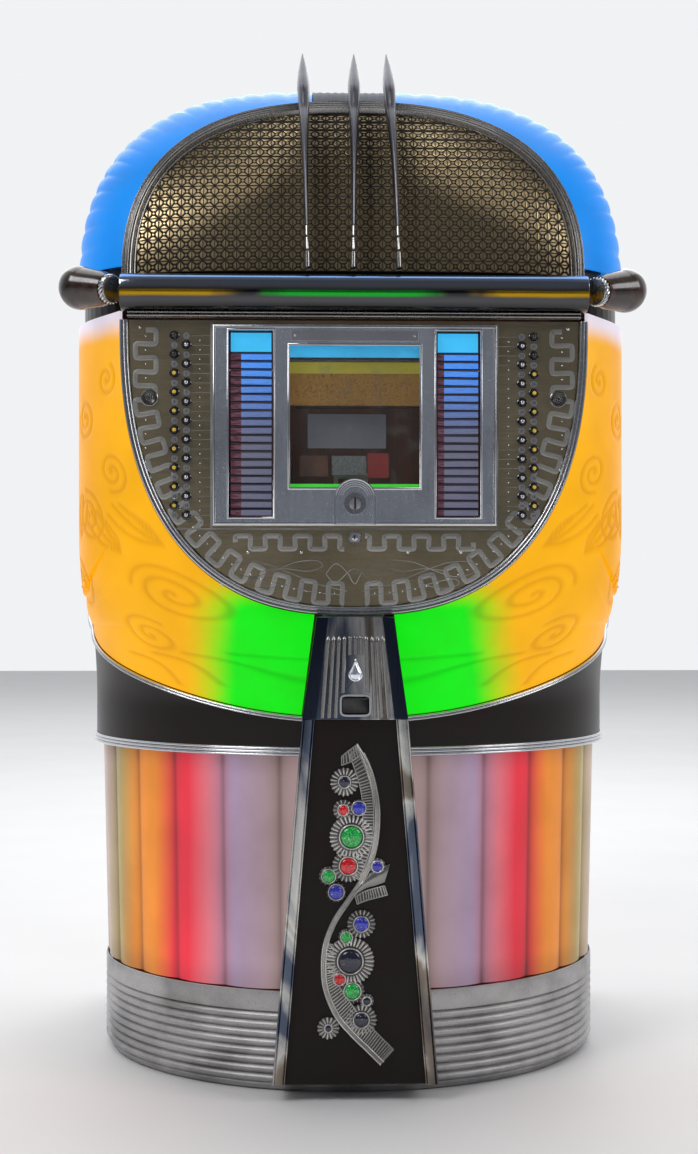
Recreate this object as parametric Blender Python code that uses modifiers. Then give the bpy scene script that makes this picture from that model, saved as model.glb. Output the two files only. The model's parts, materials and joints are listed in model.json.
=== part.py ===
"""Free-standing 1940s-style jukebox, built as an assembly of separate pieces.

Units are metres.  +Z is up, +X is to the right of someone facing the machine,
and the machine faces -Y.  The origin is at floor level, in the middle of the
machine's plan.
"""

import math

import bmesh
import bpy
from mathutils import Matrix, Vector

# ---------------------------------------------------------------------------
# Driving dimensions
# ---------------------------------------------------------------------------

# Plan of the body: a rounded front half joined to a straight rear half.
BODY_HALF_WIDTH = 0.4735
WAIST_HALF_WIDTH = 0.457
BASE_HALF_WIDTH = 0.440
FRONT_DEPTH = 0.345          # from the joint with the cabinet to the front skin
CABINET_DEPTH = 0.307        # from that joint to the back panel's outer face

# Heights of the horizontal divisions.
BASE_HEIGHT = 0.163
WAIST_BOTTOM = 0.549
WAIST_TOP_FRONT = 0.603
WAIST_TOP_SLOPE = 0.545      # rise of the waist's upper edge for each metre back
BULGE_START = 0.750
BULGE_END = 0.870
SQUARE_START = 0.620         # where the plan starts to grow squarer
SQUARE_END = 0.920
SHOULDER_HEIGHT = 1.310      # where the dome springs
DOME_RISE = 0.395
FIN_TOP = 1.720

# Exponents of the rounded outlines.
PLAN_ROUND = 2.0             # plan of the base and the waist
PLAN_SQUARE = 4.0            # plan of the upper body
DOME_FRONT_POWER = 2.6       # dome seen from the front
DOME_SIDE_POWER = 2.0        # dome seen from the side

# Wall thicknesses.
PLASTIC_WALL = 0.005
RETAINER_PROUD = 0.005
RETAINER_HEIGHT = 0.009
BAND_WALL = 0.006
CASTING_WALL = 0.008
WOOD_WALL = 0.018
SHEET = 0.002

# Clearances.
TOUCH_GAP = 0.0004           # between pieces that rest on each other
SEAM_GAP = 0.0015            # between neighbouring skins
RUN_GAP = 0.001              # around pieces that turn or slide

# Selector door: a flat panel with a round-bottomed outline.
DOOR_HALF_WIDTH = BODY_HALF_WIDTH - 0.0995
DOOR_TOP = 1.238
DOOR_DROP = 0.470
DOOR_POWER = 2.5
DOOR_FACE_Y = -0.350
DOOR_PLATE = 0.006
DOOR_TRIM_WIDTH = 0.014
DOOR_TRIM_PROUD = 0.006
DOOR_TRIM_BACK = 0.0085

# Bezel on the door, with two strip windows and a centre window.
BEZEL_HALF_WIDTH = 0.2265
BEZEL_BOTTOM = 0.910
BEZEL_TOP = 1.230
BEZEL_THICK = 0.012
STRIP_WINDOW_INNER = 0.130
STRIP_WINDOW_OUTER = 0.200
STRIP_WINDOW_BOTTOM = 0.924
STRIP_WINDOW_TOP = 1.220
WINDOW_HALF_WIDTH = 0.103
WINDOW_BOTTOM = 0.971
WINDOW_TOP = 1.196
GLASS_THICK = 0.004

# Selector buttons: two staggered columns each side.
BUTTON_ROWS = 20
BUTTON_TOP = 1.213
BUTTON_PITCH = 0.01505
BUTTON_INNER_X = 0.268
BUTTON_OUTER_X = 0.287
BUTTON_R = 0.0058
BUTTON_PROUD = 0.010
BUTTON_BAR = 0.004

# Small fittings on the door.
PLUG_X = 0.3265
PLUG_Z = 1.114
PLUG_R = 0.0115
LOCK_Z = 0.892
LOCK_R = 0.0095
COIN_PLATE_HALF = 0.0335
COIN_PLATE_TOP = 0.985
COIN_PLATE_THICK = 0.009
COIN_BOSS_Z = 0.9445
COIN_BOSS_R = 0.0135
COIN_BOSS_PROUD = 0.004
COIN_SLOT_WIDTH = 0.0045
COIN_SLOT_HEIGHT = 0.020

# Visor bar across the front and its end caps.
VISOR_HALF = BODY_HALF_WIDTH - 0.1025
VISOR_BOTTOM = 1.250
VISOR_TOP = 1.309
VISOR_FRONT_Y = -0.388
VISOR_BACK_Y = -0.352
VISOR_TRIM_HEIGHT = 0.0105
CAP_X = BODY_HALF_WIDTH - 0.0325
CAP_Y = -0.317
CAP_Z = 1.295
CAP_R = 0.0355
CAP_NECK_R = 0.019
RING_R = 0.024
RING_WIDTH = 0.012

# Dome frame, grille and fins.
ARCH_HALF_WIDTH = DOOR_HALF_WIDTH
ARCH_TOP = 1.629
ARCH_BOTTOM = 1.318
ARCH_POWER = 2.35
ARCH_WIDTH = 0.024
ARCH_PROUD = 0.012
ARCH_BACK = 0.0018           # gap behind the frame, to the skins that it covers
FIN_SPACING = 0.075
FIN_FOOT_Z = 1.318
CREST_HALF_WIDTH = 0.068

# Pillar down the middle of the front.
PILLAR_TOP = 0.766
PILLAR_BOTTOM = 0.029
PILLAR_HEAD_BOTTOM = 0.604
PILLAR_TOP_HALF = 0.061
PILLAR_JOINT_HALF = 0.084
PILLAR_BOTTOM_HALF = 0.131
PILLAR_FACE_Y = -0.385
PILLAR_DEPTH = 0.012
PILLAR_STRIP = 0.019
HEAD_FACE_Y = -0.392
HEAD_DEPTH = 0.036
CUP_HALF_WIDTH = 0.0215
CUP_BOTTOM = 0.612
CUP_TOP = 0.640
LEVER_Z = 0.676
PILLAR_RECESS = 0.003
ORNAMENT_THICK = 0.006
STEM_HALF_WIDTH = 0.012
STEM_POINTS = [(0.003, 0.560), (0.034, 0.440), (-0.016, 0.320), (-0.053, 0.205), (0.039, 0.057)]
ROSETTES = [
    (-0.017, 0.506, 0.022), (-0.006, 0.420, 0.034), (-0.011, 0.374, 0.025), (0.010, 0.283, 0.022),
    (-0.008, 0.225, 0.037), (-0.005, 0.177, 0.016), (0.010, 0.132, 0.024), (-0.043, 0.119, 0.017),
]
LEVER_R = 0.0135
LEVER_PROUD = 0.008

# Rear door and what stands inside the cabinet.
DOOR_OPENING_HALF = 0.395
DOOR_OPENING_BOTTOM = 0.203
DOOR_OPENING_TOP = 1.260
BACK_WALL = 0.012
BACK_LOCK_Z = 0.760
LOCK_KNOB = 0.007
LOCK_STEM_R = 0.006
SHELF_Z = 0.800
SHELF_THICK = 0.016
RECORD_R = 0.127
RECORD_COUNT = 20
RECORD_PITCH = 0.0095
RECORD_CORE_R = 0.045
MAGAZINE_X = -0.190
MAGAZINE_Y = CABINET_DEPTH - 0.187
MAGAZINE_HEIGHT = 0.070
MAGAZINE_HALF_DEPTH = 0.090
FRAME_PLATE = 0.006
RAIL_RISE = 0.036
RAIL_R = 0.006
RAIL_Y = -0.120
DECK_RISE = 0.052
TURNTABLE_X = 0.155
TURNTABLE_Y = 0.060
TONEARM_X = 0.310
TONEARM_Y = 0.135
GRIPPER_REACH = 0.150
AMPLIFIER_BACK_Y = CABINET_DEPTH - 0.057
AMPLIFIER_HEIGHT = 0.070
VALVE_R = 0.019
VALVE_X = (-0.265, -0.210, -0.155, -0.100)
MOTOR_R = 0.042
MOTOR_DROP = 0.062           # from the shelf's underside to the motor's axis
MOTOR_Y = 0.060
SPEAKER_R = 0.150
SPEAKER_Z = 1.462

# Mesh fineness.
PLAN_STEPS = 20
ARCH_STEPS = 14

MODEL = "jukebox"


# ---------------------------------------------------------------------------
# Scene, materials and small helpers
# ---------------------------------------------------------------------------

for old in list(bpy.data.objects):
    bpy.data.objects.remove(old, do_unlink=True)

parts = bpy.data.collections.new(MODEL)
cutters = bpy.data.collections.new(MODEL + "_cutters")
bpy.context.scene.collection.children.link(parts)
bpy.context.scene.collection.children.link(cutters)


def material(name, colour, roughness, metallic=0.0):
    """A Principled BSDF material with the three values that matter here."""
    made = bpy.data.materials.new(name)
    made.use_nodes = True
    shader = made.node_tree.nodes["Principled BSDF"]
    shader.inputs["Base Color"].default_value = (*colour, 1.0)
    shader.inputs["Roughness"].default_value = roughness
    shader.inputs["Metallic"].default_value = metallic
    return made


CHROME = material("bright_chrome", (0.62, 0.63, 0.65), 0.12, 1.0)
BRONZE = material("bronze_lattice", (0.20, 0.16, 0.09), 0.45, 0.8)
GREY_METAL = material("grey_ribbed_metal", (0.33, 0.32, 0.30), 0.35, 1.0)
PANEL_METAL = material("brushed_panel", (0.27, 0.26, 0.24), 0.4, 1.0)
CAST_METAL = material("cast_aluminium", (0.42, 0.42, 0.42), 0.45, 1.0)
STEEL = material("plated_steel", (0.45, 0.45, 0.46), 0.35, 1.0)
BLUE_PLASTIC = material("lit_blue_plastic", (0.0, 0.26, 0.9), 0.35)
AMBER_PLASTIC = material("lit_amber_plastic", (1.0, 0.45, 0.0), 0.35)
ROSE_PLASTIC = material("lit_rose_plastic", (0.80, 0.45, 0.42), 0.35)
DARK_BAND = material("dark_brown_band", (0.012, 0.006, 0.005), 0.3)
DARK_FIN = material("dark_chrome", (0.05, 0.05, 0.055), 0.2, 1.0)
DARK_CAP = material("dark_brown_cap", (0.03, 0.012, 0.006), 0.2)
BLACK = material("black_bakelite", (0.01, 0.01, 0.01), 0.35)
GLASS = material("clear_glass", (0.55, 0.62, 0.62), 0.05)
PAPER = material("strip_paper", (0.75, 0.80, 0.85), 0.7)
WOOD = material("stained_wood", (0.10, 0.045, 0.022), 0.5)
SHELLAC = material("black_shellac", (0.015, 0.015, 0.015), 0.25)
FELT = material("green_felt", (0.03, 0.10, 0.05), 0.95)
GREY_CAST = material("silver_ornament", (0.45, 0.44, 0.42), 0.35, 1.0)
CONE_PAPER = material("cone_paper", (0.05, 0.045, 0.04), 0.9)


def adopt(obj, name, finish, target=None):
    """Give an object its name and material and put it in its collection."""
    obj.name = name
    obj.data.name = name
    obj.data.materials.clear()
    obj.data.materials.append(finish)
    for collection in list(obj.users_collection):
        collection.objects.unlink(obj)
    (target or parts).objects.link(obj)
    return obj


def smooth(obj, angle=35.0):
    """Shade an object smooth, with sharp edges past an angle in degrees."""
    obj.data.shade_smooth()
    obj.data.set_sharp_from_angle(angle=math.radians(angle))
    return obj


def mesh_object(name, vertices, faces, finish, target=None):
    """An object from a loft's vertices and faces, with its faces turned outwards."""
    mesh = bpy.data.meshes.new(name)
    mesh.from_pydata([tuple(v) for v in vertices], [], faces)
    shape = bmesh.new()
    shape.from_mesh(mesh)
    bmesh.ops.recalc_face_normals(shape, faces=shape.faces)
    shape.to_mesh(mesh)
    shape.free()
    obj = bpy.data.objects.new(name, mesh)
    bpy.context.scene.collection.objects.link(obj)
    return adopt(obj, name, finish, target)


def box(name, low, high, finish, bevel=0.0, target=None):
    """A block between two corners, given relative to the world."""
    size = [high[i] - low[i] for i in range(3)]
    middle = [(high[i] + low[i]) / 2 for i in range(3)]
    bpy.ops.mesh.primitive_cube_add(size=1.0, location=middle)
    obj = adopt(bpy.context.object, name, finish, target)
    obj.data.transform(Matrix.Diagonal((*size, 1.0)))
    if bevel:
        edge = obj.modifiers.new("edges", "BEVEL")
        edge.width = bevel
        edge.segments = 1
    return obj


def drum(name, radius, low, high, axis, finish, sides=24, target=None):
    """A cylinder of a given radius from point low to point high along one axis."""
    length = high[axis] - low[axis]
    middle = [(high[i] + low[i]) / 2 for i in range(3)]
    bpy.ops.mesh.primitive_cylinder_add(vertices=sides, radius=radius, depth=length)
    obj = adopt(bpy.context.object, name, finish, target)
    turns = {0: Matrix.Rotation(math.pi / 2, 4, "Y"), 1: Matrix.Rotation(math.pi / 2, 4, "X")}
    obj.data.transform(turns.get(axis, Matrix.Identity(4)))
    obj.location = middle
    return smooth(obj)


def turned(name, profile, centre, axis, finish, sides=24, target=None):
    """A turned piece: (radius, height) points down its outer side, then an axis.

    The profile starts and ends on the axis.  Heights run along +Z before the
    piece is turned to lie along its own axis.
    """
    mesh = bpy.data.meshes.new(name)
    vertices = [(r, 0.0, h) for r, h in profile]
    edges = [(i, i + 1) for i in range(len(vertices) - 1)]
    mesh.from_pydata(vertices, edges, [])
    obj = bpy.data.objects.new(name, mesh)
    bpy.context.scene.collection.objects.link(obj)
    adopt(obj, name, finish, target)
    screw = obj.modifiers.new("turn", "SCREW")
    screw.steps = sides
    screw.render_steps = sides
    screw.use_merge_vertices = True
    screw.merge_threshold = 0.00005
    screw.use_smooth_shade = True
    obj.location = centre
    if axis == "-Y":
        obj.rotation_euler = (math.pi / 2, 0.0, 0.0)
    elif axis == "+X":
        obj.rotation_euler = (0.0, math.pi / 2, 0.0)
    return obj


def baked(obj):
    """Replace an object's modifiers by the mesh they make, at the world origin."""
    graph = bpy.context.evaluated_depsgraph_get()
    bpy.context.view_layer.update()
    seen = obj.evaluated_get(graph)
    mesh = bpy.data.meshes.new_from_object(seen)
    mesh.transform(obj.matrix_world)
    if mesh.materials:
        mesh.materials.clear()
    for slot in obj.data.materials:
        mesh.materials.append(slot)
    name = obj.name
    old = obj.data
    obj.modifiers.clear()
    if obj.type == "MESH":
        obj.data = mesh
        obj.matrix_world = Matrix.Identity(4)
        bpy.data.meshes.remove(old)
        obj.data.name = name
        return obj
    home = obj.users_collection[0]
    bpy.data.objects.remove(obj, do_unlink=True)
    made = bpy.data.objects.new(name, mesh)
    home.objects.link(made)
    made.name = name
    return made


def plate(name, outline, y_front, thickness, finish, target=None, holes=()):
    """A flat plate cut to an outline of (x, z) points, facing -Y."""
    curve = bpy.data.curves.new(name, "CURVE")
    curve.dimensions = "2D"
    curve.fill_mode = "BOTH"
    curve.extrude = thickness / 2
    for loop in (outline, *holes):
        spline = curve.splines.new("POLY")
        spline.points.add(len(loop) - 1)
        for point, (x, z) in zip(spline.points, loop):
            point.co = (x, z, 0.0, 1.0)
        spline.use_cyclic_u = True
    obj = bpy.data.objects.new(name, curve)
    bpy.context.scene.collection.objects.link(obj)
    obj.rotation_euler = (math.pi / 2, 0.0, 0.0)
    obj.location = (0.0, y_front + thickness / 2, 0.0)
    adopt(obj, name, finish, target)
    made = baked(obj)
    welded = bmesh.new()
    welded.from_mesh(made.data)
    bmesh.ops.remove_doubles(welded, verts=welded.verts, dist=0.00001)
    bmesh.ops.recalc_face_normals(welded, faces=welded.faces)
    welded.to_mesh(made.data)
    welded.free()
    return made


def as_cutter(obj):
    """Mark an object as a cutter: not rendered, drawn as wire."""
    obj.hide_render = True
    obj.display_type = "WIRE"
    return obj


def cut(obj, tool, operation="DIFFERENCE"):
    """Cut one object with another, or join them."""
    change = obj.modifiers.new(operation.lower(), "BOOLEAN")
    change.operation = operation
    change.solver = "EXACT"
    change.object = as_cutter(tool)
    return obj


def join(obj, *tools):
    """Join several shapes to one object, as one solid."""
    for tool in tools:
        cut(obj, tool, "UNION")
    return obj


def solid_wall(obj, thickness, offset=-1.0):
    """Turn an open surface into a wall."""
    wall = obj.modifiers.new("wall", "SOLIDIFY")
    wall.thickness = thickness
    wall.offset = offset
    wall.use_even_offset = False
    return obj


# ---------------------------------------------------------------------------
# The body's outer form
# ---------------------------------------------------------------------------

def ease(value, start, end):
    """0 before start, 1 after end, and smooth between."""
    share = min(max((value - start) / (end - start), 0.0), 1.0)
    return share * share * (3.0 - 2.0 * share)


def body_half_width(z):
    """Half the body's width at a height, seen from the front."""
    if z <= BULGE_END:
        share = min(max((z - BULGE_START) / (BULGE_END - BULGE_START), 0.0), 1.0)
        swell = math.sqrt(1.0 - (1.0 - share) ** 2)
        return WAIST_HALF_WIDTH + (BODY_HALF_WIDTH - WAIST_HALF_WIDTH) * swell
    if z <= SHOULDER_HEIGHT:
        return BODY_HALF_WIDTH
    rise = min((z - SHOULDER_HEIGHT) / DOME_RISE, 1.0)
    return BODY_HALF_WIDTH * (1.0 - rise ** DOME_FRONT_POWER) ** (1.0 / DOME_FRONT_POWER)


def body_depth(z):
    """How far the front skin stands ahead of the cabinet at a height."""
    if z <= SHOULDER_HEIGHT:
        return FRONT_DEPTH
    rise = min((z - SHOULDER_HEIGHT) / DOME_RISE, 1.0)
    return FRONT_DEPTH * (1.0 - rise ** DOME_SIDE_POWER) ** (1.0 / DOME_SIDE_POWER)


def plan_power(z):
    """The exponent of the plan's outline at a height."""
    return PLAN_ROUND + (PLAN_SQUARE - PLAN_ROUND) * ease(z, SQUARE_START, SQUARE_END)


def front_y(x, z, inset=0.0):
    """The y of the front skin at (x, z), or of a skin set in from it."""
    width = body_half_width(z) - inset
    depth = body_depth(z) - inset
    if width <= 0.0 or depth <= 0.0:
        return 0.0
    power = plan_power(z)
    share = min(abs(x) / width, 1.0)
    return -depth * (1.0 - share ** power) ** (1.0 / power)


def grid_faces(columns, rows):
    """Quad faces of a grid whose vertices run row by row."""
    faces = []
    for row in range(rows - 1):
        for column in range(columns - 1):
            first = row * columns + column
            faces.append((first, first + 1, first + columns + 1, first + columns))
    return faces


def loft(name, loops, finish, target=None):
    """A closed solid through loops of points that all have the same count."""
    size = len(loops[0])
    vertices = [point for loop in loops for point in loop]
    faces = []
    for i in range(len(loops) - 1):
        for k in range(size):
            after = (k + 1) % size
            faces.append((i * size + k, i * size + after, (i + 1) * size + after, (i + 1) * size + k))
    faces.append(tuple(reversed(range(size))))
    faces.append(tuple(range((len(loops) - 1) * size, len(loops) * size)))
    return mesh_object(name, vertices, faces, finish, target)


def skin(name, rows, finish, wall):
    """A wall whose outer face is a grid of rows of points, thickened inwards."""
    columns = len(rows[0])
    vertices = [Vector(point) for row in rows for point in row]
    faces = grid_faces(columns, len(rows))
    middle = faces[len(faces) // 2]
    normal = (vertices[middle[1]] - vertices[middle[0]]).cross(vertices[middle[3]] - vertices[middle[0]])
    outward = vertices[middle[0]] - Vector((0.0, 0.0, SHELF_Z))
    if normal.dot(outward) < 0.0:
        faces = [tuple(reversed(face)) for face in faces]
    mesh = bpy.data.meshes.new(name)
    mesh.from_pydata([tuple(v) for v in vertices], [], faces)
    obj = bpy.data.objects.new(name, mesh)
    bpy.context.scene.collection.objects.link(obj)
    adopt(obj, name, finish)
    return smooth(solid_wall(obj, wall))


def mirrored(obj, name):
    """A mirror image of an object on the other side of the machine."""
    copy = obj.copy()
    copy.data = obj.data.copy()
    bpy.context.scene.collection.objects.link(copy)
    adopt(copy, name, obj.data.materials[0])
    copy.data.transform(Matrix.Diagonal((-1.0, 1.0, 1.0, 1.0)))
    copy.data.flip_normals()
    copy.location.x = -obj.location.x
    return copy


def aimed(obj, direction):
    """Turn an object so that its own +Z points along a direction."""
    obj.rotation_mode = "QUATERNION"
    obj.rotation_quaternion = Vector(direction).to_track_quat("Z", "Y")
    return obj


# ---------------------------------------------------------------------------
# Base, lower plastics and waist
# ---------------------------------------------------------------------------

def pillar_half(z):
    """Half the pillar's width at a height, without its side strips' returns."""
    if z >= PILLAR_HEAD_BOTTOM:
        share = (z - PILLAR_HEAD_BOTTOM) / (PILLAR_TOP - PILLAR_HEAD_BOTTOM)
        return PILLAR_JOINT_HALF + (PILLAR_TOP_HALF - PILLAR_JOINT_HALF) * share
    share = (z - PILLAR_BOTTOM) / (PILLAR_HEAD_BOTTOM - PILLAR_BOTTOM)
    return PILLAR_BOTTOM_HALF + (PILLAR_JOINT_HALF - PILLAR_BOTTOM_HALF) * share


def half_plan_angles():
    """Plan angles from the joint with the cabinet round to the pillar head."""
    last = math.acos((PILLAR_JOINT_HALF + SEAM_GAP) / WAIST_HALF_WIDTH)
    step = math.pi / PLAN_STEPS
    angles = [step * i for i in range(PLAN_STEPS // 2) if step * i < last - step / 3]
    return angles + [last]


def full_plan_angles():
    """Plan angles round the whole front, from the right joint to the left one."""
    half = half_plan_angles()
    return half + [math.pi - angle for angle in reversed(half)]


def plan_point(angle, half_width, depth, power):
    """The point of a rounded plan at an angle."""
    c = math.cos(angle)
    s = max(math.sin(angle), 0.0)
    x = math.copysign(abs(c) ** (2.0 / power), c) * half_width
    return x, -(s ** (2.0 / power)) * depth


def waist_edge(angle, shift=0.0):
    """The point of the waist's slanted upper edge at a plan angle, moved up by shift."""
    z = WAIST_TOP_FRONT
    for _ in range(24):
        x, y = plan_point(angle, body_half_width(z), FRONT_DEPTH, plan_power(z))
        z = WAIST_TOP_FRONT + WAIST_TOP_SLOPE * (y + FRONT_DEPTH)
    return x, y, z + shift


def ring_walls(profile, angles):
    """Rows of plan points round the front and back along the sides, from (z, inset)."""
    rows = []
    for z, inset in profile:
        half = BASE_HALF_WIDTH - inset
        front = [plan_point(a, half, FRONT_DEPTH - inset, PLAN_ROUND) for a in angles]
        row = [(half, CABINET_DEPTH, z), *((x, y, z) for x, y in front), (-half, CABINET_DEPTH, z)]
        rows.append(row)
    return rows


def build_base():
    """Cast base ring, and the floor board that it carries."""
    rows = ring_walls(
        [(0.0, 0.034), (0.0, 0.010), (0.012, 0.0), (BASE_HEIGHT, 0.0)],
        full_plan_angles(),
    )
    skin("base_casting", rows, CAST_METAL, CASTING_WALL)
    inset = CASTING_WALL + SEAM_GAP * 2
    low = BASE_HEIGHT - WOOD_WALL - 0.004
    half = BASE_HALF_WIDTH - inset
    outline = [plan_point(a, half, FRONT_DEPTH - inset, PLAN_ROUND) for a in full_plan_angles()]
    outline = [(half, CABINET_DEPTH - inset), *outline, (-half, CABINET_DEPTH - inset)]
    loops = [[(x, y, z) for x, y in outline] for z in (low, low + WOOD_WALL)]
    loft("floor_board", loops, WOOD)


def build_lower_plastics():
    """Fluted plastics either side of the pillar, lit from behind."""
    flutes = 6
    steps = 4
    flute_depth = 0.006
    low = BASE_HEIGHT + SEAM_GAP
    high = WAIST_BOTTOM - SEAM_GAP
    start = 0.03
    end = math.acos((PILLAR_JOINT_HALF - 0.010) / WAIST_HALF_WIDTH)
    rows = []
    for z in (low, high):
        share = (z - low) / (high - low)
        half = BASE_HALF_WIDTH - 0.003 + 0.009 * share
        row = []
        for i in range(flutes * steps + 1):
            angle = start + (end - start) * i / (flutes * steps)
            hollow = flute_depth * (1.0 - abs(math.cos(math.pi * i / steps)))
            x, y = plan_point(angle, half - hollow, FRONT_DEPTH - 0.005 - hollow, PLAN_ROUND)
            row.append((x, y, z))
        rows.append(row)
    right = skin("lower_plastic_right", rows, ROSE_PLASTIC, PLASTIC_WALL)
    mirrored(right, "lower_plastic_left")


def hoop(name, path, proud, back, height, finish):
    """A flat strip along (x, y, z) points, standing proud of the plan they follow."""
    loops = []
    count = len(path)
    for i, (x, y, z) in enumerate(path):
        ahead = path[min(i + 1, count - 1)]
        behind = path[max(i - 1, 0)]
        run = Vector((ahead[0] - behind[0], ahead[1] - behind[1])).normalized()
        out = Vector((-run.y, run.x))
        if out.dot(Vector((x, y))) < 0.0:
            out = -out
        near = (x + out.x * proud, y + out.y * proud)
        far = (x + out.x * back, y + out.y * back)
        loops.append([
            (*near, z - height / 2),
            (*near, z + height / 2),
            (*far, z + height / 2),
            (*far, z - height / 2),
        ])
    return smooth(loft(name, loops, finish))


def build_waist():
    """Dark waist band with its lower trim, and the retainers under the upper plastics."""
    angles = full_plan_angles()
    bottom = []
    middle = []
    top = []
    for angle in angles:
        x, y, z = waist_edge(angle, -SEAM_GAP)
        top.append((x, y, z))
        bx, by = plan_point(angle, WAIST_HALF_WIDTH, FRONT_DEPTH, PLAN_ROUND)
        bottom.append((bx, by, WAIST_BOTTOM + SEAM_GAP))
        middle_z = (WAIST_BOTTOM + z) / 2
        mx, my = plan_point(angle, body_half_width(middle_z), FRONT_DEPTH, plan_power(middle_z))
        middle.append((mx, my, middle_z))
    skin("waist_band", [bottom, middle, top], DARK_BAND, BAND_WALL)
    ring = [(*plan_point(a, WAIST_HALF_WIDTH, FRONT_DEPTH, PLAN_ROUND), WAIST_BOTTOM) for a in angles]
    hoop("waist_trim", ring, 0.004, TOUCH_GAP, 0.016, CHROME)
    edge = [waist_edge(angle, -RETAINER_HEIGHT / 2) for angle in angles]
    hoop("plastic_retainer", edge, RETAINER_PROUD, SEAM_GAP, RETAINER_HEIGHT, CHROME)


# ---------------------------------------------------------------------------
# Upper plastics, shoulder and dome
# ---------------------------------------------------------------------------

def door_edge(angle, grow=0.0):
    """A point (x, z) of the door's rounded outline, from its top corner to its foot."""
    x = (DOOR_HALF_WIDTH + grow) * max(math.cos(angle), 0.0) ** (2.0 / DOOR_POWER)
    z = DOOR_TOP - (DOOR_DROP + grow) * max(math.sin(angle), 0.0) ** (2.0 / DOOR_POWER)
    return x, z


def arch_edge(angle, shrink=0.0):
    """A point (x, z) of the dome frame's outer outline, from its foot to its crown."""
    x = (ARCH_HALF_WIDTH - shrink) * max(math.cos(angle), 0.0) ** (2.0 / ARCH_POWER)
    rise = ARCH_TOP - shrink - ARCH_BOTTOM
    return x, ARCH_BOTTOM + rise * max(math.sin(angle), 0.0) ** (2.0 / ARCH_POWER)


def blend_point(inner, outer, share, lip_y):
    """A point between the inner (x, z) and outer (x, y, z) edges of a front skin.

    At the inner edge the skin is drawn forward to lip_y, where it meets a frame.
    """
    sweep = math.sin(share * math.pi / 2)
    x = inner[0] + (outer[0] - inner[0]) * sweep
    z = inner[1] + (outer[2] - inner[1]) * sweep
    lift = front_y(*inner) - lip_y
    reach = outer[1] - front_y(outer[0], outer[2])
    return x, front_y(x, z) - lift * (1.0 - sweep) ** 2.5 + reach * sweep ** 4, z


def build_upper_plastics():
    """The wrapped plastics either side of the selector door."""
    gap = SEAM_GAP
    columns = 9
    side_rows = 5
    angles = half_plan_angles()
    foot = waist_edge(0.0, gap)
    inner = []
    outer = []
    top = VISOR_BOTTOM + 0.004
    for z in (top, DOOR_TOP):
        inner.append((DOOR_HALF_WIDTH + gap, z))
        outer.append((body_half_width(z), 0.0, z))
    last = math.acos(((PILLAR_TOP_HALF + gap * 2) / (DOOR_HALF_WIDTH + gap)) ** (DOOR_POWER / 2))
    total = side_rows + len(angles)
    for i in range(1, side_rows + 1):
        z = DOOR_TOP + (foot[2] - DOOR_TOP) * i / (side_rows + 1)
        inner.append(door_edge(last * i / total, gap))
        outer.append((body_half_width(z), 0.0, z))
    for i, angle in enumerate(angles):
        inner.append(door_edge(last * (side_rows + 1 + i) / total, gap))
        outer.append(waist_edge(angle, gap))
    rows = []
    for start, end in zip(inner, outer):
        row = [blend_point(start, end, k / columns, DOOR_FACE_Y + 0.010) for k in range(columns + 1)]
        rows.append(row)
    right = skin("upper_plastic_right", rows, AMBER_PLASTIC, PLASTIC_WALL)
    mirrored(right, "upper_plastic_left")


def build_shoulder():
    """The rail round the shoulders, between the upper plastics and the dome."""
    inset = 0.010
    low = VISOR_BOTTOM + 0.004 + SEAM_GAP
    high = CAP_Z + CAP_R + 0.003
    angles = [math.pi * i / (PLAN_STEPS * 2) for i in range(PLAN_STEPS * 2 + 1)]
    rows = []
    for z in (low, high):
        half = BODY_HALF_WIDTH - inset
        row = [(*plan_point(a, half, FRONT_DEPTH - inset, PLAN_SQUARE), z) for a in angles]
        rows.append(row)
    skin("shoulder_rail", rows, DARK_BAND, BAND_WALL)


def dome_silhouette(share):
    """A point (x, z) of the dome's outline; share runs from its foot to its crown."""
    angle = share * math.pi / 2
    x = BODY_HALF_WIDTH * max(math.cos(angle), 0.0) ** (2.0 / DOME_FRONT_POWER)
    z = SHOULDER_HEIGHT + DOME_RISE * math.sin(angle) ** (2.0 / DOME_FRONT_POWER)
    return x, z


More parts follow.
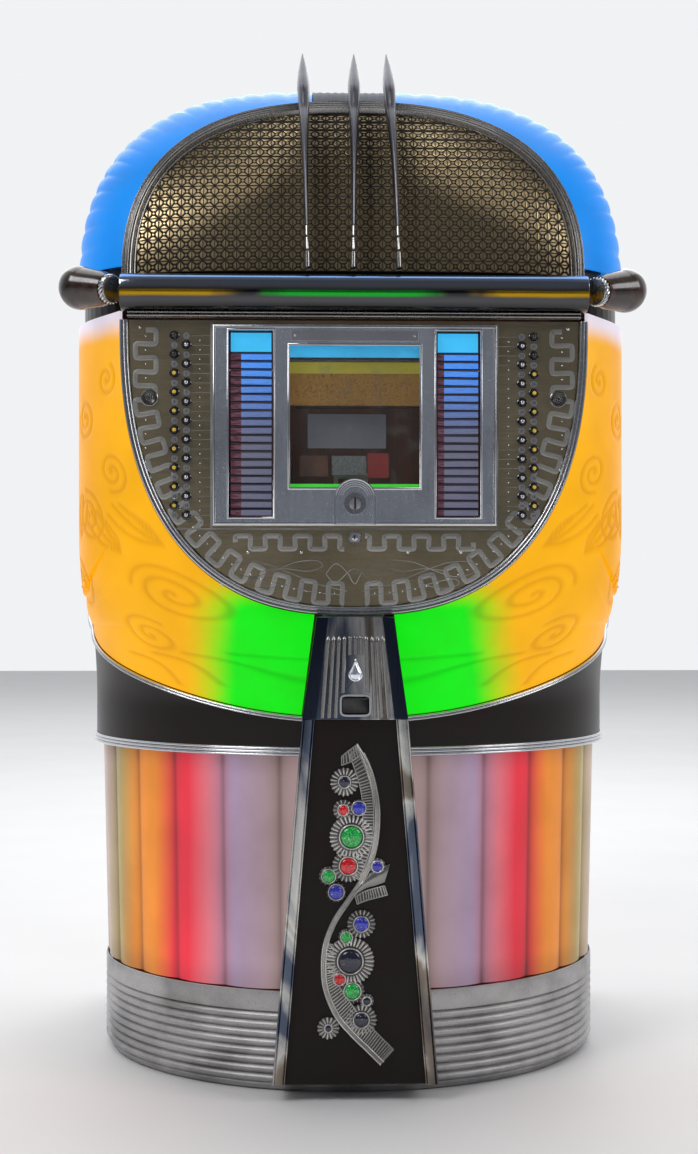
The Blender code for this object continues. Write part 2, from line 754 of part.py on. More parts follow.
def build_dome():
    """Left and right dome plastics and the plain crest between the outer fins."""
    columns = 7
    foot = CAP_Z + CAP_R + 0.003 + SEAM_GAP
    foot_share = math.asin(((foot - SHOULDER_HEIGHT) / DOME_RISE) ** (DOME_FRONT_POWER / 2)) * 2 / math.pi
    crown = math.acos((CREST_HALF_WIDTH / ARCH_HALF_WIDTH) ** (ARCH_POWER / 2))
    crown_share = math.acos((CREST_HALF_WIDTH / BODY_HALF_WIDTH) ** (DOME_FRONT_POWER / 2)) * 2 / math.pi
    arch_foot = math.asin(((foot - ARCH_BOTTOM) / (ARCH_TOP - ARCH_BOTTOM)) ** (ARCH_POWER / 2))
    rows = []
    for i in range(ARCH_STEPS + 1):
        part = i / ARCH_STEPS
        inner = arch_edge(arch_foot + (crown - arch_foot) * part, -SEAM_GAP)
        x, z = dome_silhouette(foot_share + (crown_share - foot_share) * part)
        outer = (x, 0.0, z)
        lip = front_y(*inner)
        rows.append([blend_point(inner, outer, k / columns, lip) for k in range(columns + 1)])
    right = skin("dome_plastic_right", rows, BLUE_PLASTIC, PLASTIC_WALL)
    mirrored(right, "dome_plastic_left")
    half = CREST_HALF_WIDTH - SEAM_GAP
    rows = []
    for i in range(5):
        x = -half + half * 2 * i / 4
        z_low = arch_edge(math.pi / 2, -SEAM_GAP)[1]
        fall = (1.0 - (abs(x) / BODY_HALF_WIDTH) ** DOME_FRONT_POWER) ** (1.0 / DOME_FRONT_POWER)
        z_high = SHOULDER_HEIGHT + DOME_RISE * fall
        row = []
        for k in range(columns + 1):
            sweep = math.sin(k / columns * math.pi / 2)
            z = z_low + (z_high - z_low) * sweep
            row.append((x, front_y(x, z), z))
        rows.append(row)
    skin("dome_crest", rows, GREY_METAL, PLASTIC_WALL)


def arch_path(shrink, steps, first=0.0):
    """(x, y, z) points round the dome frame from its left foot to its right foot."""
    points = []
    for i in range(steps + 1):
        angle = first + (math.pi - 2 * first) * i / steps
        x, z = arch_edge(min(angle, math.pi - angle), shrink)
        x = -x if angle < math.pi / 2 else x
        points.append((x, front_y(x, z), z))
    return points


def build_grille():
    """Ribbed arch frame, and the perforated grille that it holds."""
    steps = ARCH_STEPS * 2
    outer = arch_path(0.0, steps)
    inner = arch_path(ARCH_WIDTH, steps)
    loops = []
    for (x, y, z), (u, v, w) in zip(outer, inner):
        loops.append([
            (x, y - ARCH_PROUD * 0.4, z),
            ((x + u) / 2, min(y, v) - ARCH_PROUD, (z + w) / 2),
            (u, v - ARCH_PROUD * 0.5, w),
            (u, v - ARCH_BACK, w),
            (x, y - ARCH_BACK, z),
        ])
    smooth(loft("dome_frame", loops, GREY_METAL))
    columns = 12
    rows = []
    levels = ARCH_STEPS
    for i in range(levels + 1):
        angle = math.pi / 2 * 0.94 * i / levels
        half, z = arch_edge(angle, ARCH_WIDTH + 0.001)
        row = []
        for k in range(columns + 1):
            x = -half + 2 * half * k / columns
            row.append((x, front_y(x, z), z))
        rows.append(row)
    skin("speaker_grille", rows, BRONZE, SHEET)


def build_fins():
    """Three upright blades in front of the grille, with stepped chrome feet."""
    leans = {"left": -0.009, "centre": 0.006, "right": -0.012}
    places = {"left": -FIN_SPACING, "centre": -0.003, "right": FIN_SPACING - 0.005}
    levels = [
        (FIN_FOOT_Z, 0.0045, 0.016),
        (1.345, 0.0045, 0.016),
        (1.347, 0.0034, 0.014),
        (1.368, 0.0034, 0.014),
        (1.370, 0.0024, 0.012),
        (1.395, 0.0024, 0.012),
        (1.470, 0.0022, 0.022),
        (1.560, 0.0048, 0.036),
        (1.628, 0.0088, 0.046),
        (1.662, 0.0088, 0.036),
        (1.694, 0.0050, 0.020),
        (FIN_TOP, 0.0008, 0.003),
    ]
    stand_z = 1.600
    for side, place in places.items():
        loops = []
        for z, half, depth in levels:
            x = place + leans[side] * (z - FIN_FOOT_Z) / (FIN_TOP - FIN_FOOT_Z)
            back = front_y(place, min(z, stand_z)) - ARCH_PROUD - 0.003
            if z > stand_z:
                back += 0.45 * (z - stand_z)
            loops.append([
                (x, back - depth, z),
                (x + half, back - depth / 2, z),
                (x, back, z),
                (x - half, back - depth / 2, z),
            ])
        smooth(loft("fin_" + side, loops, DARK_FIN), 20.0)


def build_visor():
    """Convex chrome bar, its ribbed trim strip, twisted rings and dark end caps."""
    profile = [
        (VISOR_BACK_Y, VISOR_BOTTOM),
        (VISOR_FRONT_Y + 0.014, VISOR_BOTTOM + 0.002),
        (VISOR_FRONT_Y + 0.003, VISOR_BOTTOM + 0.014),
        (VISOR_FRONT_Y, VISOR_BOTTOM + 0.030),
        (VISOR_FRONT_Y + 0.005, VISOR_BOTTOM + 0.044),
        (VISOR_FRONT_Y + 0.018, VISOR_TOP - 0.003),
        (VISOR_BACK_Y, VISOR_TOP),
    ]
    loops = []
    for share in (-1.0, -0.97, -0.5, 0.0, 0.5, 0.97, 1.0):
        squeeze = 1.0 if abs(share) < 0.98 else 0.86
        middle = (VISOR_BOTTOM + VISOR_TOP) / 2
        loops.append([
            (share * VISOR_HALF,
             VISOR_BACK_Y + (y - VISOR_BACK_Y) * squeeze,
             middle + (z - middle) * squeeze)
            for y, z in profile
        ])
    bar = smooth(loft("visor_bar", loops, CHROME), 40.0)
    low = VISOR_BOTTOM - VISOR_TRIM_HEIGHT
    half = VISOR_HALF - 0.011
    strip = box("visor_strip", (-half, VISOR_BACK_Y - 0.012, low),
                (half, VISOR_BACK_Y, VISOR_BOTTOM + 0.004), CHROME, target=cutters)
    join(bar, strip)
    start = Vector((VISOR_HALF + 0.0015, (VISOR_FRONT_Y + VISOR_BACK_Y) / 2 - 0.002,
                    (VISOR_BOTTOM + VISOR_TOP) / 2 + 0.002))
    bulb = Vector((CAP_X, CAP_Y, CAP_Z))
    way = (bulb - start).normalized()
    start += way * (RING_R * abs(way.y))
    reach = (bulb - start).length
    profile = [(0.0, reach + CAP_R)]
    for i in range(1, 8):
        angle = math.radians(90 - 18 * i)
        profile.append((CAP_R * math.cos(angle), reach + CAP_R * math.sin(angle)))
    profile += [
        (CAP_NECK_R, RING_WIDTH + 0.012),
        (CAP_NECK_R, RING_WIDTH),
        (RING_R * 0.85, RING_WIDTH),
        (RING_R, RING_WIDTH / 2),
        (RING_R * 0.85, 0.0),
        (0.0, 0.0),
    ]
    cap = aimed(turned("visor_cap_right", profile, start, None, DARK_CAP), way)
    mirrored(baked(cap), "visor_cap_left")


# ---------------------------------------------------------------------------
# Selector door and what it carries
# ---------------------------------------------------------------------------

def door_outline(shrink, steps=24):
    """The door's outline, as (x, z) points from its top left corner round to the right."""
    points = []
    for i in range(steps + 1):
        angle = math.pi * i / steps
        x, z = door_edge(min(angle, math.pi - angle), -shrink)
        points.append((-x if angle < math.pi / 2 else x, z))
    return points


def opening(x_low, z_low, x_high, z_high):
    """A rectangle's (x, z) corners."""
    return [(x_low, z_low), (x_high, z_low), (x_high, z_high), (x_low, z_high)]


def button_places():
    """(x, z, bank) of each selector button, from the top row down, both sides."""
    places = []
    for side, sign in (("left", -1), ("right", 1)):
        for row in range(BUTTON_ROWS):
            column = "outer" if row % 2 == 0 else "inner"
            x = BUTTON_OUTER_X if column == "outer" else BUTTON_INNER_X
            places.append((sign * x, BUTTON_TOP - BUTTON_PITCH * row, side + "_" + column))
    return places


def hole(name, radius, x, z, sides=12):
    """A cutter for a round hole through the door plate."""
    return drum(name, radius, (x, DOOR_FACE_Y - 0.02, z), (x, DOOR_FACE_Y + 0.05, z), 1,
                STEEL, sides, cutters)


def build_door():
    """Door plate, its rounded trim, the hinge, the bezel and all that is fixed to it."""
    shrink = DOOR_TRIM_WIDTH + TOUCH_GAP
    window = opening(-STRIP_WINDOW_OUTER, STRIP_WINDOW_BOTTOM, STRIP_WINDOW_OUTER, STRIP_WINDOW_TOP)
    holes = [window]
    for x, z, _ in button_places():
        r = BUTTON_R + RUN_GAP
        holes.append([(x + r * math.cos(math.radians(45 * k + 22.5)),
                       z + r * math.sin(math.radians(45 * k + 22.5))) for k in range(8)])
    r = LOCK_R * 0.7 + RUN_GAP
    holes.append([(r * math.cos(math.radians(30 * k)),
                   LOCK_Z + r * math.sin(math.radians(30 * k))) for k in range(12)])
    outline = door_outline(shrink)
    plate("selector_panel", outline, DOOR_FACE_Y, DOOR_PLATE, PANEL_METAL, holes=holes)
    outer = door_outline(0.0)
    inner = door_outline(DOOR_TRIM_WIDTH)
    loops = []
    face = DOOR_FACE_Y
    for (x, z), (u, w) in zip(outer, inner):
        loops.append([
            (x, face - DOOR_TRIM_PROUD * 0.4, z),
            ((x + u) / 2, face - DOOR_TRIM_PROUD, (z + w) / 2),
            (u, face - DOOR_TRIM_PROUD * 0.4, w),
            (u, face + DOOR_TRIM_BACK, w),
            (x, face + DOOR_TRIM_BACK, z),
        ])
    smooth(loft("door_trim", loops, CHROME))
    thick = BEZEL_THICK
    front = DOOR_FACE_Y - TOUCH_GAP - thick
    windows = [
        opening(-STRIP_WINDOW_OUTER, STRIP_WINDOW_BOTTOM, -STRIP_WINDOW_INNER, STRIP_WINDOW_TOP),
        opening(-WINDOW_HALF_WIDTH, WINDOW_BOTTOM, WINDOW_HALF_WIDTH, WINDOW_TOP),
        opening(STRIP_WINDOW_INNER, STRIP_WINDOW_BOTTOM, STRIP_WINDOW_OUTER, STRIP_WINDOW_TOP),
    ]
    frame = opening(-BEZEL_HALF_WIDTH, BEZEL_BOTTOM, BEZEL_HALF_WIDTH, BEZEL_TOP)
    plate("bezel_frame", frame, front, thick, CHROME, holes=windows)
    for side, sign in (("left", -1), ("right", 1)):
        build_strip_holder(side, sign)
    low = (-WINDOW_HALF_WIDTH - 0.006, DOOR_FACE_Y + TOUCH_GAP, WINDOW_BOTTOM - 0.006)
    high = (WINDOW_HALF_WIDTH + 0.006, DOOR_FACE_Y + TOUCH_GAP + GLASS_THICK, WINDOW_TOP + 0.006)
    box("window_glass", low, high, GLASS)
    build_coin_plate(front - TOUCH_GAP)
    build_buttons()
    build_plugs()
    build_door_lock()


def build_strip_holder(side, sign):
    """A ladder of twenty title strips that stands behind its window."""
    gap = 0.0015
    x_inner = STRIP_WINDOW_INNER + gap
    x_outer = STRIP_WINDOW_OUTER - gap
    face = DOOR_FACE_Y - TOUCH_GAP - 0.002
    low_x, high_x = sorted((sign * x_inner, sign * x_outer))
    rows = BUTTON_ROWS
    bottom = STRIP_WINDOW_BOTTOM + gap
    top = STRIP_WINDOW_TOP - gap
    pitch = (top - bottom) / rows
    profile = []
    for row in range(rows):
        z = bottom + pitch * row
        profile += [(face, z), (face - 0.0025, z + pitch * 0.12), (face - 0.0008, z + pitch * 0.93)]
    back = DOOR_FACE_Y + 0.008
    profile += [(face, top), (back, top), (back, bottom)]
    loops = [[(x, y, z) for y, z in profile] for x in (low_x, high_x)]
    loft("title_strip_holder_" + side, loops, PAPER)


def build_coin_plate(back_y):
    """Round-topped coin entry plate with its slotted boss."""
    steps = 12
    straight = COIN_PLATE_TOP - COIN_PLATE_HALF
    outline = [(-COIN_PLATE_HALF, BEZEL_BOTTOM + 0.001), (COIN_PLATE_HALF, BEZEL_BOTTOM + 0.001)]
    for i in range(steps + 1):
        angle = math.pi * i / steps
        outline.append((COIN_PLATE_HALF * math.cos(angle), straight + COIN_PLATE_HALF * math.sin(angle)))
    slot = opening(-COIN_SLOT_WIDTH / 2, COIN_BOSS_Z - COIN_SLOT_HEIGHT / 2,
                   COIN_SLOT_WIDTH / 2, COIN_BOSS_Z + COIN_SLOT_HEIGHT / 2)
    front = back_y - COIN_PLATE_THICK
    entry = plate("coin_entry_plate", outline, front, COIN_PLATE_THICK, CHROME, holes=[slot])
    circle = [(COIN_BOSS_R * math.cos(math.radians(15 * k)),
               COIN_BOSS_Z + COIN_BOSS_R * math.sin(math.radians(15 * k))) for k in range(24)]
    boss = plate("coin_boss", circle, front - COIN_BOSS_PROUD, COIN_BOSS_PROUD + 0.002,
                 STEEL, cutters, [slot])
    join(entry, boss)


def build_buttons():
    """Four banks of ten plunger buttons, each bank on its own bar behind the plate."""
    back = DOOR_FACE_Y + DOOR_PLATE + 0.0005
    for bank in ("left_outer", "left_inner", "right_outer", "right_inner"):
        spots = [(x, z) for x, z, owner in button_places() if owner == bank]
        x = spots[0][0]
        half = BUTTON_R + 0.0008
        top = spots[0][1] + half
        bottom = spots[-1][1] - half
        bar = box("selector_buttons_" + bank, (x - half, back, bottom),
                  (x + half, back + BUTTON_BAR, top), BLACK)
        for number, (px, pz) in enumerate(spots):
            front = DOOR_FACE_Y - BUTTON_PROUD
            button = drum("button_{}_{}".format(bank, number), BUTTON_R,
                          (px, front, pz), (px, back + BUTTON_BAR / 2, pz), 1, BLACK, 10, cutters)
            join(bar, button)


def build_plugs():
    """Black round plugs outside the button columns, one each side."""
    for side, sign in (("left", -1), ("right", 1)):
        face = DOOR_FACE_Y - TOUCH_GAP
        profile = [(0.0, 0.0055), (PLUG_R * 0.55, 0.0055), (PLUG_R, 0.002), (PLUG_R, 0.0), (0.0, 0.0)]
        turned("panel_plug_" + side, profile, (sign * PLUG_X, face, PLUG_Z), "-Y", BLACK)


def build_door_lock():
    """Lock cylinder below the bezel, which turns in the door plate, and its bolt."""
    face = DOOR_FACE_Y - TOUCH_GAP
    barrel = LOCK_R * 0.7
    deep = DOOR_PLATE + 0.012
    profile = [(0.0, 0.004), (LOCK_R * 0.8, 0.004), (LOCK_R, 0.0015), (LOCK_R, 0.0),
               (barrel, 0.0), (barrel, -deep), (0.0, -deep)]
    lock = baked(turned("door_lock", profile, (0.0, face, LOCK_Z), "-Y", STEEL))
    bolt = box("door_lock_bolt", (-0.005, face + deep - 0.004, LOCK_Z - 0.004),
               (0.022, face + deep - 0.001, LOCK_Z + 0.004), STEEL, target=cutters)
    join(lock, bolt)
    origin = Matrix.Translation((0.0, face, LOCK_Z))
    lock.data.transform(origin.inverted())
    lock.matrix_world = origin


# ---------------------------------------------------------------------------
# Pillar, coin return and ornament
# ---------------------------------------------------------------------------

def pillar_section(z):
    """Half width, front y and back y of the pillar at a height."""
    half = pillar_half(z)
    back = -FRONT_DEPTH * math.sqrt(1.0 - (half / WAIST_HALF_WIDTH) ** 2) - RETAINER_PROUD - SEAM_GAP
    return half, back


def build_pillar():
    """Tapering dark panel between two chrome side strips."""
    low = PILLAR_BOTTOM
    high = PILLAR_HEAD_BOTTOM - TOUCH_GAP
    loops = []
    for z in (low, high):
        half = pillar_half(z) - PILLAR_STRIP - TOUCH_GAP
        loops.append([
            (-half, PILLAR_FACE_Y + PILLAR_RECESS, z),
            (half, PILLAR_FACE_Y + PILLAR_RECESS, z),
            (half, PILLAR_FACE_Y + PILLAR_RECESS + PILLAR_DEPTH, z),
            (-half, PILLAR_FACE_Y + PILLAR_RECESS + PILLAR_DEPTH, z),
        ])
    loft("pillar_panel", loops, DARK_BAND)
    loops = []
    steps = 6
    for i in range(steps + 1):
        z = low + (high - low) * i / steps
        half, back = pillar_section(z)
        loops.append([
            (half - PILLAR_STRIP, PILLAR_FACE_Y, z),
            (half - PILLAR_STRIP * 0.4, PILLAR_FACE_Y - 0.004, z),
            (half, PILLAR_FACE_Y + 0.002, z),
            (half, back, z),
            (half - PILLAR_STRIP, back - 0.006, z),
        ])
    right = smooth(loft("pillar_strip_right", loops, CHROME))
    mirrored(right, "pillar_strip_left")


def build_pillar_head():
    """Ribbed chrome head with the coin return lever, cup and flap."""
    levels = [PILLAR_HEAD_BOTTOM, (PILLAR_HEAD_BOTTOM + PILLAR_TOP) / 2, PILLAR_TOP]
    loops = []
    for z in levels:
        half, _ = pillar_section(z)
        back = front_y(half, z) - 0.0065
        loops.append([
            (-half, HEAD_FACE_Y + 0.010, z),
            (-half * 0.7, HEAD_FACE_Y, z),
            (half * 0.7, HEAD_FACE_Y, z),
            (half, HEAD_FACE_Y + 0.010, z),
            (half, back, z),
            (-half, back, z),
        ])
    head = loft("pillar_head", loops, CHROME)
    cup = box("cup_cutter", (-CUP_HALF_WIDTH, HEAD_FACE_Y - 0.02, CUP_BOTTOM),
              (CUP_HALF_WIDTH, HEAD_FACE_Y + HEAD_DEPTH - 0.004, CUP_TOP), CHROME, target=cutters)
    cut(head, cup)
    stem = 0.0045
    bore = drum("lever_bore", stem + RUN_GAP, (0.0, HEAD_FACE_Y - 0.02, LEVER_Z),
                (0.0, HEAD_FACE_Y + HEAD_DEPTH - 0.010, LEVER_Z), 1, CHROME, 16, cutters)
    cut(head, bore)
    gap = RUN_GAP
    flap_y = HEAD_FACE_Y + 0.012
    flap = box("coin_return_flap",
               (-CUP_HALF_WIDTH + gap, flap_y, CUP_BOTTOM + gap),
               (CUP_HALF_WIDTH - gap, flap_y + 0.002, CUP_TOP - gap - 0.002), BLACK)
    pin = drum("flap_pin", 0.002, (-CUP_HALF_WIDTH + gap, flap_y + 0.001, CUP_TOP - 0.0032),
               (CUP_HALF_WIDTH - gap, flap_y + 0.001, CUP_TOP - 0.0032), 0, BLACK, 10, cutters)
    join(flap, pin)
    origin = Matrix.Translation((0.0, flap_y + 0.001, CUP_TOP - 0.0032))
    flap = baked(flap)
    flap.data.transform(origin.inverted())
    flap.matrix_world = origin
    face = HEAD_FACE_Y - RUN_GAP
    head = LEVER_R * 0.9
    profile = [(0.0, LEVER_PROUD), (LEVER_R * 0.5, LEVER_PROUD - 0.0005), (head, 0.004), (head, 0.0),
               (stem, 0.0), (stem, -0.018), (0.0, -0.018)]
    lever = baked(turned("coin_return_lever", profile, (0.0, face, LEVER_Z), "-Y", CHROME, 16))
    outline = [(-0.006, LEVER_Z + 0.004), (0.006, LEVER_Z + 0.004), (0.0015, LEVER_Z + 0.026),
               (-0.0015, LEVER_Z + 0.026)]
    tip = plate("lever_tip", outline, face - 0.005, 0.004, CHROME, cutters)
    join(lever, tip)
    origin = Matrix.Translation((0.0, face, LEVER_Z))
    lever.data.transform(origin.inverted())
    lever.matrix_world = origin


def through(points, share):
    """A point on the smooth curve through some (x, z) points; share runs from 0 to 1."""
    spans = len(points) - 1
    place = min(int(share * spans), spans - 1)
    t = share * spans - place
    before = points[max(place - 1, 0)]
    start = points[place]
    end = points[place + 1]
    after = points[min(place + 2, spans)]
    result = []
    for p0, p1, p2, p3 in zip(before, start, end, after):
        bend = 2 * p0 - 5 * p1 + 4 * p2 - p3
        twist = 3 * (p1 - p2) + p3 - p0
        result.append(0.5 * (2 * p1 + (p2 - p0) * t + bend * t * t + twist * t ** 3))
    return tuple(result)


def build_ornament():
    """Cast ornament on the pillar: a double curve carrying round rosettes."""
    face = PILLAR_FACE_Y + PILLAR_RECESS - TOUCH_GAP
    steps = 22
    left = []
    right = []
    for i in range(steps + 1):
        share = i / steps
        x, z = through(STEM_POINTS, share)
        half = STEM_HALF_WIDTH * (0.2 + 0.8 * min(share * 6.0, 1.0))
        left.append((x - half, z))
        right.append((x + half, z))
    stem = plate("jewel_ornament", left + right[::-1], face - ORNAMENT_THICK, ORNAMENT_THICK, GREY_CAST)
    for number, (x, z, r) in enumerate(ROSETTES):
        disc = drum("rosette_{}".format(number), r, (x, face - ORNAMENT_THICK - 0.002, z), (x, face, z), 1,
                    GREY_CAST, 16, cutters)
        near = min((through(STEM_POINTS, k / 60) for k in range(61)), key=lambda p: abs(p[1] - z))[0]
        low, high = sorted((x, near))
        bridge = box("bridge_{}".format(number), (low, face - 0.004, z - 0.004),
                     (high, face - 0.0002, z + 0.004), GREY_CAST, target=cutters)
        join(stem, disc, bridge)


# ---------------------------------------------------------------------------
# Cabinet, rear door and mechanism
# ---------------------------------------------------------------------------

def cabinet_path(inset, steps):
    """(x, z) points round the cabinet's section from its right foot over to its left foot."""
    right = [
        (BASE_HALF_WIDTH - inset, BASE_HEIGHT + TOUCH_GAP),
        (BASE_HALF_WIDTH + 0.006 - inset, WAIST_BOTTOM),
        (WAIST_HALF_WIDTH - inset, BULGE_START),
        (body_half_width((BULGE_START + BULGE_END) / 2) - inset, (BULGE_START + BULGE_END) / 2),
        (BODY_HALF_WIDTH - inset, BULGE_END),
    ]
    for i in range(steps + 1):
        x, z = dome_silhouette(i / steps)
        scale = 1.0 - inset / DOME_RISE
        inner_x = x - inset if x > inset * 3 else x * 0.98
        right.append((inner_x, SHOULDER_HEIGHT + (z - SHOULDER_HEIGHT) * scale))
    left = [(-x, z) for x, z in reversed(right[:-1])]
    right[-1] = (0.0, right[-1][1])
    return right + left


def build_cabinet():
    """Wooden shell behind the front skins, back panel, shelf, rear door and its lock."""
    outer = cabinet_path(0.004, 8)
    inner = cabinet_path(0.004 + WOOD_WALL, 8)
    front = 0.003
    back = CABINET_DEPTH - BACK_WALL - TOUCH_GAP
    loops = []
    for (x, z), (u, w) in zip(outer, inner):
        loops.append([(x, front, z), (x, back, z), (u, back, w), (u, front, w)])
    smooth(loft("cabinet_shell", loops, WOOD))
    outline = cabinet_path(0.004, 8)
    hatch = opening(-DOOR_OPENING_HALF, DOOR_OPENING_BOTTOM, DOOR_OPENING_HALF, DOOR_OPENING_TOP)
    plate("back_panel", outline, back + TOUCH_GAP, BACK_WALL, WOOD, holes=[hatch])
    gap = RUN_GAP * 2
    hatch_door = box("back_door", (-DOOR_OPENING_HALF + gap, back + TOUCH_GAP, DOOR_OPENING_BOTTOM + gap),
                     (DOOR_OPENING_HALF - gap, CABINET_DEPTH, DOOR_OPENING_TOP - gap), WOOD)
    x = DOOR_OPENING_HALF - 0.030
    hole_y = (back - 0.020, CABINET_DEPTH + 0.020)
    hole = drum("lock_hole", LOCK_STEM_R + RUN_GAP, (x, hole_y[0], BACK_LOCK_Z),
                (x, hole_y[1], BACK_LOCK_Z), 1, WOOD, 16, cutters)
    cut(hatch_door, hole)
    build_back_lock()
    half = 0.395
    low = (-half, -0.200, SHELF_Z - SHELF_THICK)
    high = (half, back - 0.010, SHELF_Z)
    box("mechanism_shelf", low, high, WOOD)


def build_back_lock():
    """Turn-knob of the rear door with its bolt behind the back panel."""
    face = CABINET_DEPTH + TOUCH_GAP
    deep = BACK_WALL + 0.004
    x = DOOR_OPENING_HALF - 0.030
    z = BACK_LOCK_Z
    knob = drum("back_door_lock", 0.016, (x, face, z), (x, face + LOCK_KNOB, z), 1, STEEL, 20)
    stem = drum("lock_stem", LOCK_STEM_R, (x, face - deep - 0.002, z), (x, face + 0.003, z), 1,
                STEEL, 16, cutters)
    bolt = box("lock_bolt", (x - 0.009, face - deep - 0.003, BACK_LOCK_Z - 0.008),
               (x + 0.009, face - deep, BACK_LOCK_Z + 0.055), STEEL, target=cutters)
    join(knob, stem, bolt)
    knob = baked(knob)
    origin = Matrix.Translation((x, face, BACK_LOCK_Z))
    knob.data.transform(origin.inverted())
    knob.matrix_world = origin


def build_speaker():
    """Baffle board and cone speaker behind the grille."""
    steps = 18
    outline = []
    for i in range(steps + 1):
        angle = math.pi * i / steps
        x, z = dome_silhouette(min(i, steps - i) / steps * 2)
        x -= 0.040
        z = SHOULDER_HEIGHT + (z - SHOULDER_HEIGHT) * 0.88
        outline.append((max(x, 0.0) if i <= steps / 2 else -max(x, 0.0), z))
    circle = [((SPEAKER_R - 0.014) * math.cos(math.radians(15 * k)),
               SPEAKER_Z + (SPEAKER_R - 0.014) * math.sin(math.radians(15 * k))) for k in range(24)]
    plate("speaker_baffle", outline, -0.060, 0.012, WOOD, holes=[circle])
    profile = [(0.0, 0.066), (0.030, 0.060), (0.128, 0.108), (SPEAKER_R, 0.108), (SPEAKER_R, 0.102),
               (0.062, 0.034), (0.062, 0.0), (0.0, 0.0)]
    turned("speaker", profile, (0.0, -0.048 + TOUCH_GAP + 0.108, SPEAKER_Z), "-Y", CONE_PAPER)


def build_mechanism():
    """Record magazine, turntable, tonearm, gripper carriage, motor and amplifier."""
    floor = SHELF_Z + TOUCH_GAP
    half = RECORD_PITCH * RECORD_COUNT / 2 + 0.006
    foot = floor + FRAME_PLATE + TOUCH_GAP
    centre_z = foot + RECORD_R + 0.012
    cradle = box("record_magazine", (MAGAZINE_X - half, MAGAZINE_Y - MAGAZINE_HALF_DEPTH, foot),
                 (MAGAZINE_X + half, MAGAZINE_Y + MAGAZINE_HALF_DEPTH, foot + MAGAZINE_HEIGHT), STEEL)
    scoop = drum("magazine_scoop", RECORD_R + 0.0015, (MAGAZINE_X - half + 0.004, MAGAZINE_Y, centre_z),
                 (MAGAZINE_X + half - 0.004, MAGAZINE_Y, centre_z), 0, STEEL, 32, cutters)
    cut(cradle, scoop)
    profile = []
    last = RECORD_PITCH * RECORD_COUNT - 0.002
    first = last - RECORD_PITCH * (RECORD_COUNT - 1)
    for i in range(RECORD_COUNT // 2):
        top = last - i * RECORD_PITCH * 2
        low = top - RECORD_PITCH
        profile += [(RECORD_CORE_R, top), (RECORD_R, top), (RECORD_R, low), (RECORD_CORE_R, low)]
    profile = [(0.0, last), *profile[1:-1], (0.0, first)]
    middle = (last + first) / 2
    turned("records", profile, (MAGAZINE_X - middle, MAGAZINE_Y, centre_z), "+X", SHELLAC, 20)
    build_frame(floor)
    build_turntable(floor)
    build_gripper(floor)
    build_lower_works()


def build_frame(floor):
    """Mechanism frame: a base plate with the carriage rail and both posts on it."""
    plate_top = floor + FRAME_PLATE
    frame = box("mechanism_frame", (-0.358, RAIL_Y - 0.020, floor), (0.358, 0.180, plate_top), CAST_METAL)
    rail_z = floor + RAIL_RISE
    pieces = [
        drum("rail", RAIL_R, (-0.350, RAIL_Y, rail_z), (0.350, RAIL_Y, rail_z), 0, STEEL, 14, cutters),
        drum("turntable_post", 0.030, (TURNTABLE_X, TURNTABLE_Y, plate_top - 0.002),
             (TURNTABLE_X, TURNTABLE_Y, floor + DECK_RISE), 2, STEEL, 20, cutters),
        drum("tonearm_post", 0.014, (TONEARM_X, TONEARM_Y, plate_top - 0.002),
             (TONEARM_X, TONEARM_Y, floor + DECK_RISE + 0.020), 2, STEEL, 16, cutters),
    ]
    for sign in (-1, 1):
        low, high = sorted((sign * 0.340, sign * 0.356))
        pieces.append(box("rail_bracket", (low, RAIL_Y - 0.014, plate_top - 0.002),
                          (high, RAIL_Y + 0.014, rail_z + 0.014), STEEL, target=cutters))
    join(frame, *pieces)


def build_turntable(floor):
    """Turntable on the frame's bearing post, and the tonearm on its own post."""
    deck = floor + DECK_RISE
    profile = [(0.0, 0.022), (0.0035, 0.020), (0.0035, 0.008), (0.108, 0.008), (0.110, 0.006),
               (0.110, 0.0), (0.0, 0.0)]
    turned("turntable", profile, (TURNTABLE_X, TURNTABLE_Y, deck + TOUCH_GAP), None, FELT, 28)
    reach = 0.175
    arm = box("tonearm", (-0.010, -reach, 0.004), (0.010, 0.020, 0.016), BLACK, 0.003)
    pivot = drum("tonearm_pivot", 0.014, (0.0, 0.0, 0.0), (0.0, 0.0, 0.020), 2, BLACK, 16, cutters)
    head = box("tonearm_head", (-0.014, -reach - 0.030, 0.000), (0.014, -reach + 0.004, 0.018), BLACK,
               target=cutters)
    for piece in (pivot, head):
        join(arm, piece)
    arm = baked(arm)
    arm.matrix_world = Matrix.Translation((TONEARM_X, TONEARM_Y, deck + 0.020 + TOUCH_GAP))


def build_gripper(floor):
    """Carriage on its rail behind the window, with the swinging gripper arm."""
    rail_z = floor + RAIL_RISE
    top = rail_z + 0.018
    carriage = box("gripper_carriage", (-0.035, RAIL_Y - 0.016, rail_z - 0.014),
                   (0.035, RAIL_Y + 0.016, top), CAST_METAL)
    bore = drum("carriage_bore", RAIL_R + RUN_GAP, (-0.050, RAIL_Y, rail_z), (0.050, RAIL_Y, rail_z), 0,
                STEEL, 14, cutters)
    cut(carriage, bore)
    arm = box("gripper_arm", (-0.030, -0.006, -0.008), (0.030, 0.006, 0.008), STEEL)
    bars = [
        ((-0.030, -0.005, 0.0), (-0.022, 0.005, GRIPPER_REACH)),
        ((0.022, -0.005, 0.0), (0.030, 0.005, GRIPPER_REACH)),
        ((-0.030, -0.005, GRIPPER_REACH - 0.010), (0.030, 0.005, GRIPPER_REACH)),
    ]
    for number, (low, high) in enumerate(bars):
        join(arm, box("gripper_bar_{}".format(number), low, high, STEEL, target=cutters))
    arm = baked(arm)
    arm.matrix_world = Matrix.Translation((0.0, RAIL_Y, top + 0.010))


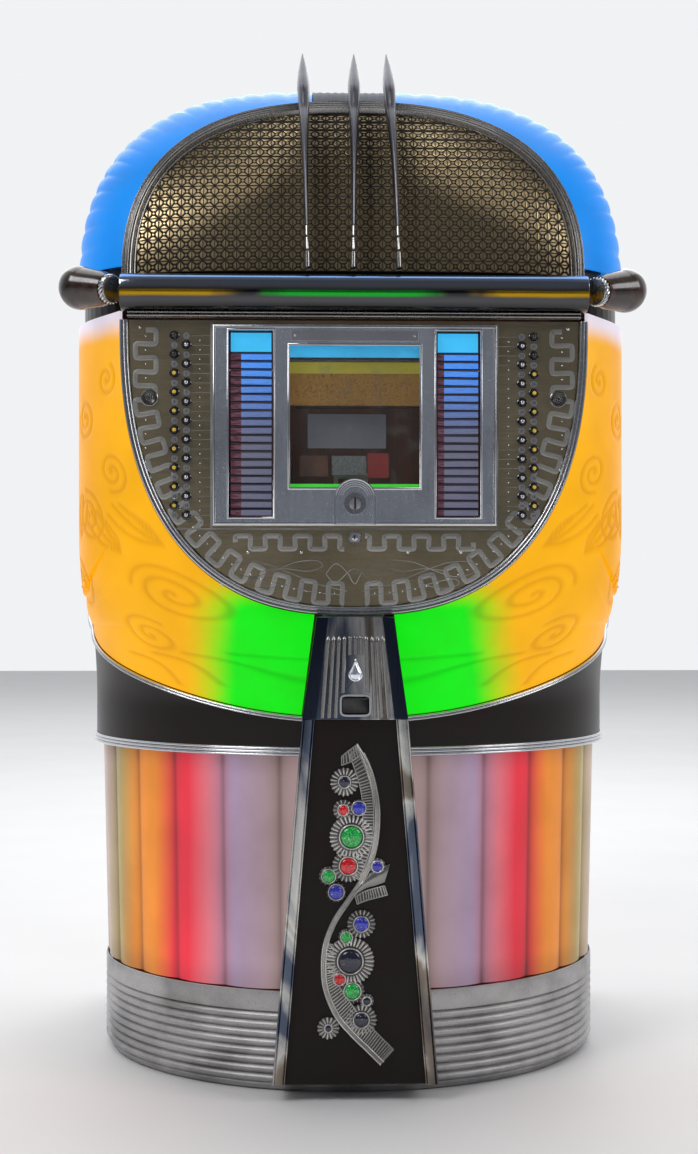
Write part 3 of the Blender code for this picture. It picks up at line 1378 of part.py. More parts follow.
def build_lower_works():
    """Amplifier, drive motor, coin mechanism and cash box in the lower cabinet."""
    board = BASE_HEIGHT - 0.004 + TOUCH_GAP
    amp_back = AMPLIFIER_BACK_Y
    amp = box("amplifier", (-0.300, amp_back - 0.190, board), (0.020, amp_back, board + AMPLIFIER_HEIGHT),
              STEEL)
    row_y = amp_back - 0.140
    for number, x in enumerate(VALVE_X):
        tube = drum("valve_{}".format(number), VALVE_R, (x, row_y, board + 0.05), (x, row_y, board + 0.165),
                    2, GLASS, 14, cutters)
        join(amp, tube)
    iron = box("transformer", (-0.060, amp_back - 0.150, board + 0.05),
               (0.000, amp_back - 0.050, board + 0.150), STEEL, target=cutters)
    join(amp, iron)
    motor_floor = SHELF_Z - SHELF_THICK - TOUCH_GAP
    axis_z = motor_floor - MOTOR_DROP
    motor = drum("drive_motor", MOTOR_R, (0.060, MOTOR_Y, axis_z), (0.190, MOTOR_Y, axis_z), 0, STEEL, 20)
    foot = box("motor_foot", (0.085, MOTOR_Y - 0.030, axis_z + 0.002),
               (0.165, MOTOR_Y + 0.030, motor_floor), STEEL, target=cutters)
    join(motor, foot)
    box("coin_mechanism", (-0.050, -0.290, 0.660), (0.050, -0.215, 0.790), STEEL, 0.004)
    cash = box("cash_box", (-0.075, -0.290, board), (0.075, -0.130, board + 0.120), STEEL)
    hollow = box("cash_hollow", (-0.072, -0.287, board + 0.003), (0.072, -0.133, board + 0.200), STEEL,
                 target=cutters)
    cut(cash, hollow)


def centre_model():
    """Hang every piece on one empty that puts the origin in the middle of the plan."""
    front = HEAD_FACE_Y - RUN_GAP - LEVER_PROUD
    back = CABINET_DEPTH + TOUCH_GAP + LOCK_KNOB
    hanger = bpy.data.objects.new(MODEL + "_origin", None)
    parts.objects.link(hanger)
    for obj in list(parts.objects) + list(cutters.objects):
        if obj is not hanger and obj.parent is None:
            obj.parent = hanger
    hanger.location.y = -(front + back) / 2


def main():
    """Build every piece of the jukebox."""
    build_base()
    build_lower_plastics()
    build_waist()
    build_upper_plastics()
    build_shoulder()
    build_dome()
    build_grille()
    build_fins()
    build_visor()
    build_door()
    build_pillar()
    build_pillar_head()
    build_ornament()
    build_cabinet()
    build_speaker()
    build_mechanism()
    centre_model()


main()
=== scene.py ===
"""Looks of a lit-up 1940s jukebox, built round its packed working model.

Units are metres.  +Z is up, +X is to the right of someone facing the machine,
and the machine faces -Y.  Every piece is made in place, so its object stays at
the origin, and its materials read plain object coordinates.
"""

import json
import math
import random

import bmesh
import bpy
import numpy as np
from bpy.props import FloatProperty, FloatVectorProperty, IntProperty, PointerProperty
from mathutils import Matrix, Vector


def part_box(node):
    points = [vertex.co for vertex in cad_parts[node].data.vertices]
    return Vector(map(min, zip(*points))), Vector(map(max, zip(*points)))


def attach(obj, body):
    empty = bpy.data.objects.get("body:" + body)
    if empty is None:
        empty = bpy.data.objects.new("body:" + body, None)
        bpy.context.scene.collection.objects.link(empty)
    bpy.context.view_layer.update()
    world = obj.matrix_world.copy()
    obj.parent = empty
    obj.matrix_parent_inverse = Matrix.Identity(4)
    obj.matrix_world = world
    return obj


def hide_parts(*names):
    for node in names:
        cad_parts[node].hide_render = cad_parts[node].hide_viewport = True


bl_info = {
    "name": "Lit Jukebox Pieces",
    "version": (1, 0, 0),
    "blender": (4, 5, 0),
    "location": "View3D > Sidebar > Jukebox",
    "description": "Builds the visible pieces of a jukebox round its working frame",
    "category": "Object",
}

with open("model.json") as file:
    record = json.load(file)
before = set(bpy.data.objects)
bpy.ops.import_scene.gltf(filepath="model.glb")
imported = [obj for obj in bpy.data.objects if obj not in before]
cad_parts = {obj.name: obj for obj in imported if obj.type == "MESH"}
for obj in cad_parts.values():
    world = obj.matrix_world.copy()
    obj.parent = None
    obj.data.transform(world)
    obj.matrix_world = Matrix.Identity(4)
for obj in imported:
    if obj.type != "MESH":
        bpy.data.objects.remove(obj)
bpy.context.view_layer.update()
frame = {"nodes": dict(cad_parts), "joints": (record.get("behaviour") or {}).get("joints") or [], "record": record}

# Sizes that the working model sets.
JOINT_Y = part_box("shoulder_rail")[1].y       # where the rounded front meets the straight cabinet
CABINET_BACK_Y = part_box("back_panel")[1].y
BODY_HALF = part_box("upper_plastic_right")[1].x
BASE_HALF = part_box("base_casting")[1].x
BASE_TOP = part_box("base_casting")[1].z
TRIM_PROUD = 0.004
WAIST_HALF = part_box("waist_trim")[1].x - TRIM_PROUD
LOWER_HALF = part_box("lower_plastic_right")[1].x
RAIL_INSET = 0.010
FRONT_DEPTH = JOINT_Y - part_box("shoulder_rail")[0].y + RAIL_INSET
WAIST_BOTTOM = (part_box("waist_trim")[0].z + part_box("waist_trim")[1].z) / 2
DOOR_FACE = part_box("selector_panel")[0].y
DOOR_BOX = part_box("door_trim")
ARCH_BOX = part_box("dome_frame")
BEZEL_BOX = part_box("bezel_frame")
VISOR_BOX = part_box("visor_bar")
HEAD_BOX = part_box("pillar_head")
STRIP_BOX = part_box("pillar_strip_right")

# The body's outer form, as the working model has it.
WAIST_TOP_FRONT = 0.603
WAIST_TOP_SLOPE = 0.545
BULGE_START, BULGE_END = 0.750, 0.870
SQUARE_START, SQUARE_END = 0.620, 0.920
SHOULDER = 1.310
DOME_RISE = 0.395
PLAN_ROUND, PLAN_SQUARE = 2.0, 4.0
DOME_FRONT_POWER, DOME_SIDE_POWER = 2.6, 2.0
DOOR_POWER, ARCH_POWER = 2.5, 2.35
DOOR_TRIM_WIDTH = 0.014
ARCH_WIDTH = 0.024
CREST_HALF = 0.068
PILLAR_TOP_HALF, PILLAR_JOINT_HALF = 0.061, 0.084
SEAM = 0.0015
WALL = 0.005

# Selector buttons.
ROWS = 20
STRIP_LAMP = 0.032           # height of the lit blue space above the title strips
BUTTON_TOP, BUTTON_PITCH = 1.213, 0.01505
BUTTON_INNER_X, BUTTON_OUTER_X = 0.268, 0.287

BODY_OF = {node: body for body, nodes in frame["record"]["behaviour"]["bodies"].items() for node in nodes}


# ---------------------------------------------------------------------------
# Settings that a user would change
# ---------------------------------------------------------------------------

def colour_of(name, text, red, green, blue):
    """A colour property, given as the 0 to 255 values of a colour picker."""
    picked = tuple((value / 255) ** 2.2 for value in (red, green, blue))
    return FloatVectorProperty(name=name, description=text, default=picked, size=3, min=0.0, max=1.0,
                               subtype="COLOR")


def length_of(name, text, default):
    """A length property in metres."""
    return FloatProperty(name=name, description=text, default=default, min=0.0, unit="LENGTH")


class JukeboxColours(bpy.types.PropertyGroup):
    """Colours of the lit plastics, the metals and the jewels."""

    dome: colour_of("Dome", "Glow of the dome plastics", 0, 140, 242)
    crown: colour_of("Crown", "Pale glow at the top of the upper plastics", 232, 222, 236)
    amber: colour_of("Amber", "Glow of the upper plastics", 255, 180, 4)
    green: colour_of("Green", "Glow below the selector door", 10, 240, 20)
    edge: colour_of("Edge", "Dimmer amber near the outer edges", 235, 150, 10)
    flute_outer: colour_of("Outer flute", "Glow of the outermost lower flute", 196, 176, 168)
    flute_olive: colour_of("Olive flute", "Glow of the second lower flute", 178, 158, 98)
    flute_orange: colour_of("Orange flute", "Glow of the third lower flute", 250, 150, 58)
    flute_red: colour_of("Red flute", "Glow of the fourth lower flute", 250, 58, 76)
    flute_pink: colour_of("Pink flute", "Glow between the red flute and the mauve one", 236, 120, 132)
    flute_mauve: colour_of("Mauve flute", "Glow of the fifth lower flute", 176, 152, 182)
    flute_inner: colour_of("Inner flute", "Glow of the innermost lower flute", 176, 150, 150)
    bronze: colour_of("Bronze", "Pressed metal of the speaker grille", 150, 134, 104)
    panel: colour_of("Panel", "Brushed plate of the selector door", 138, 128, 106)
    band: colour_of("Band", "Dark enamel of the waist and the pillar", 26, 16, 13)
    wood: colour_of("Wood", "Stain of the cabinet", 74, 42, 24)


class JukeboxSizes(bpy.types.PropertyGroup):
    """Sizes and counts of the decoration."""

    base_ribs: IntProperty(name="Base ribs", description="Ribs round the cast base", default=8, min=2, max=20)
    flutes: IntProperty(name="Flutes", description="Flutes in each lower plastic", default=6, min=2, max=12)
    flute_depth: length_of("Flute depth", "Depth of the grooves between the flutes", 0.006)
    lattice_pitch: length_of("Lattice pitch", "Spacing of the grille's pressed squares", 0.0180)
    relief: length_of("Relief", "Depth of the scrolls pressed into the upper plastics", 0.0024)
    scallop: length_of("Scallop", "Depth of the dome plastics' scalloped edge", 0.0045)
    scallops: IntProperty(name="Scallops", description="Scallops along each dome plastic", default=17, min=3,
                          max=60)
    meander_width: length_of("Meander width", "Width of the winding inlay on the door", 0.008)
    glow: FloatProperty(name="Glow", description="Strength of the light in the plastics", default=0.80,
                        min=0.0, max=5.0)


# ---------------------------------------------------------------------------
# Node trees: one method makes every node, and numbers are written as maths
# ---------------------------------------------------------------------------

class Wiring:
    """A node tree being wired up."""

    def __init__(self, tree):
        self.tree = tree
        tree.nodes.clear()

    def node(self, kind, settings, inputs):
        """A node of a kind, with its settings made first and then its inputs filled or linked."""
        made = self.tree.nodes.new(kind)
        for key, value in settings.items():
            if key == "stops":
                set_stops(made.color_ramp, value)
            else:
                setattr(made, key, value)
        for key, value in inputs.items():
            source = value.socket if isinstance(value, Number) else value
            if isinstance(source, bpy.types.NodeSocket):
                self.tree.links.new(source, made.inputs[key])
            else:
                made.inputs[key].default_value = source
        return made


def set_stops(ramp, stops):
    """Give a colour ramp its (position, colour) stops."""
    while len(ramp.elements) > 1:
        ramp.elements.remove(ramp.elements[-1])
    ramp.elements[0].position, ramp.elements[0].color = stops[0][0], opaque(stops[0][1])
    for position, colour in stops[1:]:
        ramp.elements.new(position).color = opaque(colour)


def opaque(colour):
    """A colour with its fourth value."""
    return (*tuple(colour)[:3], 1.0)


class Number:
    """A number socket, so that the maths of a material reads as an expression."""

    def __init__(self, wiring, socket):
        self.wiring = wiring
        self.socket = socket

    def maths(self, operation, *values):
        """One Math node on some values."""
        made = self.wiring.node("ShaderNodeMath", {"operation": operation}, dict(enumerate(values)))
        return Number(self.wiring, made.outputs[0])

    def __add__(self, other):
        return self.maths("ADD", self, other)

    def __radd__(self, other):
        return self.maths("ADD", other, self)

    def __sub__(self, other):
        return self.maths("SUBTRACT", self, other)

    def __rsub__(self, other):
        return self.maths("SUBTRACT", other, self)

    def __mul__(self, other):
        return self.maths("MULTIPLY", self, other)

    def __rmul__(self, other):
        return self.maths("MULTIPLY", other, self)

    def __truediv__(self, other):
        return self.maths("DIVIDE", self, other)

    def __abs__(self):
        return self.maths("ABSOLUTE", self)

    def sine(self):
        """The sine of this number, in radians."""
        return self.maths("SINE", self)

    def rise(self, low, high):
        """0 below low, 1 above high, and smooth between; high may be the lower one."""
        settings = {"interpolation_type": "SMOOTHSTEP", "clamp": True}
        made = self.wiring.node("ShaderNodeMapRange", settings, {0: self, 1: low, 2: high, 3: 0.0, 4: 1.0})
        return Number(self.wiring, made.outputs[0])


class Shade(Wiring):
    """A material being wired up round one Principled shader."""

    def __init__(self, name, **sockets):
        self.material = bpy.data.materials.new(name)
        self.material.use_nodes = True
        super().__init__(self.material.node_tree)
        values = {key.replace("_", " "): value for key, value in sockets.items()}
        self.shader = self.node("ShaderNodeBsdfPrincipled", {}, values)
        self.node("ShaderNodeOutputMaterial", {}, {0: self.shader.outputs[0]})
        self.spot = self.node("ShaderNodeTexCoord", {}, {}).outputs["Object"]

    def feed(self, socket, value):
        """Link a value that changes over the surface to one of the shader's sockets."""
        source = value.socket if isinstance(value, Number) else value
        self.tree.links.new(source, self.shader.inputs[socket])

    def place(self):
        """The x, y and z of the point being shaded."""
        parted = self.node("ShaderNodeSeparateXYZ", {}, {0: self.spot})
        return [Number(self, parted.outputs[k]) for k in range(3)]

    def noise(self, scale, detail=3.0, stretch=(1.0, 1.0, 1.0), distortion=0.0):
        """Soft noise from 0 to 1; stretch gives finer noise along an axis."""
        moved = self.node("ShaderNodeMapping", {}, {"Vector": self.spot, "Scale": stretch})
        inputs = {"Vector": moved.outputs[0], "Scale": scale, "Detail": detail, "Distortion": distortion}
        return Number(self, self.node("ShaderNodeTexNoise", {}, inputs).outputs["Fac"])

    def cells(self, scale):
        """Distance to the nearest of many scattered points."""
        made = self.node("ShaderNodeTexVoronoi", {}, {"Vector": self.spot, "Scale": scale})
        return Number(self, made.outputs["Distance"])

    def attribute(self, name):
        """A number stored on the piece's own vertices."""
        made = self.node("ShaderNodeAttribute", {"attribute_name": name}, {})
        return Number(self, made.outputs["Fac"])

    def mix(self, share, first, second, blend="MIX"):
        """A colour between two colours."""
        colours = [opaque(c) if isinstance(c, (tuple, list)) else c for c in (first, second)]
        settings = {"data_type": "RGBA", "blend_type": blend}
        made = self.node("ShaderNodeMix", settings, {0: share, 6: colours[0], 7: colours[1]})
        return made.outputs[2]

    def ramp(self, share, stops):
        """A colour from a ramp of (position, colour) stops."""
        return self.node("ShaderNodeValToRGB", {"stops": stops}, {0: share}).outputs[0]

    def bump(self, height, distance, strength=1.0):
        """Small surface relief."""
        made = self.node("ShaderNodeBump", {}, {"Strength": strength, "Distance": distance, "Height": height})
        self.feed("Normal", made.outputs[0])


# ---------------------------------------------------------------------------
# Finishes
# ---------------------------------------------------------------------------

def tinted(colour, factor):
    """A colour made lighter or darker."""
    return tuple(min(max(value * factor, 0.0), 1.0) for value in tuple(colour)[:3])


def plated(name, colour, roughness=0.10, tarnish=0.35):
    """Polished plating with fine scratches, soft tarnish and a slightly uneven surface."""
    shade = Shade(name, Metallic=1.0)
    cloud = shade.noise(9.0, 5.0)
    scratch = shade.noise(240.0, 2.0, (1.0, 1.0, 0.06))
    spots = shade.noise(900.0, 1.0)
    dull = cloud.rise(0.45, 0.75) * tarnish
    shade.feed("Base Color", shade.mix(dull, tinted(colour, 1.0), tinted(colour, 0.55)))
    shade.feed("Roughness", cloud * 0.10 + scratch * 0.08 + spots.rise(0.66, 0.80) * 0.25 + roughness)
    shade.bump(scratch, 0.00006, 0.35)
    return shade.material


def pillar_chrome(name):
    """The pillar's plating: painted reflections as navy, brown and pale grey streaks, and painted shade on the
    head's flanks.
    """
    shade = Shade(name, Metallic=1.0)
    x, _, z = shade.place()
    reflection_streak = shade.noise(7.0, 4.0, (1.6, 1.0, 0.55), 0.8)
    scratch = shade.noise(260.0, 2.0, (1.0, 1.0, 0.05))
    # painted reflections: navy, brown and pale grey streaks stand for the room seen in the plating
    tone = shade.ramp(reflection_streak, [
        (0.0, (0.03, 0.03, 0.05)), (0.40, (0.10, 0.12, 0.17)), (0.47, (0.42, 0.42, 0.42)),
        (0.54, (0.62, 0.61, 0.58)),
        (0.60, (0.26, 0.22, 0.18)), (0.70, (0.12, 0.11, 0.11)),
    ])
    # painted shade on the head's flanks, outside a line that narrows towards its top
    edge = 0.84 * (PILLAR_JOINT_HALF + (z - HEAD_BOX[0].z) * (
        (PILLAR_TOP_HALF - PILLAR_JOINT_HALF) / (HEAD_BOX[1].z - HEAD_BOX[0].z)))
    painted_flank_shade = (abs(x) - edge).rise(-0.010, -0.008) * z.rise(HEAD_BOX[0].z, HEAD_BOX[0].z + 0.001)
    shade.feed("Base Color", shade.mix(painted_flank_shade, tone, (0.035, 0.045, 0.075)))
    shade.feed("Roughness", 0.12 + scratch * 0.14)
    shade.bump(scratch, 0.00006, 0.35)
    return shade.material


def visor_chrome(name):
    """The visor's plating, with painted reflections: blue of the dome above, dark along the middle, amber and
    green from below.
    """
    shade = Shade(name, Metallic=1.0)
    x, _, z = shade.place()
    cloud = shade.noise(11.0, 4.0)
    scratch = shade.noise(260.0, 2.0, (1.0, 1.0, 0.05))
    low, high = VISOR_BOX[0].z, VISOR_BOX[1].z
    share = (z - low) / (high - low) + (cloud - 0.5) * 0.05
    # painted reflections and highlight lines in bands from the foot of the visor to its top
    upper = shade.ramp(share, [
        (0.0, (0.16, 0.16, 0.15)), (0.14, (0.30, 0.30, 0.29)), (0.20, (0.05, 0.05, 0.05)),
        (0.42, (0.10, 0.10, 0.11)),
        (0.56, (0.02, 0.02, 0.02)), (0.66, (0.22, 0.23, 0.25)), (0.80, (0.30, 0.34, 0.42)),
        (0.93, (0.04, 0.16, 0.42)),
        (1.0, (0.30, 0.40, 0.55)),
    ])
    # painted reflections of the green and amber plastics below
    sides = shade.mix((abs(x) + (cloud - 0.5) * 0.1).rise(0.12, 0.20), (0.03, 0.70, 0.06), (0.80, 0.46, 0.02))
    # painted reflection of the glow below, in a band along the middle
    faint = abs(x) - 0.16 + (cloud - 0.5) * 0.16
    lit = share.rise(0.40, 0.48) * (1.0 - share.rise(0.54, 0.60)) * abs(faint).rise(0.01, 0.07)
    shade.feed("Base Color", shade.mix(lit, upper, sides))
    shade.feed("Roughness", 0.09 + scratch * 0.12)
    shade.bump(scratch, 0.00006, 0.3)
    return shade.material


def brushed_panel(name, colour):
    """Door plate: metal brushed from side to side, darkened with age."""
    shade = Shade(name, Metallic=0.85)
    brush = shade.noise(60.0, 4.0, (0.5, 1.0, 14.0))
    cloud = shade.noise(7.0, 4.0)
    speck = shade.noise(420.0, 2.0)
    first = shade.mix(brush, tinted(colour, 0.72), tinted(colour, 1.25))
    second = shade.mix(cloud.rise(0.35, 0.7) * 0.55, first, tinted(colour, 0.50))
    shade.feed("Base Color", shade.mix(speck.rise(0.62, 0.76) * 0.5, second, (0.02, 0.017, 0.012)))
    shade.feed("Roughness", 0.30 + brush * 0.25)
    shade.bump(brush, 0.0001, 0.4)
    return shade.material


def enamel(name, colour, roughness=0.24, coat=0.35):
    """Dark glossy enamel over metal, with dust, ripples and rubbed spots."""
    shade = Shade(name, Coat_Roughness=0.12, Specular_IOR_Level=0.25)
    cloud = shade.noise(14.0, 5.0)
    dust = shade.noise(320.0, 3.0)
    shade.feed("Base Color", shade.mix(cloud.rise(0.3, 0.8), tinted(colour, 0.7), tinted(colour, 1.9)))
    shade.feed("Roughness", roughness + dust * 0.18)
    shade.feed("Coat Weight", coat - cloud * 0.3)
    shade.bump(dust, 0.00008, 0.3)
    return shade.material


def cast_metal(name, colour, roughness=0.38, grain=0.0004):
    """Sand-cast aluminium: grainy, with darker hollows."""
    shade = Shade(name, Metallic=0.95)
    cloud = shade.noise(11.0, 5.0)
    grit = shade.noise(520.0, 4.0)
    base = shade.mix(cloud.rise(0.35, 0.75), tinted(colour, 1.15), tinted(colour, 0.62))
    shade.feed("Base Color", shade.mix(grit.rise(0.55, 0.75) * 0.5, base, tinted(colour, 0.35)))
    shade.feed("Roughness", roughness + grit * 0.2)
    shade.bump(grit, grain, 0.5)
    return shade.material


def lit_plastic(name, colours, strength, paint):
    """Translucent plastic lit from behind; paint gives its glow from the shade and the colours."""
    shade = Shade(name, Emission_Strength=strength, IOR=1.25, Specular_IOR_Level=0.35)
    glow = paint(shade, colours)
    cloud = shade.noise(13.0, 4.0)
    haze = shade.noise(90.0, 2.0)
    glow = shade.mix(cloud.rise(0.35, 0.75) * 0.10, glow, (0.05, 0.02, 0.0))
    shade.feed("Emission Color", glow)
    shade.feed("Base Color", shade.mix(0.72, glow, (0.02, 0.02, 0.02)))
    shade.feed("Roughness", 0.24 + haze * 0.18)
    shade.bump(haze, 0.0002, 0.25)
    return shade.material


def paint_dome(shade, colours):
    """Even blue, with painted shade making it a little deeper in the scallops."""
    # painted shade in the scallops' hollows
    fold = shade.attribute("fold")
    return shade.mix(fold * 0.30, tuple(colours.dome), tinted(colours.dome, 0.55))


def paint_upper(shade, colours):
    """Pale at the top, amber down the sides and green round the pillar, with painted shade along the pressed
    scrolls.
    """
    x, _, z = shade.place()
    wisp = shade.noise(6.0, 4.0) - 0.5
    pale = (z + wisp * 0.03).rise(1.205, 1.248)
    low = 1.0 - (z + wisp * 0.02).rise(0.775, 0.850)
    near = 1.0 - (abs(x) + wisp * 0.05 + (z - 0.62) * 0.10).rise(0.190, 0.290)
    warm = shade.mix((abs(x) - 0.36).rise(0.0, 0.12) * 0.6, tuple(colours.amber), tuple(colours.edge))
    glow = shade.mix(near * low, warm, tuple(colours.green))
    glow = shade.mix(pale, glow, tuple(colours.crown))
    # painted shade along the pressed scroll lines
    line = shade.attribute("relief")
    painted_line_shade = shade.mix(1.0, glow, (0.70, 0.60, 0.55), "MULTIPLY")
    return shade.mix(line * 0.55, glow, painted_line_shade)


def paint_flutes(shade, colours):
    """Each lower flute has its own colour, with painted shade towards its grooves and its ends."""
    x, _, z = shade.place()
    drift = shade.noise(3.0, 2.0, (1.0, 1.0, 0.6)) - 0.5
    stops = [(share, tuple(getattr(colours, "flute_" + name))) for share, name in (
        (0.28, "inner"), (0.44, "mauve"), (0.54, "pink"), (0.61, "red"), (0.66, "red"), (0.74, "orange"),
        (0.81, "orange"), (0.89, "olive"), (0.97, "outer"))]
    glow = shade.ramp(abs(x) / LOWER_HALF + drift * 0.06, stops)
    # painted shade in the grooves between the flutes
    groove = shade.attribute("fold")
    # painted shade towards the ends, next to the base and the waist
    ends = (z - BASE_TOP).rise(0.05, 0.0) * 0.22 + (z - WAIST_BOTTOM).rise(-0.05, 0.0) * 0.22
    smoke = shade.noise(5.0, 3.0, (1.0, 1.0, 0.4)).rise(0.35, 0.7) * 0.25
    return shade.mix(groove * 0.45 + ends + smoke, glow, (0.06, 0.03, 0.03))


def stained_wood(name, colour):
    """Varnished veneer with upright grain."""
    shade = Shade(name, Coat_Weight=0.35, Coat_Roughness=0.18)
    bend = shade.noise(3.0, 3.0)
    grain = shade.noise(26.0, 6.0, (1.0, 1.0, 0.05), 0.6)
    pore = shade.noise(260.0, 2.0, (1.0, 1.0, 0.03))
    tone = shade.mix((grain + bend * 0.3).rise(0.35, 0.9), tinted(colour, 0.55), tinted(colour, 1.7))
    shade.feed("Base Color", shade.mix(pore.rise(0.58, 0.70) * 0.7, tone, tinted(colour, 0.25)))
    shade.feed("Roughness", 0.34 + pore * 0.22)
    shade.bump(pore + grain * 0.5, 0.0002, 0.35)
    return shade.material


def bakelite(name, colour=(0.010, 0.009, 0.008), roughness=0.25):
    """Moulded black or brown resin with faint swirls and handling marks."""
    shade = Shade(name, Coat_Roughness=0.05)
    swirl = shade.noise(30.0, 5.0, distortion=1.2)
    mark = shade.noise(160.0, 3.0)
    shade.feed("Base Color", shade.mix(swirl.rise(0.35, 0.7), tinted(colour, 0.6), tinted(colour, 2.4)))
    shade.feed("Roughness", roughness + mark * 0.2)
    shade.feed("Coat Weight", 0.8 - mark * 0.5)
    shade.bump(mark, 0.00005, 0.3)
    return shade.material


def jewel_painted_glow(name, colour, strength=0.35):
    """Coloured glass cabochon over foil: crackled depth, a wet surface and a painted glow."""
    shade = Shade(name, Emission_Strength=strength, Coat_Weight=1.0, Coat_Roughness=0.02)
    depth = shade.cells(420.0)
    vein = shade.noise(350.0, 3.0)
    tone = shade.mix(depth.rise(0.1, 0.7), tinted(colour, 1.0), tinted(colour, 0.35))
    tone = shade.mix(vein.rise(0.62, 0.72) * 0.4, tone, (0.9, 0.9, 0.95))
    shade.feed("Base Color", tone)
    # painted glow: the stone gives off its own colour as light
    shade.feed("Emission Color", tone)
    shade.feed("Roughness", 0.05 + vein * 0.08)
    shade.bump(depth, 0.0004, 0.4)
    return shade.material


def cast_bronze(name, colour):
    """Pressed grille metal, with a painted highlight in a bright sweep across each side."""
    shade = Shade(name, Metallic=0.9)
    x, _, z = shade.place()
    # painted highlight: a bright band slanting across each side of the grille
    sweep = abs(x) * 0.62 + z + (shade.noise(3.5, 2.0) - 0.5) * 0.08
    painted_highlight = sweep.rise(1.52, 1.59) * (1.0 - sweep.rise(1.61, 1.70)) * abs(x).rise(0.06, 0.14)
    grit = shade.noise(700.0, 2.0)
    base = shade.mix(painted_highlight, tinted(colour, 0.70), tinted(colour, 2.0))
    shade.feed("Base Color", shade.mix(grit.rise(0.5, 0.8) * 0.4, base, tinted(colour, 0.4)))
    shade.feed("Roughness", 0.32 + grit * 0.2)
    shade.bump(grit, 0.0001, 0.3)
    return shade.material


def gap_shade_sheet(name):
    """Painted shade between the grille's pressed squares: a near-black sheet with a woven texture."""
    shade = Shade(name, Roughness=0.9)
    x, _, z = shade.place()
    weave = (x * 5200.0).sine() * (z * 5200.0).sine()
    # painted shade: near-black, for the dark between the pressed squares
    tone = shade.mix(weave.rise(-0.6, 0.6), (0.006, 0.004, 0.003), (0.030, 0.022, 0.014))
    shade.feed("Base Color", tone)
    shade.bump(weave, 0.0002, 0.4)
    return shade.material


def strip_paper(name):
    """Title strips: a red tab, pale paper, painted blue light at the top that fades downwards, and a painted glow
    over all.
    """
    shade = Shade(name, Roughness=0.7, Emission_Strength=0.75)
    _, _, z = shade.place()
    along = shade.attribute("along")
    tab = 1.0 - along.rise(0.25, 0.27)
    low, high = BEZEL_BOX[0].z, BEZEL_BOX[1].z
    # painted light: blue from the lamp above, fading downwards
    lit = ((z - low) / (high - low)).rise(0.40, 0.86)
    smudge = shade.noise(260.0, 3.0, (0.35, 1.0, 3.0))
    rule = (z * 2600.0).sine().rise(0.2, 0.9) * smudge.rise(0.42, 0.55) * along.rise(0.30, 0.36) * 0.55
    paper = shade.mix(lit, (0.12, 0.12, 0.18), (0.06, 0.28, 0.90))
    paper = shade.mix(rule, paper, (0.05, 0.06, 0.14))
    red = shade.mix(smudge.rise(0.4, 0.6) * 0.5, (0.05, 0.008, 0.018), (0.20, 0.09, 0.13))
    tone = shade.mix(tab, paper, red)
    shade.feed("Base Color", shade.mix(0.5, tone, (0.02, 0.02, 0.02)))
    # painted glow: the whole strip gives off its colour as light
    shade.feed("Emission Color", tone)
    return shade.material


def lit_band(name, colour, strength, speckle=0.3):
    """A lamp strip behind the window, or a screen, card or button tip given a painted glow, with specks."""
    shade = Shade(name, Roughness=0.5, Emission_Strength=strength)
    speck = shade.noise(420.0, 4.0)
    drift = shade.noise(12.0, 3.0)
    tone = shade.mix(speck.rise(0.45, 0.65) * speckle, tuple(colour), tinted(colour, 0.15))
    tone = shade.mix(drift.rise(0.4, 0.8) * 0.3, tone, tinted(colour, 0.45))
    shade.feed("Base Color", tone)
    shade.feed("Emission Color", tone)
    return shade.material


def clear_glass(name):
    """Thin window glass: mostly clear, with a light film of dust."""
    shade = Shade(name, Roughness=0.02, Specular_IOR_Level=0.5)
    film = shade.noise(40.0, 4.0)
    shade.feed("Base Color", shade.mix(film, (0.10, 0.12, 0.12), (0.25, 0.27, 0.27)))
    shade.feed("Alpha", 0.08 + film.rise(0.5, 0.8) * 0.10)
    return shade.material


def painted_steel(name, colour, roughness=0.45):
    """Hammer-finish paint on the works inside."""
    shade = Shade(name, Metallic=0.3)
    hammer = shade.cells(260.0)
    cloud = shade.noise(12.0, 3.0)
    shade.feed("Base Color", shade.mix(hammer.rise(0.1, 0.6), tinted(colour, 0.7), tinted(colour, 1.3)))
    shade.feed("Roughness", roughness + cloud * 0.15)
    shade.bump(hammer, 0.0004, 0.4)
    return shade.material


def record_shellac(name):
    """Record faces: fine grooves round each disc's axis and a paper label."""
    shade = Shade(name, Roughness=0.25)
    ring = shade.attribute("ring")
    groove = (ring * 900.0).sine()
    label = 1.0 - ring.rise(0.36, 0.37)
    smudge = shade.noise(70.0, 3.0)
    disc = shade.mix(smudge, (0.006, 0.006, 0.007), (0.018, 0.017, 0.016))
    shade.feed("Base Color", shade.mix(label, disc, (0.30, 0.04, 0.03)))
    shade.feed("Roughness", 0.22 + smudge * 0.15 + label * 0.3)
    shade.bump(groove, 0.0001, 0.4)
    return shade.material


def felt(name, colour=(0.03, 0.10, 0.05)):
    """Short-napped felt."""
    shade = Shade(name, Roughness=0.95, Sheen_Weight=0.4)
    nap = shade.noise(900.0, 4.0)
    shade.feed("Base Color", shade.mix(nap, tinted(colour, 0.6), tinted(colour, 1.7)))
    shade.bump(nap, 0.0006, 0.5)
    return shade.material


def paper_cone(name):
    """Pulp cone with pressed rings."""
    shade = Shade(name, Roughness=0.9)
    pulp = shade.noise(300.0, 5.0)
    shade.feed("Base Color", shade.mix(pulp, (0.016, 0.013, 0.010), (0.06, 0.05, 0.04)))
    shade.bump(pulp, 0.0006, 0.5)
    return shade.material


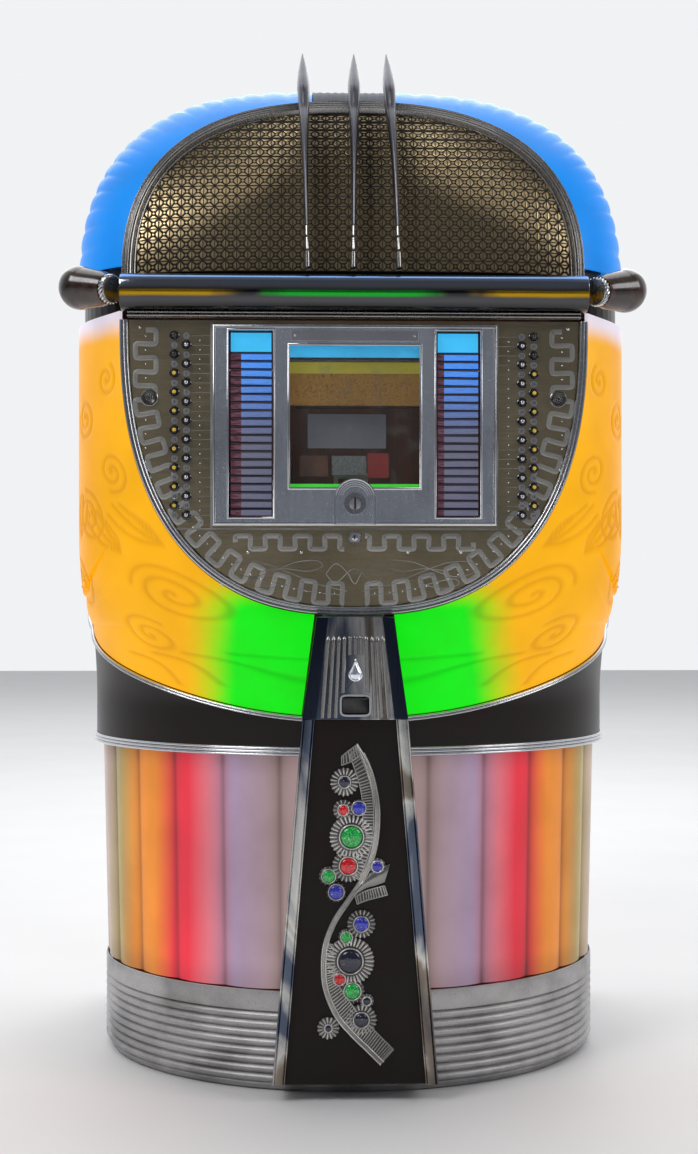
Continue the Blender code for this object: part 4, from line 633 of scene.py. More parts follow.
def studio_floor(name):
    """Pale matt floor with a barely visible unevenness."""
    shade = Shade(name, Roughness=0.75)
    cloud = shade.noise(3.0, 3.0)
    shade.feed("Base Color", shade.mix(cloud, (0.80, 0.80, 0.80), (0.86, 0.86, 0.86)))
    return shade.material


FINISHES = {}


def finish(name):
    """A finish by name, made once."""
    if name not in FINISHES:
        FINISHES[name] = FINISH_MAKERS[name](name)
    return FINISHES[name]


def colours():
    """The colour settings."""
    return bpy.context.scene.jukebox_colours


def sizes():
    """The size settings."""
    return bpy.context.scene.jukebox_sizes


FINISH_MAKERS = {
    "chrome": lambda n: plated(n, (0.62, 0.63, 0.65), 0.07, 0.45),
    "bezel_chrome": lambda n: plated(n, (0.86, 0.90, 0.97), 0.12, 0.70),
    "visor_chrome": visor_chrome,
    "pillar_chrome": pillar_chrome,
    "aged_chrome": lambda n: plated(n, (0.36, 0.35, 0.34), 0.18, 0.55),
    "crest": lambda n: cast_metal(n, (0.030, 0.038, 0.060), 0.50, 0.0001),
    "fin_metal": lambda n: plated(n, (0.13, 0.13, 0.15), 0.26, 0.5),
    "dark_cast": lambda n: cast_metal(n, (0.15, 0.145, 0.14), 0.34, 0.0002),
    "steel": lambda n: plated(n, (0.55, 0.55, 0.57), 0.22, 0.40),
    "dark_chrome": lambda n: plated(n, (0.10, 0.10, 0.12), 0.10, 0.40),
    "ornament_metal": lambda n: cast_metal(n, (0.66, 0.64, 0.61), 0.24, 0.0002),
    "cast": lambda n: cast_metal(n, (0.46, 0.45, 0.45)),
    "panel": lambda n: brushed_panel(n, colours().panel),
    "inlay": lambda n: brushed_panel(n, (0.46, 0.45, 0.42)),
    "pale_line": lambda n: enamel(n, (0.20, 0.195, 0.175), 0.4, 0.1),
    "bronze": lambda n: cast_bronze(n, colours().bronze),
    "cloth": gap_shade_sheet,
    "band": lambda n: enamel(n, colours().band),
    "pillar_enamel": lambda n: enamel(n, tinted(colours().band, 0.9), 0.4, 0.2),
    "dome": lambda n: lit_plastic(n, colours(), sizes().glow, paint_dome),
    "upper": lambda n: lit_plastic(n, colours(), sizes().glow, paint_upper),
    "lower": lambda n: lit_plastic(n, colours(), sizes().glow, paint_flutes),
    "wood": lambda n: stained_wood(n, colours().wood),
    "board": lambda n: stained_wood(n, tinted(colours().wood, 1.6)),
    "black": bakelite,
    "brown": lambda n: bakelite(n, (0.022, 0.009, 0.005), 0.12),
    "strip": strip_paper,
    "blue_lamp": lambda n: lit_band(n, (0.035, 0.38, 0.68), 0.75, 0.0),
    "yellow_lamp": lambda n: lit_band(n, (0.19, 0.17, 0.008), 0.8, 0.2),
    # the screen and the red card are no lamps: their glow is painted light
    "gold_screen": lambda n: lit_band(n, (0.150, 0.075, 0.008), 0.8, 0.9),
    "red_card": lambda n: lit_band(n, (0.16, 0.012, 0.010), 0.5, 0.5),
    "green_lamp": lambda n: lit_band(n, (0.04, 0.50, 0.03), 0.9, 0.1),
    # the button tips are no lamps: their amber glow is painted light
    "amber_tip": lambda n: lit_band(n, (0.50, 0.34, 0.03), 0.5, 0.5),
    "label_plate": lambda n: plated(n, (0.40, 0.40, 0.44), 0.30, 0.3),
    "glass": clear_glass,
    "grey_paint": lambda n: painted_steel(n, (0.16, 0.17, 0.17)),
    "shellac": record_shellac,
    "felt": felt,
    "cone": paper_cone,
    "jewel_red": lambda n: jewel_painted_glow(n, (0.80, 0.01, 0.02)),
    "jewel_blue": lambda n: jewel_painted_glow(n, (0.03, 0.04, 0.55)),
    "jewel_green": lambda n: jewel_painted_glow(n, (0.01, 0.50, 0.08)),
    "jewel_dark": lambda n: jewel_painted_glow(n, (0.01, 0.01, 0.05), 0.1),
    "floor": studio_floor,
}


# ---------------------------------------------------------------------------
# Mesh making
# ---------------------------------------------------------------------------

class Solid:
    """Points and faces gathered for one piece, with any numbers stored on its points."""

    def __init__(self):
        self.points = []
        self.faces = []
        self.stored = {}

    def add(self, points, faces, **stored):
        """Add a shape; stored holds one number a point for each named attribute."""
        start = len(self.points)
        self.points += [tuple(point) for point in points]
        self.faces += [tuple(start + corner for corner in face) for face in faces]
        for name, values in stored.items():
            kept = self.stored.setdefault(name, [0.0] * start)
            kept += list(values)
        for kept in self.stored.values():
            kept += [0.0] * (len(self.points) - len(kept))
        return self

    def turned(self, profile, centre, out=(0.0, -1.0, 0.0), steps=40):
        """A turned shape from (radius, height) points, which run from axis to axis along out."""
        turn = Vector(out).to_track_quat("Z", "Y").to_matrix()
        points, rings = [], []
        for radius, height in profile:
            count = 1 if radius < 1e-7 else steps
            rings.append((len(points), count))
            for k in range(count):
                angle = 2 * math.pi * k / steps
                local = Vector((radius * math.cos(angle), radius * math.sin(angle), height))
                points.append(Vector(centre) + turn @ local)
        faces = []
        for (first, n), (second, m) in zip(rings, rings[1:]):
            for k in range(steps):
                after = (k + 1) % steps
                if n == 1:
                    faces.append((first, second + k, second + after))
                elif m == 1:
                    faces.append((first + k, second, first + after))
                else:
                    faces.append((first + k, second + k, second + after, first + after))
        radii = [0.0 if n == 1 else r for (_, n), (r, _) in zip(rings, profile) for _ in range(n)]
        return self.add(points, faces, ring=[r / max(radii) for r in radii])

    def stacked(self, rings):
        """Rings of equally many points, each joined to the next, with both ends capped."""
        count = len(rings[0])
        points = [point for ring in rings for point in ring]
        faces = [tuple(range(count)), tuple(reversed(range(len(points) - count, len(points))))]
        for start in range(0, len(points) - count, count):
            for k in range(count):
                after = (k + 1) % count
                faces.append((start + k, start + after, start + count + after, start + count + k))
        return self.add(points, faces)

    def swept(self, path, sides, outs, section, closed=False):
        """A section of (side, out) offsets carried along a path; its ends are capped unless closed."""
        count = len(section)
        points = []
        for spot, side, out in zip(path, sides, outs):
            for a, b in section:
                points.append(Vector(spot) + Vector(side) * a + Vector(out) * b)
        faces = []
        spans = len(path) if closed else len(path) - 1
        for i in range(spans):
            j = (i + 1) % len(path)
            for k in range(count):
                after = (k + 1) % count
                faces.append((i * count + k, i * count + after, j * count + after, j * count + k))
        if not closed:
            faces.append(tuple(range(count)))
            faces.append(tuple(len(points) - 1 - k for k in range(count)))
        return self.add(points, faces)

    def walled(self, rows, thickness, **stored):
        """A wall whose outer face is a grid of rows of points, thickened behind it."""
        grid = np.array(rows, float)
        along = np.gradient(grid, axis=1)
        up = np.gradient(grid, axis=0)
        normal = np.cross(along, up)
        normal /= np.maximum(np.linalg.norm(normal, axis=2, keepdims=True), 1e-12)
        outward = grid - np.array([0.0, JOINT_Y + 0.02, 0.9])
        outward[:, :, 2] *= 0.3
        if (normal * outward).sum() < 0.0:
            normal = -normal
        height, width = grid.shape[:2]
        behind = grid - normal * thickness
        points = [*grid.reshape(-1, 3), *behind.reshape(-1, 3)]
        size = height * width
        faces = []
        for r in range(height - 1):
            for c in range(width - 1):
                a = r * width + c
                quad = (a, a + 1, a + width + 1, a + width)
                faces.append(quad)
                faces.append(tuple(corner + size for corner in reversed(quad)))
        rim = [*range(width), *(r * width + width - 1 for r in range(1, height)),
               *((height - 1) * width + c for c in range(width - 2, -1, -1)),
               *(r * width for r in range(height - 2, 0, -1))]
        for a, b in zip(rim, rim[1:] + rim[:1]):
            faces.append((b, a, a + size, b + size))
        doubled = {name: [*np.ravel(values), *np.ravel(values)] for name, values in stored.items()}
        return self.add(points, faces, **doubled)

    def block(self, low, high):
        """A box between two corners."""
        points = [(x, y, z) for z in (low[2], high[2]) for y in (low[1], high[1]) for x in (low[0], high[0])]
        faces = [(0, 2, 3, 1), (4, 5, 7, 6), (0, 1, 5, 4), (2, 6, 7, 3), (0, 4, 6, 2), (1, 3, 7, 5)]
        return self.add(points, faces)

    def prism(self, outline, front, back):
        """An outline of (x, z) points between two y values."""
        count = len(outline)
        points = [(x, y, z) for y in (front, back) for x, z in outline]
        faces = [tuple(range(count)), tuple(reversed(range(count, 2 * count)))]
        for k in range(count):
            after = (k + 1) % count
            faces.append((k, after, after + count, k + count))
        return self.add(points, faces)

    def mesh(self, name):
        """The gathered shape as a mesh with its faces turned outwards."""
        made = bpy.data.meshes.new(name)
        made.from_pydata(self.points, [], self.faces)
        for key, values in self.stored.items():
            made.attributes.new(key, "FLOAT", "POINT").data.foreach_set("value", values)
        shape = bmesh.new()
        shape.from_mesh(made)
        bmesh.ops.recalc_face_normals(shape, faces=shape.faces)
        shape.to_mesh(made)
        shape.free()
        return made

    def piece(self, name, look, body="cabinet", slot=None, replaces=(), bevel=0.0, angle=35.0):
        """Make the gathered shape one finished piece that rides on a body."""
        made = bpy.data.objects.new(name, self.mesh(name))
        return settle(made, look, body, replaces, bevel, angle)


def settle(made, look, body, replaces=(), bevel=0.0, angle=35.0):
    """Shade a piece, give it its finish and rounded edges, and hang it on its body."""
    if not made.users_collection:
        bpy.context.scene.collection.objects.link(made)
    made.data.materials.clear()
    made.data.materials.append(finish(look))
    made.data.shade_smooth()
    made.data.set_sharp_from_angle(angle=math.radians(angle))
    if bevel:
        edge = made.modifiers.new("edges", "BEVEL")
        edge.width = bevel
        edge.segments = 2
        edge.limit_method = "ANGLE"
        edge.angle_limit = math.radians(30.0)
        edge.harden_normals = True
    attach(made, body)
    if replaces:
        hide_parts(*replaces)
    return made


def refined(node, look, bevel=0.0006, angle=35.0):
    """A CAD piece with its flats merged and its edges rounded, in a better finish."""
    mesh = frame["nodes"][node].data.copy()
    shape = bmesh.new()
    shape.from_mesh(mesh)
    bmesh.ops.remove_doubles(shape, verts=shape.verts, dist=0.00002)
    bmesh.ops.dissolve_limit(shape, angle_limit=math.radians(0.6), verts=shape.verts, edges=shape.edges)
    shape.to_mesh(mesh)
    shape.free()
    made = bpy.data.objects.new(node + "_fine", mesh)
    return settle(made, look, BODY_OF[node], (node,), bevel, angle)


def repainted(node, look):
    """A CAD piece that keeps its shape and gets a better finish."""
    kept = frame["nodes"][node]
    for slot in kept.material_slots:
        slot.material = finish(look)
    return kept


def repeat_tree():
    """Geometry Nodes: one shape on every point of a mesh, turned and sized by the point's own numbers."""
    made = bpy.data.node_groups.get("repeat_on_points")
    if made:
        return made
    made = bpy.data.node_groups.new("repeat_on_points", "GeometryNodeTree")
    for label, kind in (("Points", "Geometry"), ("Shape", "Object"), ("Size", "Float"),
                        ("Finish", "Material")):
        made.interface.new_socket(label, in_out="INPUT", socket_type="NodeSocket" + kind)
    made.interface.new_socket("Geometry", in_out="OUTPUT", socket_type="NodeSocketGeometry")
    wiring = Wiring(made)
    start = wiring.node("NodeGroupInput", {}, {})
    shape = wiring.node("GeometryNodeObjectInfo", {}, {"Object": start.outputs["Shape"]})
    turn = wiring.node("GeometryNodeInputNamedAttribute", {"data_type": "FLOAT_VECTOR"}, {"Name": "turn"})
    size = wiring.node("GeometryNodeInputNamedAttribute", {"data_type": "FLOAT"}, {"Name": "size"})
    rotation = wiring.node("FunctionNodeEulerToRotation", {}, {0: turn.outputs[0]})
    scale = wiring.node("ShaderNodeMath", {"operation": "MULTIPLY"},
                        {0: size.outputs[0], 1: start.outputs["Size"]})
    placed = wiring.node("GeometryNodeInstanceOnPoints", {}, {
        "Points": start.outputs["Points"],
        "Instance": shape.outputs["Geometry"],
        "Rotation": rotation.outputs[0],
        "Scale": scale.outputs[0],
    })
    real = wiring.node("GeometryNodeRealizeInstances", {}, {0: placed.outputs[0]})
    painted = wiring.node("GeometryNodeSetMaterial", {},
                          {0: real.outputs[0], "Material": start.outputs["Finish"]})
    wiring.node("NodeGroupOutput", {}, {0: painted.outputs[0]})
    return made


def upright(x, y, z, size=1.0):
    """An unturned spot for a repeated shape."""
    return (x, y, z), (0.0, 0.0, 0.0), size


def repeated(name, shape, spots, look, body="cabinet", replaces=(), size=1.0, angle=35.0):
    """Copies of a small shape on (place, Euler turn, size) spots, as one piece."""
    pattern = bpy.data.objects.new(name + "_pattern", shape.mesh(name + "_pattern"))
    bpy.context.scene.collection.objects.link(pattern)
    points = bpy.data.meshes.new(name + "_points")
    points.from_pydata([tuple(spot[0]) for spot in spots], [], [])
    turns = [value for spot in spots for value in spot[1]]
    points.attributes.new("turn", "FLOAT_VECTOR", "POINT").data.foreach_set("vector", turns)
    points.attributes.new("size", "FLOAT", "POINT").data.foreach_set("value", [spot[2] for spot in spots])
    carrier = bpy.data.objects.new(name + "_carrier", points)
    bpy.context.scene.collection.objects.link(carrier)
    tree = repeat_tree()
    modifier = carrier.modifiers.new("repeat", "NODES")
    modifier.node_group = tree
    given = {"Shape": pattern, "Size": size, "Finish": finish(look)}
    for item in tree.interface.items_tree:
        if item.in_out == "INPUT" and item.name in given:
            modifier[item.identifier] = given[item.name]
    graph = bpy.context.evaluated_depsgraph_get()
    graph.update()
    mesh = bpy.data.meshes.new_from_object(carrier.evaluated_get(graph))
    mesh.name = name
    modifier.node_group = None
    for helper in (carrier, pattern):
        bpy.data.objects.remove(helper, do_unlink=True)
    if not mesh.polygons:
        raise RuntimeError(name + " has no faces")
    return settle(bpy.data.objects.new(name, mesh), look, body, replaces, 0.0, angle)


def ribs(width, count, height, base=0.0, steps=6, floor=-0.001):
    """A section with half-round ribs side by side: (side, out) points across a width."""
    points = []
    pitch = width / count
    for rib in range(count):
        for k in range(steps + 1):
            if rib and k == 0:
                continue
            share = k / steps
            lift = math.sin(math.pi * share)
            points.append((-width / 2 + pitch * (rib + share), base + height * lift ** 0.7))
    return points + [(width / 2, floor), (-width / 2, floor)]


def smoothly(points, share):
    """A point on the smooth curve through some points; share runs from 0 to 1."""
    spans = len(points) - 1
    place = min(int(share * spans), spans - 1)
    t = share * spans - place
    p0 = points[max(place - 1, 0)]
    p1, p2 = points[place], points[place + 1]
    p3 = points[min(place + 2, spans)]
    made = []
    for a, b, c, d in zip(p0, p1, p2, p3):
        made.append(0.5 * (2 * b + (c - a) * t + (2 * a - 5 * b + 4 * c - d) * t * t
                           + (3 * (b - c) + d - a) * t ** 3))
    return tuple(made)


# ---------------------------------------------------------------------------
# The body's outer form
# ---------------------------------------------------------------------------

def eased(value, start, end):
    """0 before start, 1 after end, and smooth between."""
    share = min(max((value - start) / (end - start), 0.0), 1.0)
    return share * share * (3.0 - 2.0 * share)


def body_half(z):
    """Half the body's width at a height, seen from the front."""
    if z <= BULGE_END:
        share = min(max((z - BULGE_START) / (BULGE_END - BULGE_START), 0.0), 1.0)
        return WAIST_HALF + (BODY_HALF - WAIST_HALF) * math.sqrt(1.0 - (1.0 - share) ** 2)
    if z <= SHOULDER:
        return BODY_HALF
    rise = min((z - SHOULDER) / DOME_RISE, 1.0)
    return BODY_HALF * (1.0 - rise ** DOME_FRONT_POWER) ** (1.0 / DOME_FRONT_POWER)


def body_depth(z):
    """How far the front skin stands ahead of the cabinet at a height."""
    if z <= SHOULDER:
        return FRONT_DEPTH
    rise = min((z - SHOULDER) / DOME_RISE, 1.0)
    return FRONT_DEPTH * (1.0 - rise ** DOME_SIDE_POWER) ** (1.0 / DOME_SIDE_POWER)


def plan_power(z):
    """The exponent of the plan's outline at a height."""
    return PLAN_ROUND + (PLAN_SQUARE - PLAN_ROUND) * eased(z, SQUARE_START, SQUARE_END)


def front_y(x, z):
    """The y of the front skin at (x, z)."""
    width, depth = body_half(z), body_depth(z)
    if width <= 0.0 or depth <= 0.0:
        return JOINT_Y
    power = plan_power(z)
    share = min(abs(x) / width, 1.0)
    return JOINT_Y - depth * (1.0 - share ** power) ** (1.0 / power)


def front_normal(x, z, step=0.002):
    """The way the front skin faces at (x, z)."""
    across = Vector((2 * step, front_y(x + step, z) - front_y(x - step, z), 0.0))
    up = Vector((0.0, front_y(x, z + step) - front_y(x, z - step), 2 * step))
    return across.cross(up).normalized()


def plan_point(angle, half, depth, power):
    """The (x, y) point of a rounded plan at an angle from the right-hand joint."""
    c = math.cos(angle)
    s = max(math.sin(angle), 0.0)
    return math.copysign(abs(c) ** (2.0 / power), c) * half, JOINT_Y - s ** (2.0 / power) * depth


def waist_edge(angle, shift=0.0):
    """The point of the waist's slanted upper edge at a plan angle."""
    z = WAIST_TOP_FRONT
    for _ in range(24):
        x, y = plan_point(angle, body_half(z), FRONT_DEPTH, plan_power(z))
        z = WAIST_TOP_FRONT + WAIST_TOP_SLOPE * (y - JOINT_Y + FRONT_DEPTH)
    return x, y, z + shift


def plan_frames(points):
    """The outward way, in plan, at each of some (x, y, z) points."""
    outs = []
    for i in range(len(points)):
        ahead = Vector(points[min(i + 1, len(points) - 1)])
        behind = Vector(points[max(i - 1, 0)])
        run = (ahead - behind).normalized()
        out = Vector((-run.y, run.x, 0.0)).normalized()
        centre = Vector((0.0, JOINT_Y + 0.001, 0.0))
        outs.append(out if out.dot(Vector(points[i]) - centre) >= 0.0 else -out)
    return outs


def face_frames(path):
    """The sideways direction, in the plane of the front, at each of some points."""
    sides = []
    for i in range(len(path)):
        ahead = path[min(i + 1, len(path) - 1)]
        behind = path[max(i - 1, 0)]
        run = Vector((ahead[0] - behind[0], 0.0, ahead[2] - behind[2])).normalized()
        sides.append(Vector((run.z, 0.0, -run.x)))
    return sides


def door_edge(angle, grow=0.0):
    """A point (x, z) of the door's rounded outline, from its top corner to its foot."""
    half, top = DOOR_BOX[1].x, DOOR_BOX[1].z
    drop = top - DOOR_BOX[0].z
    x = (half + grow) * max(math.cos(angle), 0.0) ** (2.0 / DOOR_POWER)
    return x, top - (drop + grow) * max(math.sin(angle), 0.0) ** (2.0 / DOOR_POWER)


def arch_edge(angle, shrink=0.0):
    """A point (x, z) of the dome frame's outline, from its foot to its crown."""
    half, low, high = ARCH_BOX[1].x, ARCH_BOX[0].z, ARCH_BOX[1].z
    x = (half - shrink) * max(math.cos(angle), 0.0) ** (2.0 / ARCH_POWER)
    return x, low + (high - shrink - low) * max(math.sin(angle), 0.0) ** (2.0 / ARCH_POWER)


def mirror_outline(edge, steps):
    """A half outline from edge(angle), carried round to the other side, as (x, z) points."""
    points = []
    for i in range(steps + 1):
        angle = math.pi * i / steps
        x, z = edge(min(angle, math.pi - angle))
        points.append((-x if angle < math.pi / 2 else x, z))
    return points


def skin_point(inner, outer, share, lip_y):
    """A point between the inner (x, z) and outer (x, y, z) edges of a front skin."""
    sweep = math.sin(share * math.pi / 2)
    x = inner[0] + (outer[0] - inner[0]) * sweep
    z = inner[1] + (outer[2] - inner[1]) * sweep
    lift = front_y(*inner) - lip_y
    reach = outer[1] - front_y(outer[0], outer[2])
    return x, front_y(x, z) - lift * (1.0 - sweep) ** 2.5 + reach * sweep ** 4, z


def flipped(rows):
    """A grid of points on the other side of the machine."""
    return [[(-x, y, z) for x, y, z in row] for row in rows]


# ---------------------------------------------------------------------------
# Base, lower plastics and waist
# ---------------------------------------------------------------------------

class JUKEBOX_OT_base(bpy.types.Operator):
    """Make the cast base with its ribs"""

    bl_idname = "jukebox.base"
    bl_label = "Cast base"

    def execute(self, context):
        ribs_wanted = context.scene.jukebox_sizes.base_ribs
        profile = [(0.0, 0.034), (0.0, 0.014), (0.004, 0.008), (0.012, 0.004)]
        first, last = 0.014, 0.128
        pitch = (last - first) / ribs_wanted
        for rib in range(ribs_wanted):
            for k in range(8):
                share = k / 8
                lift = math.sin(math.pi * share) ** 0.8
                profile.append((first + pitch * (rib + share), 0.0062 - 0.0062 * lift))
        profile += [(last, 0.0062), (last + 0.002, 0.0015), (last + 0.005, 0.0003),
                    (BASE_TOP - 0.004, 0.0003),
                    (BASE_TOP - 0.0012, 0.001), (BASE_TOP, 0.0028)]
        rows = []
        for z, inset in profile:
            half, depth = BASE_HALF - inset, FRONT_DEPTH - inset
            side = [(half, y, z) for y in np.linspace(CABINET_BACK_Y, JOINT_Y, 8)[:-1]]
            front = [(*plan_point(math.pi * k / 96, half, depth, PLAN_ROUND), z) for k in range(97)]
            rows.append(side + front + [(-x, y, z) for x, y, z in reversed(side)])
        Solid().walled(rows, 0.006).piece("base_ribbed", "cast", slot="cast_aluminium",
                                          replaces=("base_casting",))
        return {"FINISHED"}


class JUKEBOX_OT_lower_plastics(bpy.types.Operator):
    """Make the fluted plastics either side of the pillar"""

    bl_idname = "jukebox.lower_plastics"
    bl_label = "Lower plastics"

    def execute(self, context):
        flutes = context.scene.jukebox_sizes.flutes
        depth = context.scene.jukebox_sizes.flute_depth
        steps = 14
        low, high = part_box("lower_plastic_right")[0].z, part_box("lower_plastic_right")[1].z
        start, end = 0.03, math.acos((PILLAR_JOINT_HALF - 0.010) / WAIST_HALF)
        levels = 14
        rows, hollow_shades = [], []
        for r in range(levels + 1):
            share = r / levels
            half = BASE_HALF - 0.003 + 0.009 * share
            row = []
            for i in range(flutes * steps + 1):
                angle = start + (end - start) * i / (flutes * steps)
                hollow = depth * (1.0 - abs(math.cos(math.pi * i / steps)) ** 0.8)
                x, y = plan_point(angle, half - hollow, FRONT_DEPTH - 0.005 - hollow, PLAN_ROUND)
                row.append((x, y, low + (high - low) * share))
                # painted shade in the grooves between the flutes, stored for their finish
                hollow_shades.append((hollow / depth) ** 3)
            rows.append(row)
        for side, grid in (("right", rows), ("left", flipped(rows))):
            Solid().walled(grid, WALL, fold=hollow_shades).piece(
                "lower_flutes_" + side, "lower", slot="rose_plastic", replaces=("lower_plastic_" + side,))
        return {"FINISHED"}


class JUKEBOX_OT_waist(bpy.types.Operator):
    """Make the dark waist band and the bright strips above and below it"""

    bl_idname = "jukebox.waist"
    bl_label = "Waist"

    def execute(self, context):
        last = math.acos((PILLAR_JOINT_HALF + SEAM) / WAIST_HALF)
        half = [last * k / 40 for k in range(41)]
        angles = half + [math.pi - angle for angle in reversed(half)]
        tops = [waist_edge(angle, -SEAM) for angle in angles]
        rows = []
        for r in range(9):
            share = r / 8
            row = []
            for angle, top in zip(angles, tops):
                z = WAIST_BOTTOM + SEAM + (top[2] - WAIST_BOTTOM - SEAM) * share
                x, y = plan_point(angle, body_half(z), FRONT_DEPTH, plan_power(z))
                row.append((x, y, z))
            rows.append(row)
        Solid().walled(rows, WALL).piece("waist_enamel", "band", slot="dark_band", replaces=("waist_band",))
        ring = [(*plan_point(a, WAIST_HALF, FRONT_DEPTH, PLAN_ROUND), WAIST_BOTTOM) for a in angles]
        up = [(0.0, 0.0, 1.0)] * len(ring)
        section = [(a, b + 0.0005) for a, b in ribs(0.016, 3, 0.0032, 0.0004, 7, 0.0)]
        Solid().swept(ring, up, plan_frames(ring), section).piece(
            "waist_triple_trim", "chrome", slot="chrome", replaces=("waist_trim",), angle=50.0)
        edge = [waist_edge(angle, -0.0045) for angle in angles]
        strip = [(a, b + SEAM) for a, b in ribs(0.009, 2, 0.0030, 0.0002, 7, 0.0)]
        Solid().swept(edge, up, plan_frames(edge), strip).piece(
            "upper_retainer", "chrome", slot="chrome", replaces=("plastic_retainer",), angle=50.0)
        return {"FINISHED"}


# ---------------------------------------------------------------------------
# Upper plastics and dome
# ---------------------------------------------------------------------------

def spiral(centre, radius, turns, start, direction=1, steps=90):
    """Points of a scroll that winds in to its centre."""
    points = []
    for i in range(steps + 1):
        share = i / steps
        reach = radius * (1.0 - share) ** 0.85
        angle = start + direction * turns * 2 * math.pi * share
        points.append((centre[0] + reach * math.cos(angle), centre[1] + reach * math.sin(angle)))
    return points


def bow(start, end, sag, steps=30):
    """Points of a bowed leaf vein."""
    a, b = Vector(start), Vector(end)
    across = Vector((-(b - a).y, (b - a).x))
    return [tuple(a + (b - a) * k / steps + across * sag * math.sin(math.pi * k / steps))
            for k in range(steps + 1)]


def scroll_lines():
    """The scrolls and leaves pressed into an upper plastic, as (distance out, height) lines."""
    lines = [
        spiral((0.062, 0.800), 0.052, 2.3, 0.4),
        spiral((0.150, 0.735), 0.034, 1.8, 2.6, -1),
        spiral((0.060, 1.000), 0.034, 1.9, -1.2, -1),
        spiral((0.150, 0.930), 0.044, 2.2, 1.6),
        spiral((0.130, 1.095), 0.036, 2.0, 0.2, -1),
        spiral((0.048, 1.150), 0.028, 1.6, 2.2),
        spiral((0.255, 0.830), 0.046, 2.1, -0.6, -1),
        spiral((0.250, 0.985), 0.040, 2.0, 1.1),
        spiral((0.245, 1.130), 0.036, 1.9, -2.0, -1),
        spiral((0.350, 0.900), 0.044, 2.0, 0.9),
        spiral((0.350, 1.060), 0.040, 2.0, -0.4, -1),
    ]
    for foot, height, lean in ((0.020, 0.880, 0.05), (0.100, 0.870, 0.03), (0.205, 0.900, -0.03),
                               (0.300, 0.960, 0.04)):
        for k in range(4):
            spread = (k - 1.5) * 0.016
            lines.append(bow((foot, height), (foot + lean + spread, height + 0.075 - abs(spread)),
                             0.16 - 0.10 * k))
    for k in range(5):
        lines.append(bow((0.030 + 0.040 * k, 0.655), (0.055 + 0.040 * k, 0.705), 0.35))
    return lines


def relief_at(places, lines, width):
    """How strongly each place is marked by the nearest line, from 0 to 1."""
    best = np.full(len(places), 1e9)
    for line in lines:
        points = np.array(line)
        low, high = points.min(0) - 3 * width, points.max(0) + 3 * width
        near = np.where(((places >= low) & (places <= high)).all(1))[0]
        if not len(near):
            continue
        for a, b in zip(points, points[1:]):
            run = b - a
            share = np.clip(((places[near] - a) @ run) / max(run @ run, 1e-12), 0.0, 1.0)
            away = np.linalg.norm(places[near] - a - share[:, None] * run, axis=1)
            best[near] = np.minimum(best[near], away)
    return np.exp(-(best / width) ** 2)


class JUKEBOX_OT_upper_plastics(bpy.types.Operator):
    """Make the wrapped plastics with their pressed scrolls"""

    bl_idname = "jukebox.upper_plastics"
    bl_label = "Upper plastics"

    def edges(self):
        """Inner (x, z) and outer (x, y, z) edges of the right-hand plastic, from its top down."""
        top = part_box("upper_plastic_right")[1].z
        foot = waist_edge(0.0, SEAM)
        angles = [math.acos((PILLAR_JOINT_HALF + SEAM) / WAIST_HALF) * k / 90 for k in range(91)]
        side_rows = 90
        half = DOOR_BOX[1].x + SEAM
        last = math.acos(((PILLAR_TOP_HALF + SEAM * 2) / half) ** (DOOR_POWER / 2))
        inner, outer = [], []
        for z in (top, (top + DOOR_BOX[1].z) / 2, DOOR_BOX[1].z):
            inner.append((half, z))
            outer.append((body_half(z), JOINT_Y, z))
        turning = 0.36 * last
        for i in range(1, side_rows + 1):
            z = DOOR_BOX[1].z + (foot[2] - DOOR_BOX[1].z) * i / (side_rows + 1)
            inner.append(door_edge(turning * i / side_rows, SEAM))
            outer.append((body_half(z), JOINT_Y, z))
        for i, angle in enumerate(angles):
            share = i / (len(angles) - 1)
            inner.append(door_edge(turning + (last - turning) * share, SEAM))
            outer.append(waist_edge(angle, SEAM))
        return inner, outer

    def execute(self, context):
        inner, outer = self.edges()
        columns = 110
        lip = DOOR_FACE + 0.010
        grid = np.array([[skin_point(a, b, k / columns, lip) for k in range(columns + 1)]
                         for a, b in zip(inner, outer)])
        steps = np.linalg.norm(np.diff(grid, axis=1), axis=2)
        out = np.concatenate([np.zeros((len(grid), 1)), np.cumsum(steps, axis=1)], axis=1)
        places = np.stack([out.ravel(), grid[:, :, 2].ravel()], axis=1)
        mark = relief_at(places, scroll_lines(), 0.0034).reshape(grid.shape[:2])
        normal = np.cross(np.gradient(grid, axis=1), np.gradient(grid, axis=0))
        normal /= np.maximum(np.linalg.norm(normal, axis=2, keepdims=True), 1e-12)
        if (normal * (grid - [0.0, JOINT_Y, 0.9])).sum() > 0.0:
            normal = -normal
        grid = grid + normal * (mark * context.scene.jukebox_sizes.relief)[:, :, None]
        for side, rows in (("right", grid), ("left", grid * [-1.0, 1.0, 1.0])):
            Solid().walled(rows, WALL, relief=mark).piece(
                "upper_scrolled_" + side, "upper", slot="amber_plastic", replaces=("upper_plastic_" + side,),
                angle=60.0)
        return {"FINISHED"}


def dome_outline(share):
    """A point (x, z) of the dome's outline; share runs from its foot to its crown."""
    angle = share * math.pi / 2
    x = BODY_HALF * max(math.cos(angle), 0.0) ** (2.0 / DOME_FRONT_POWER)
    return x, SHOULDER + DOME_RISE * math.sin(angle) ** (2.0 / DOME_FRONT_POWER)


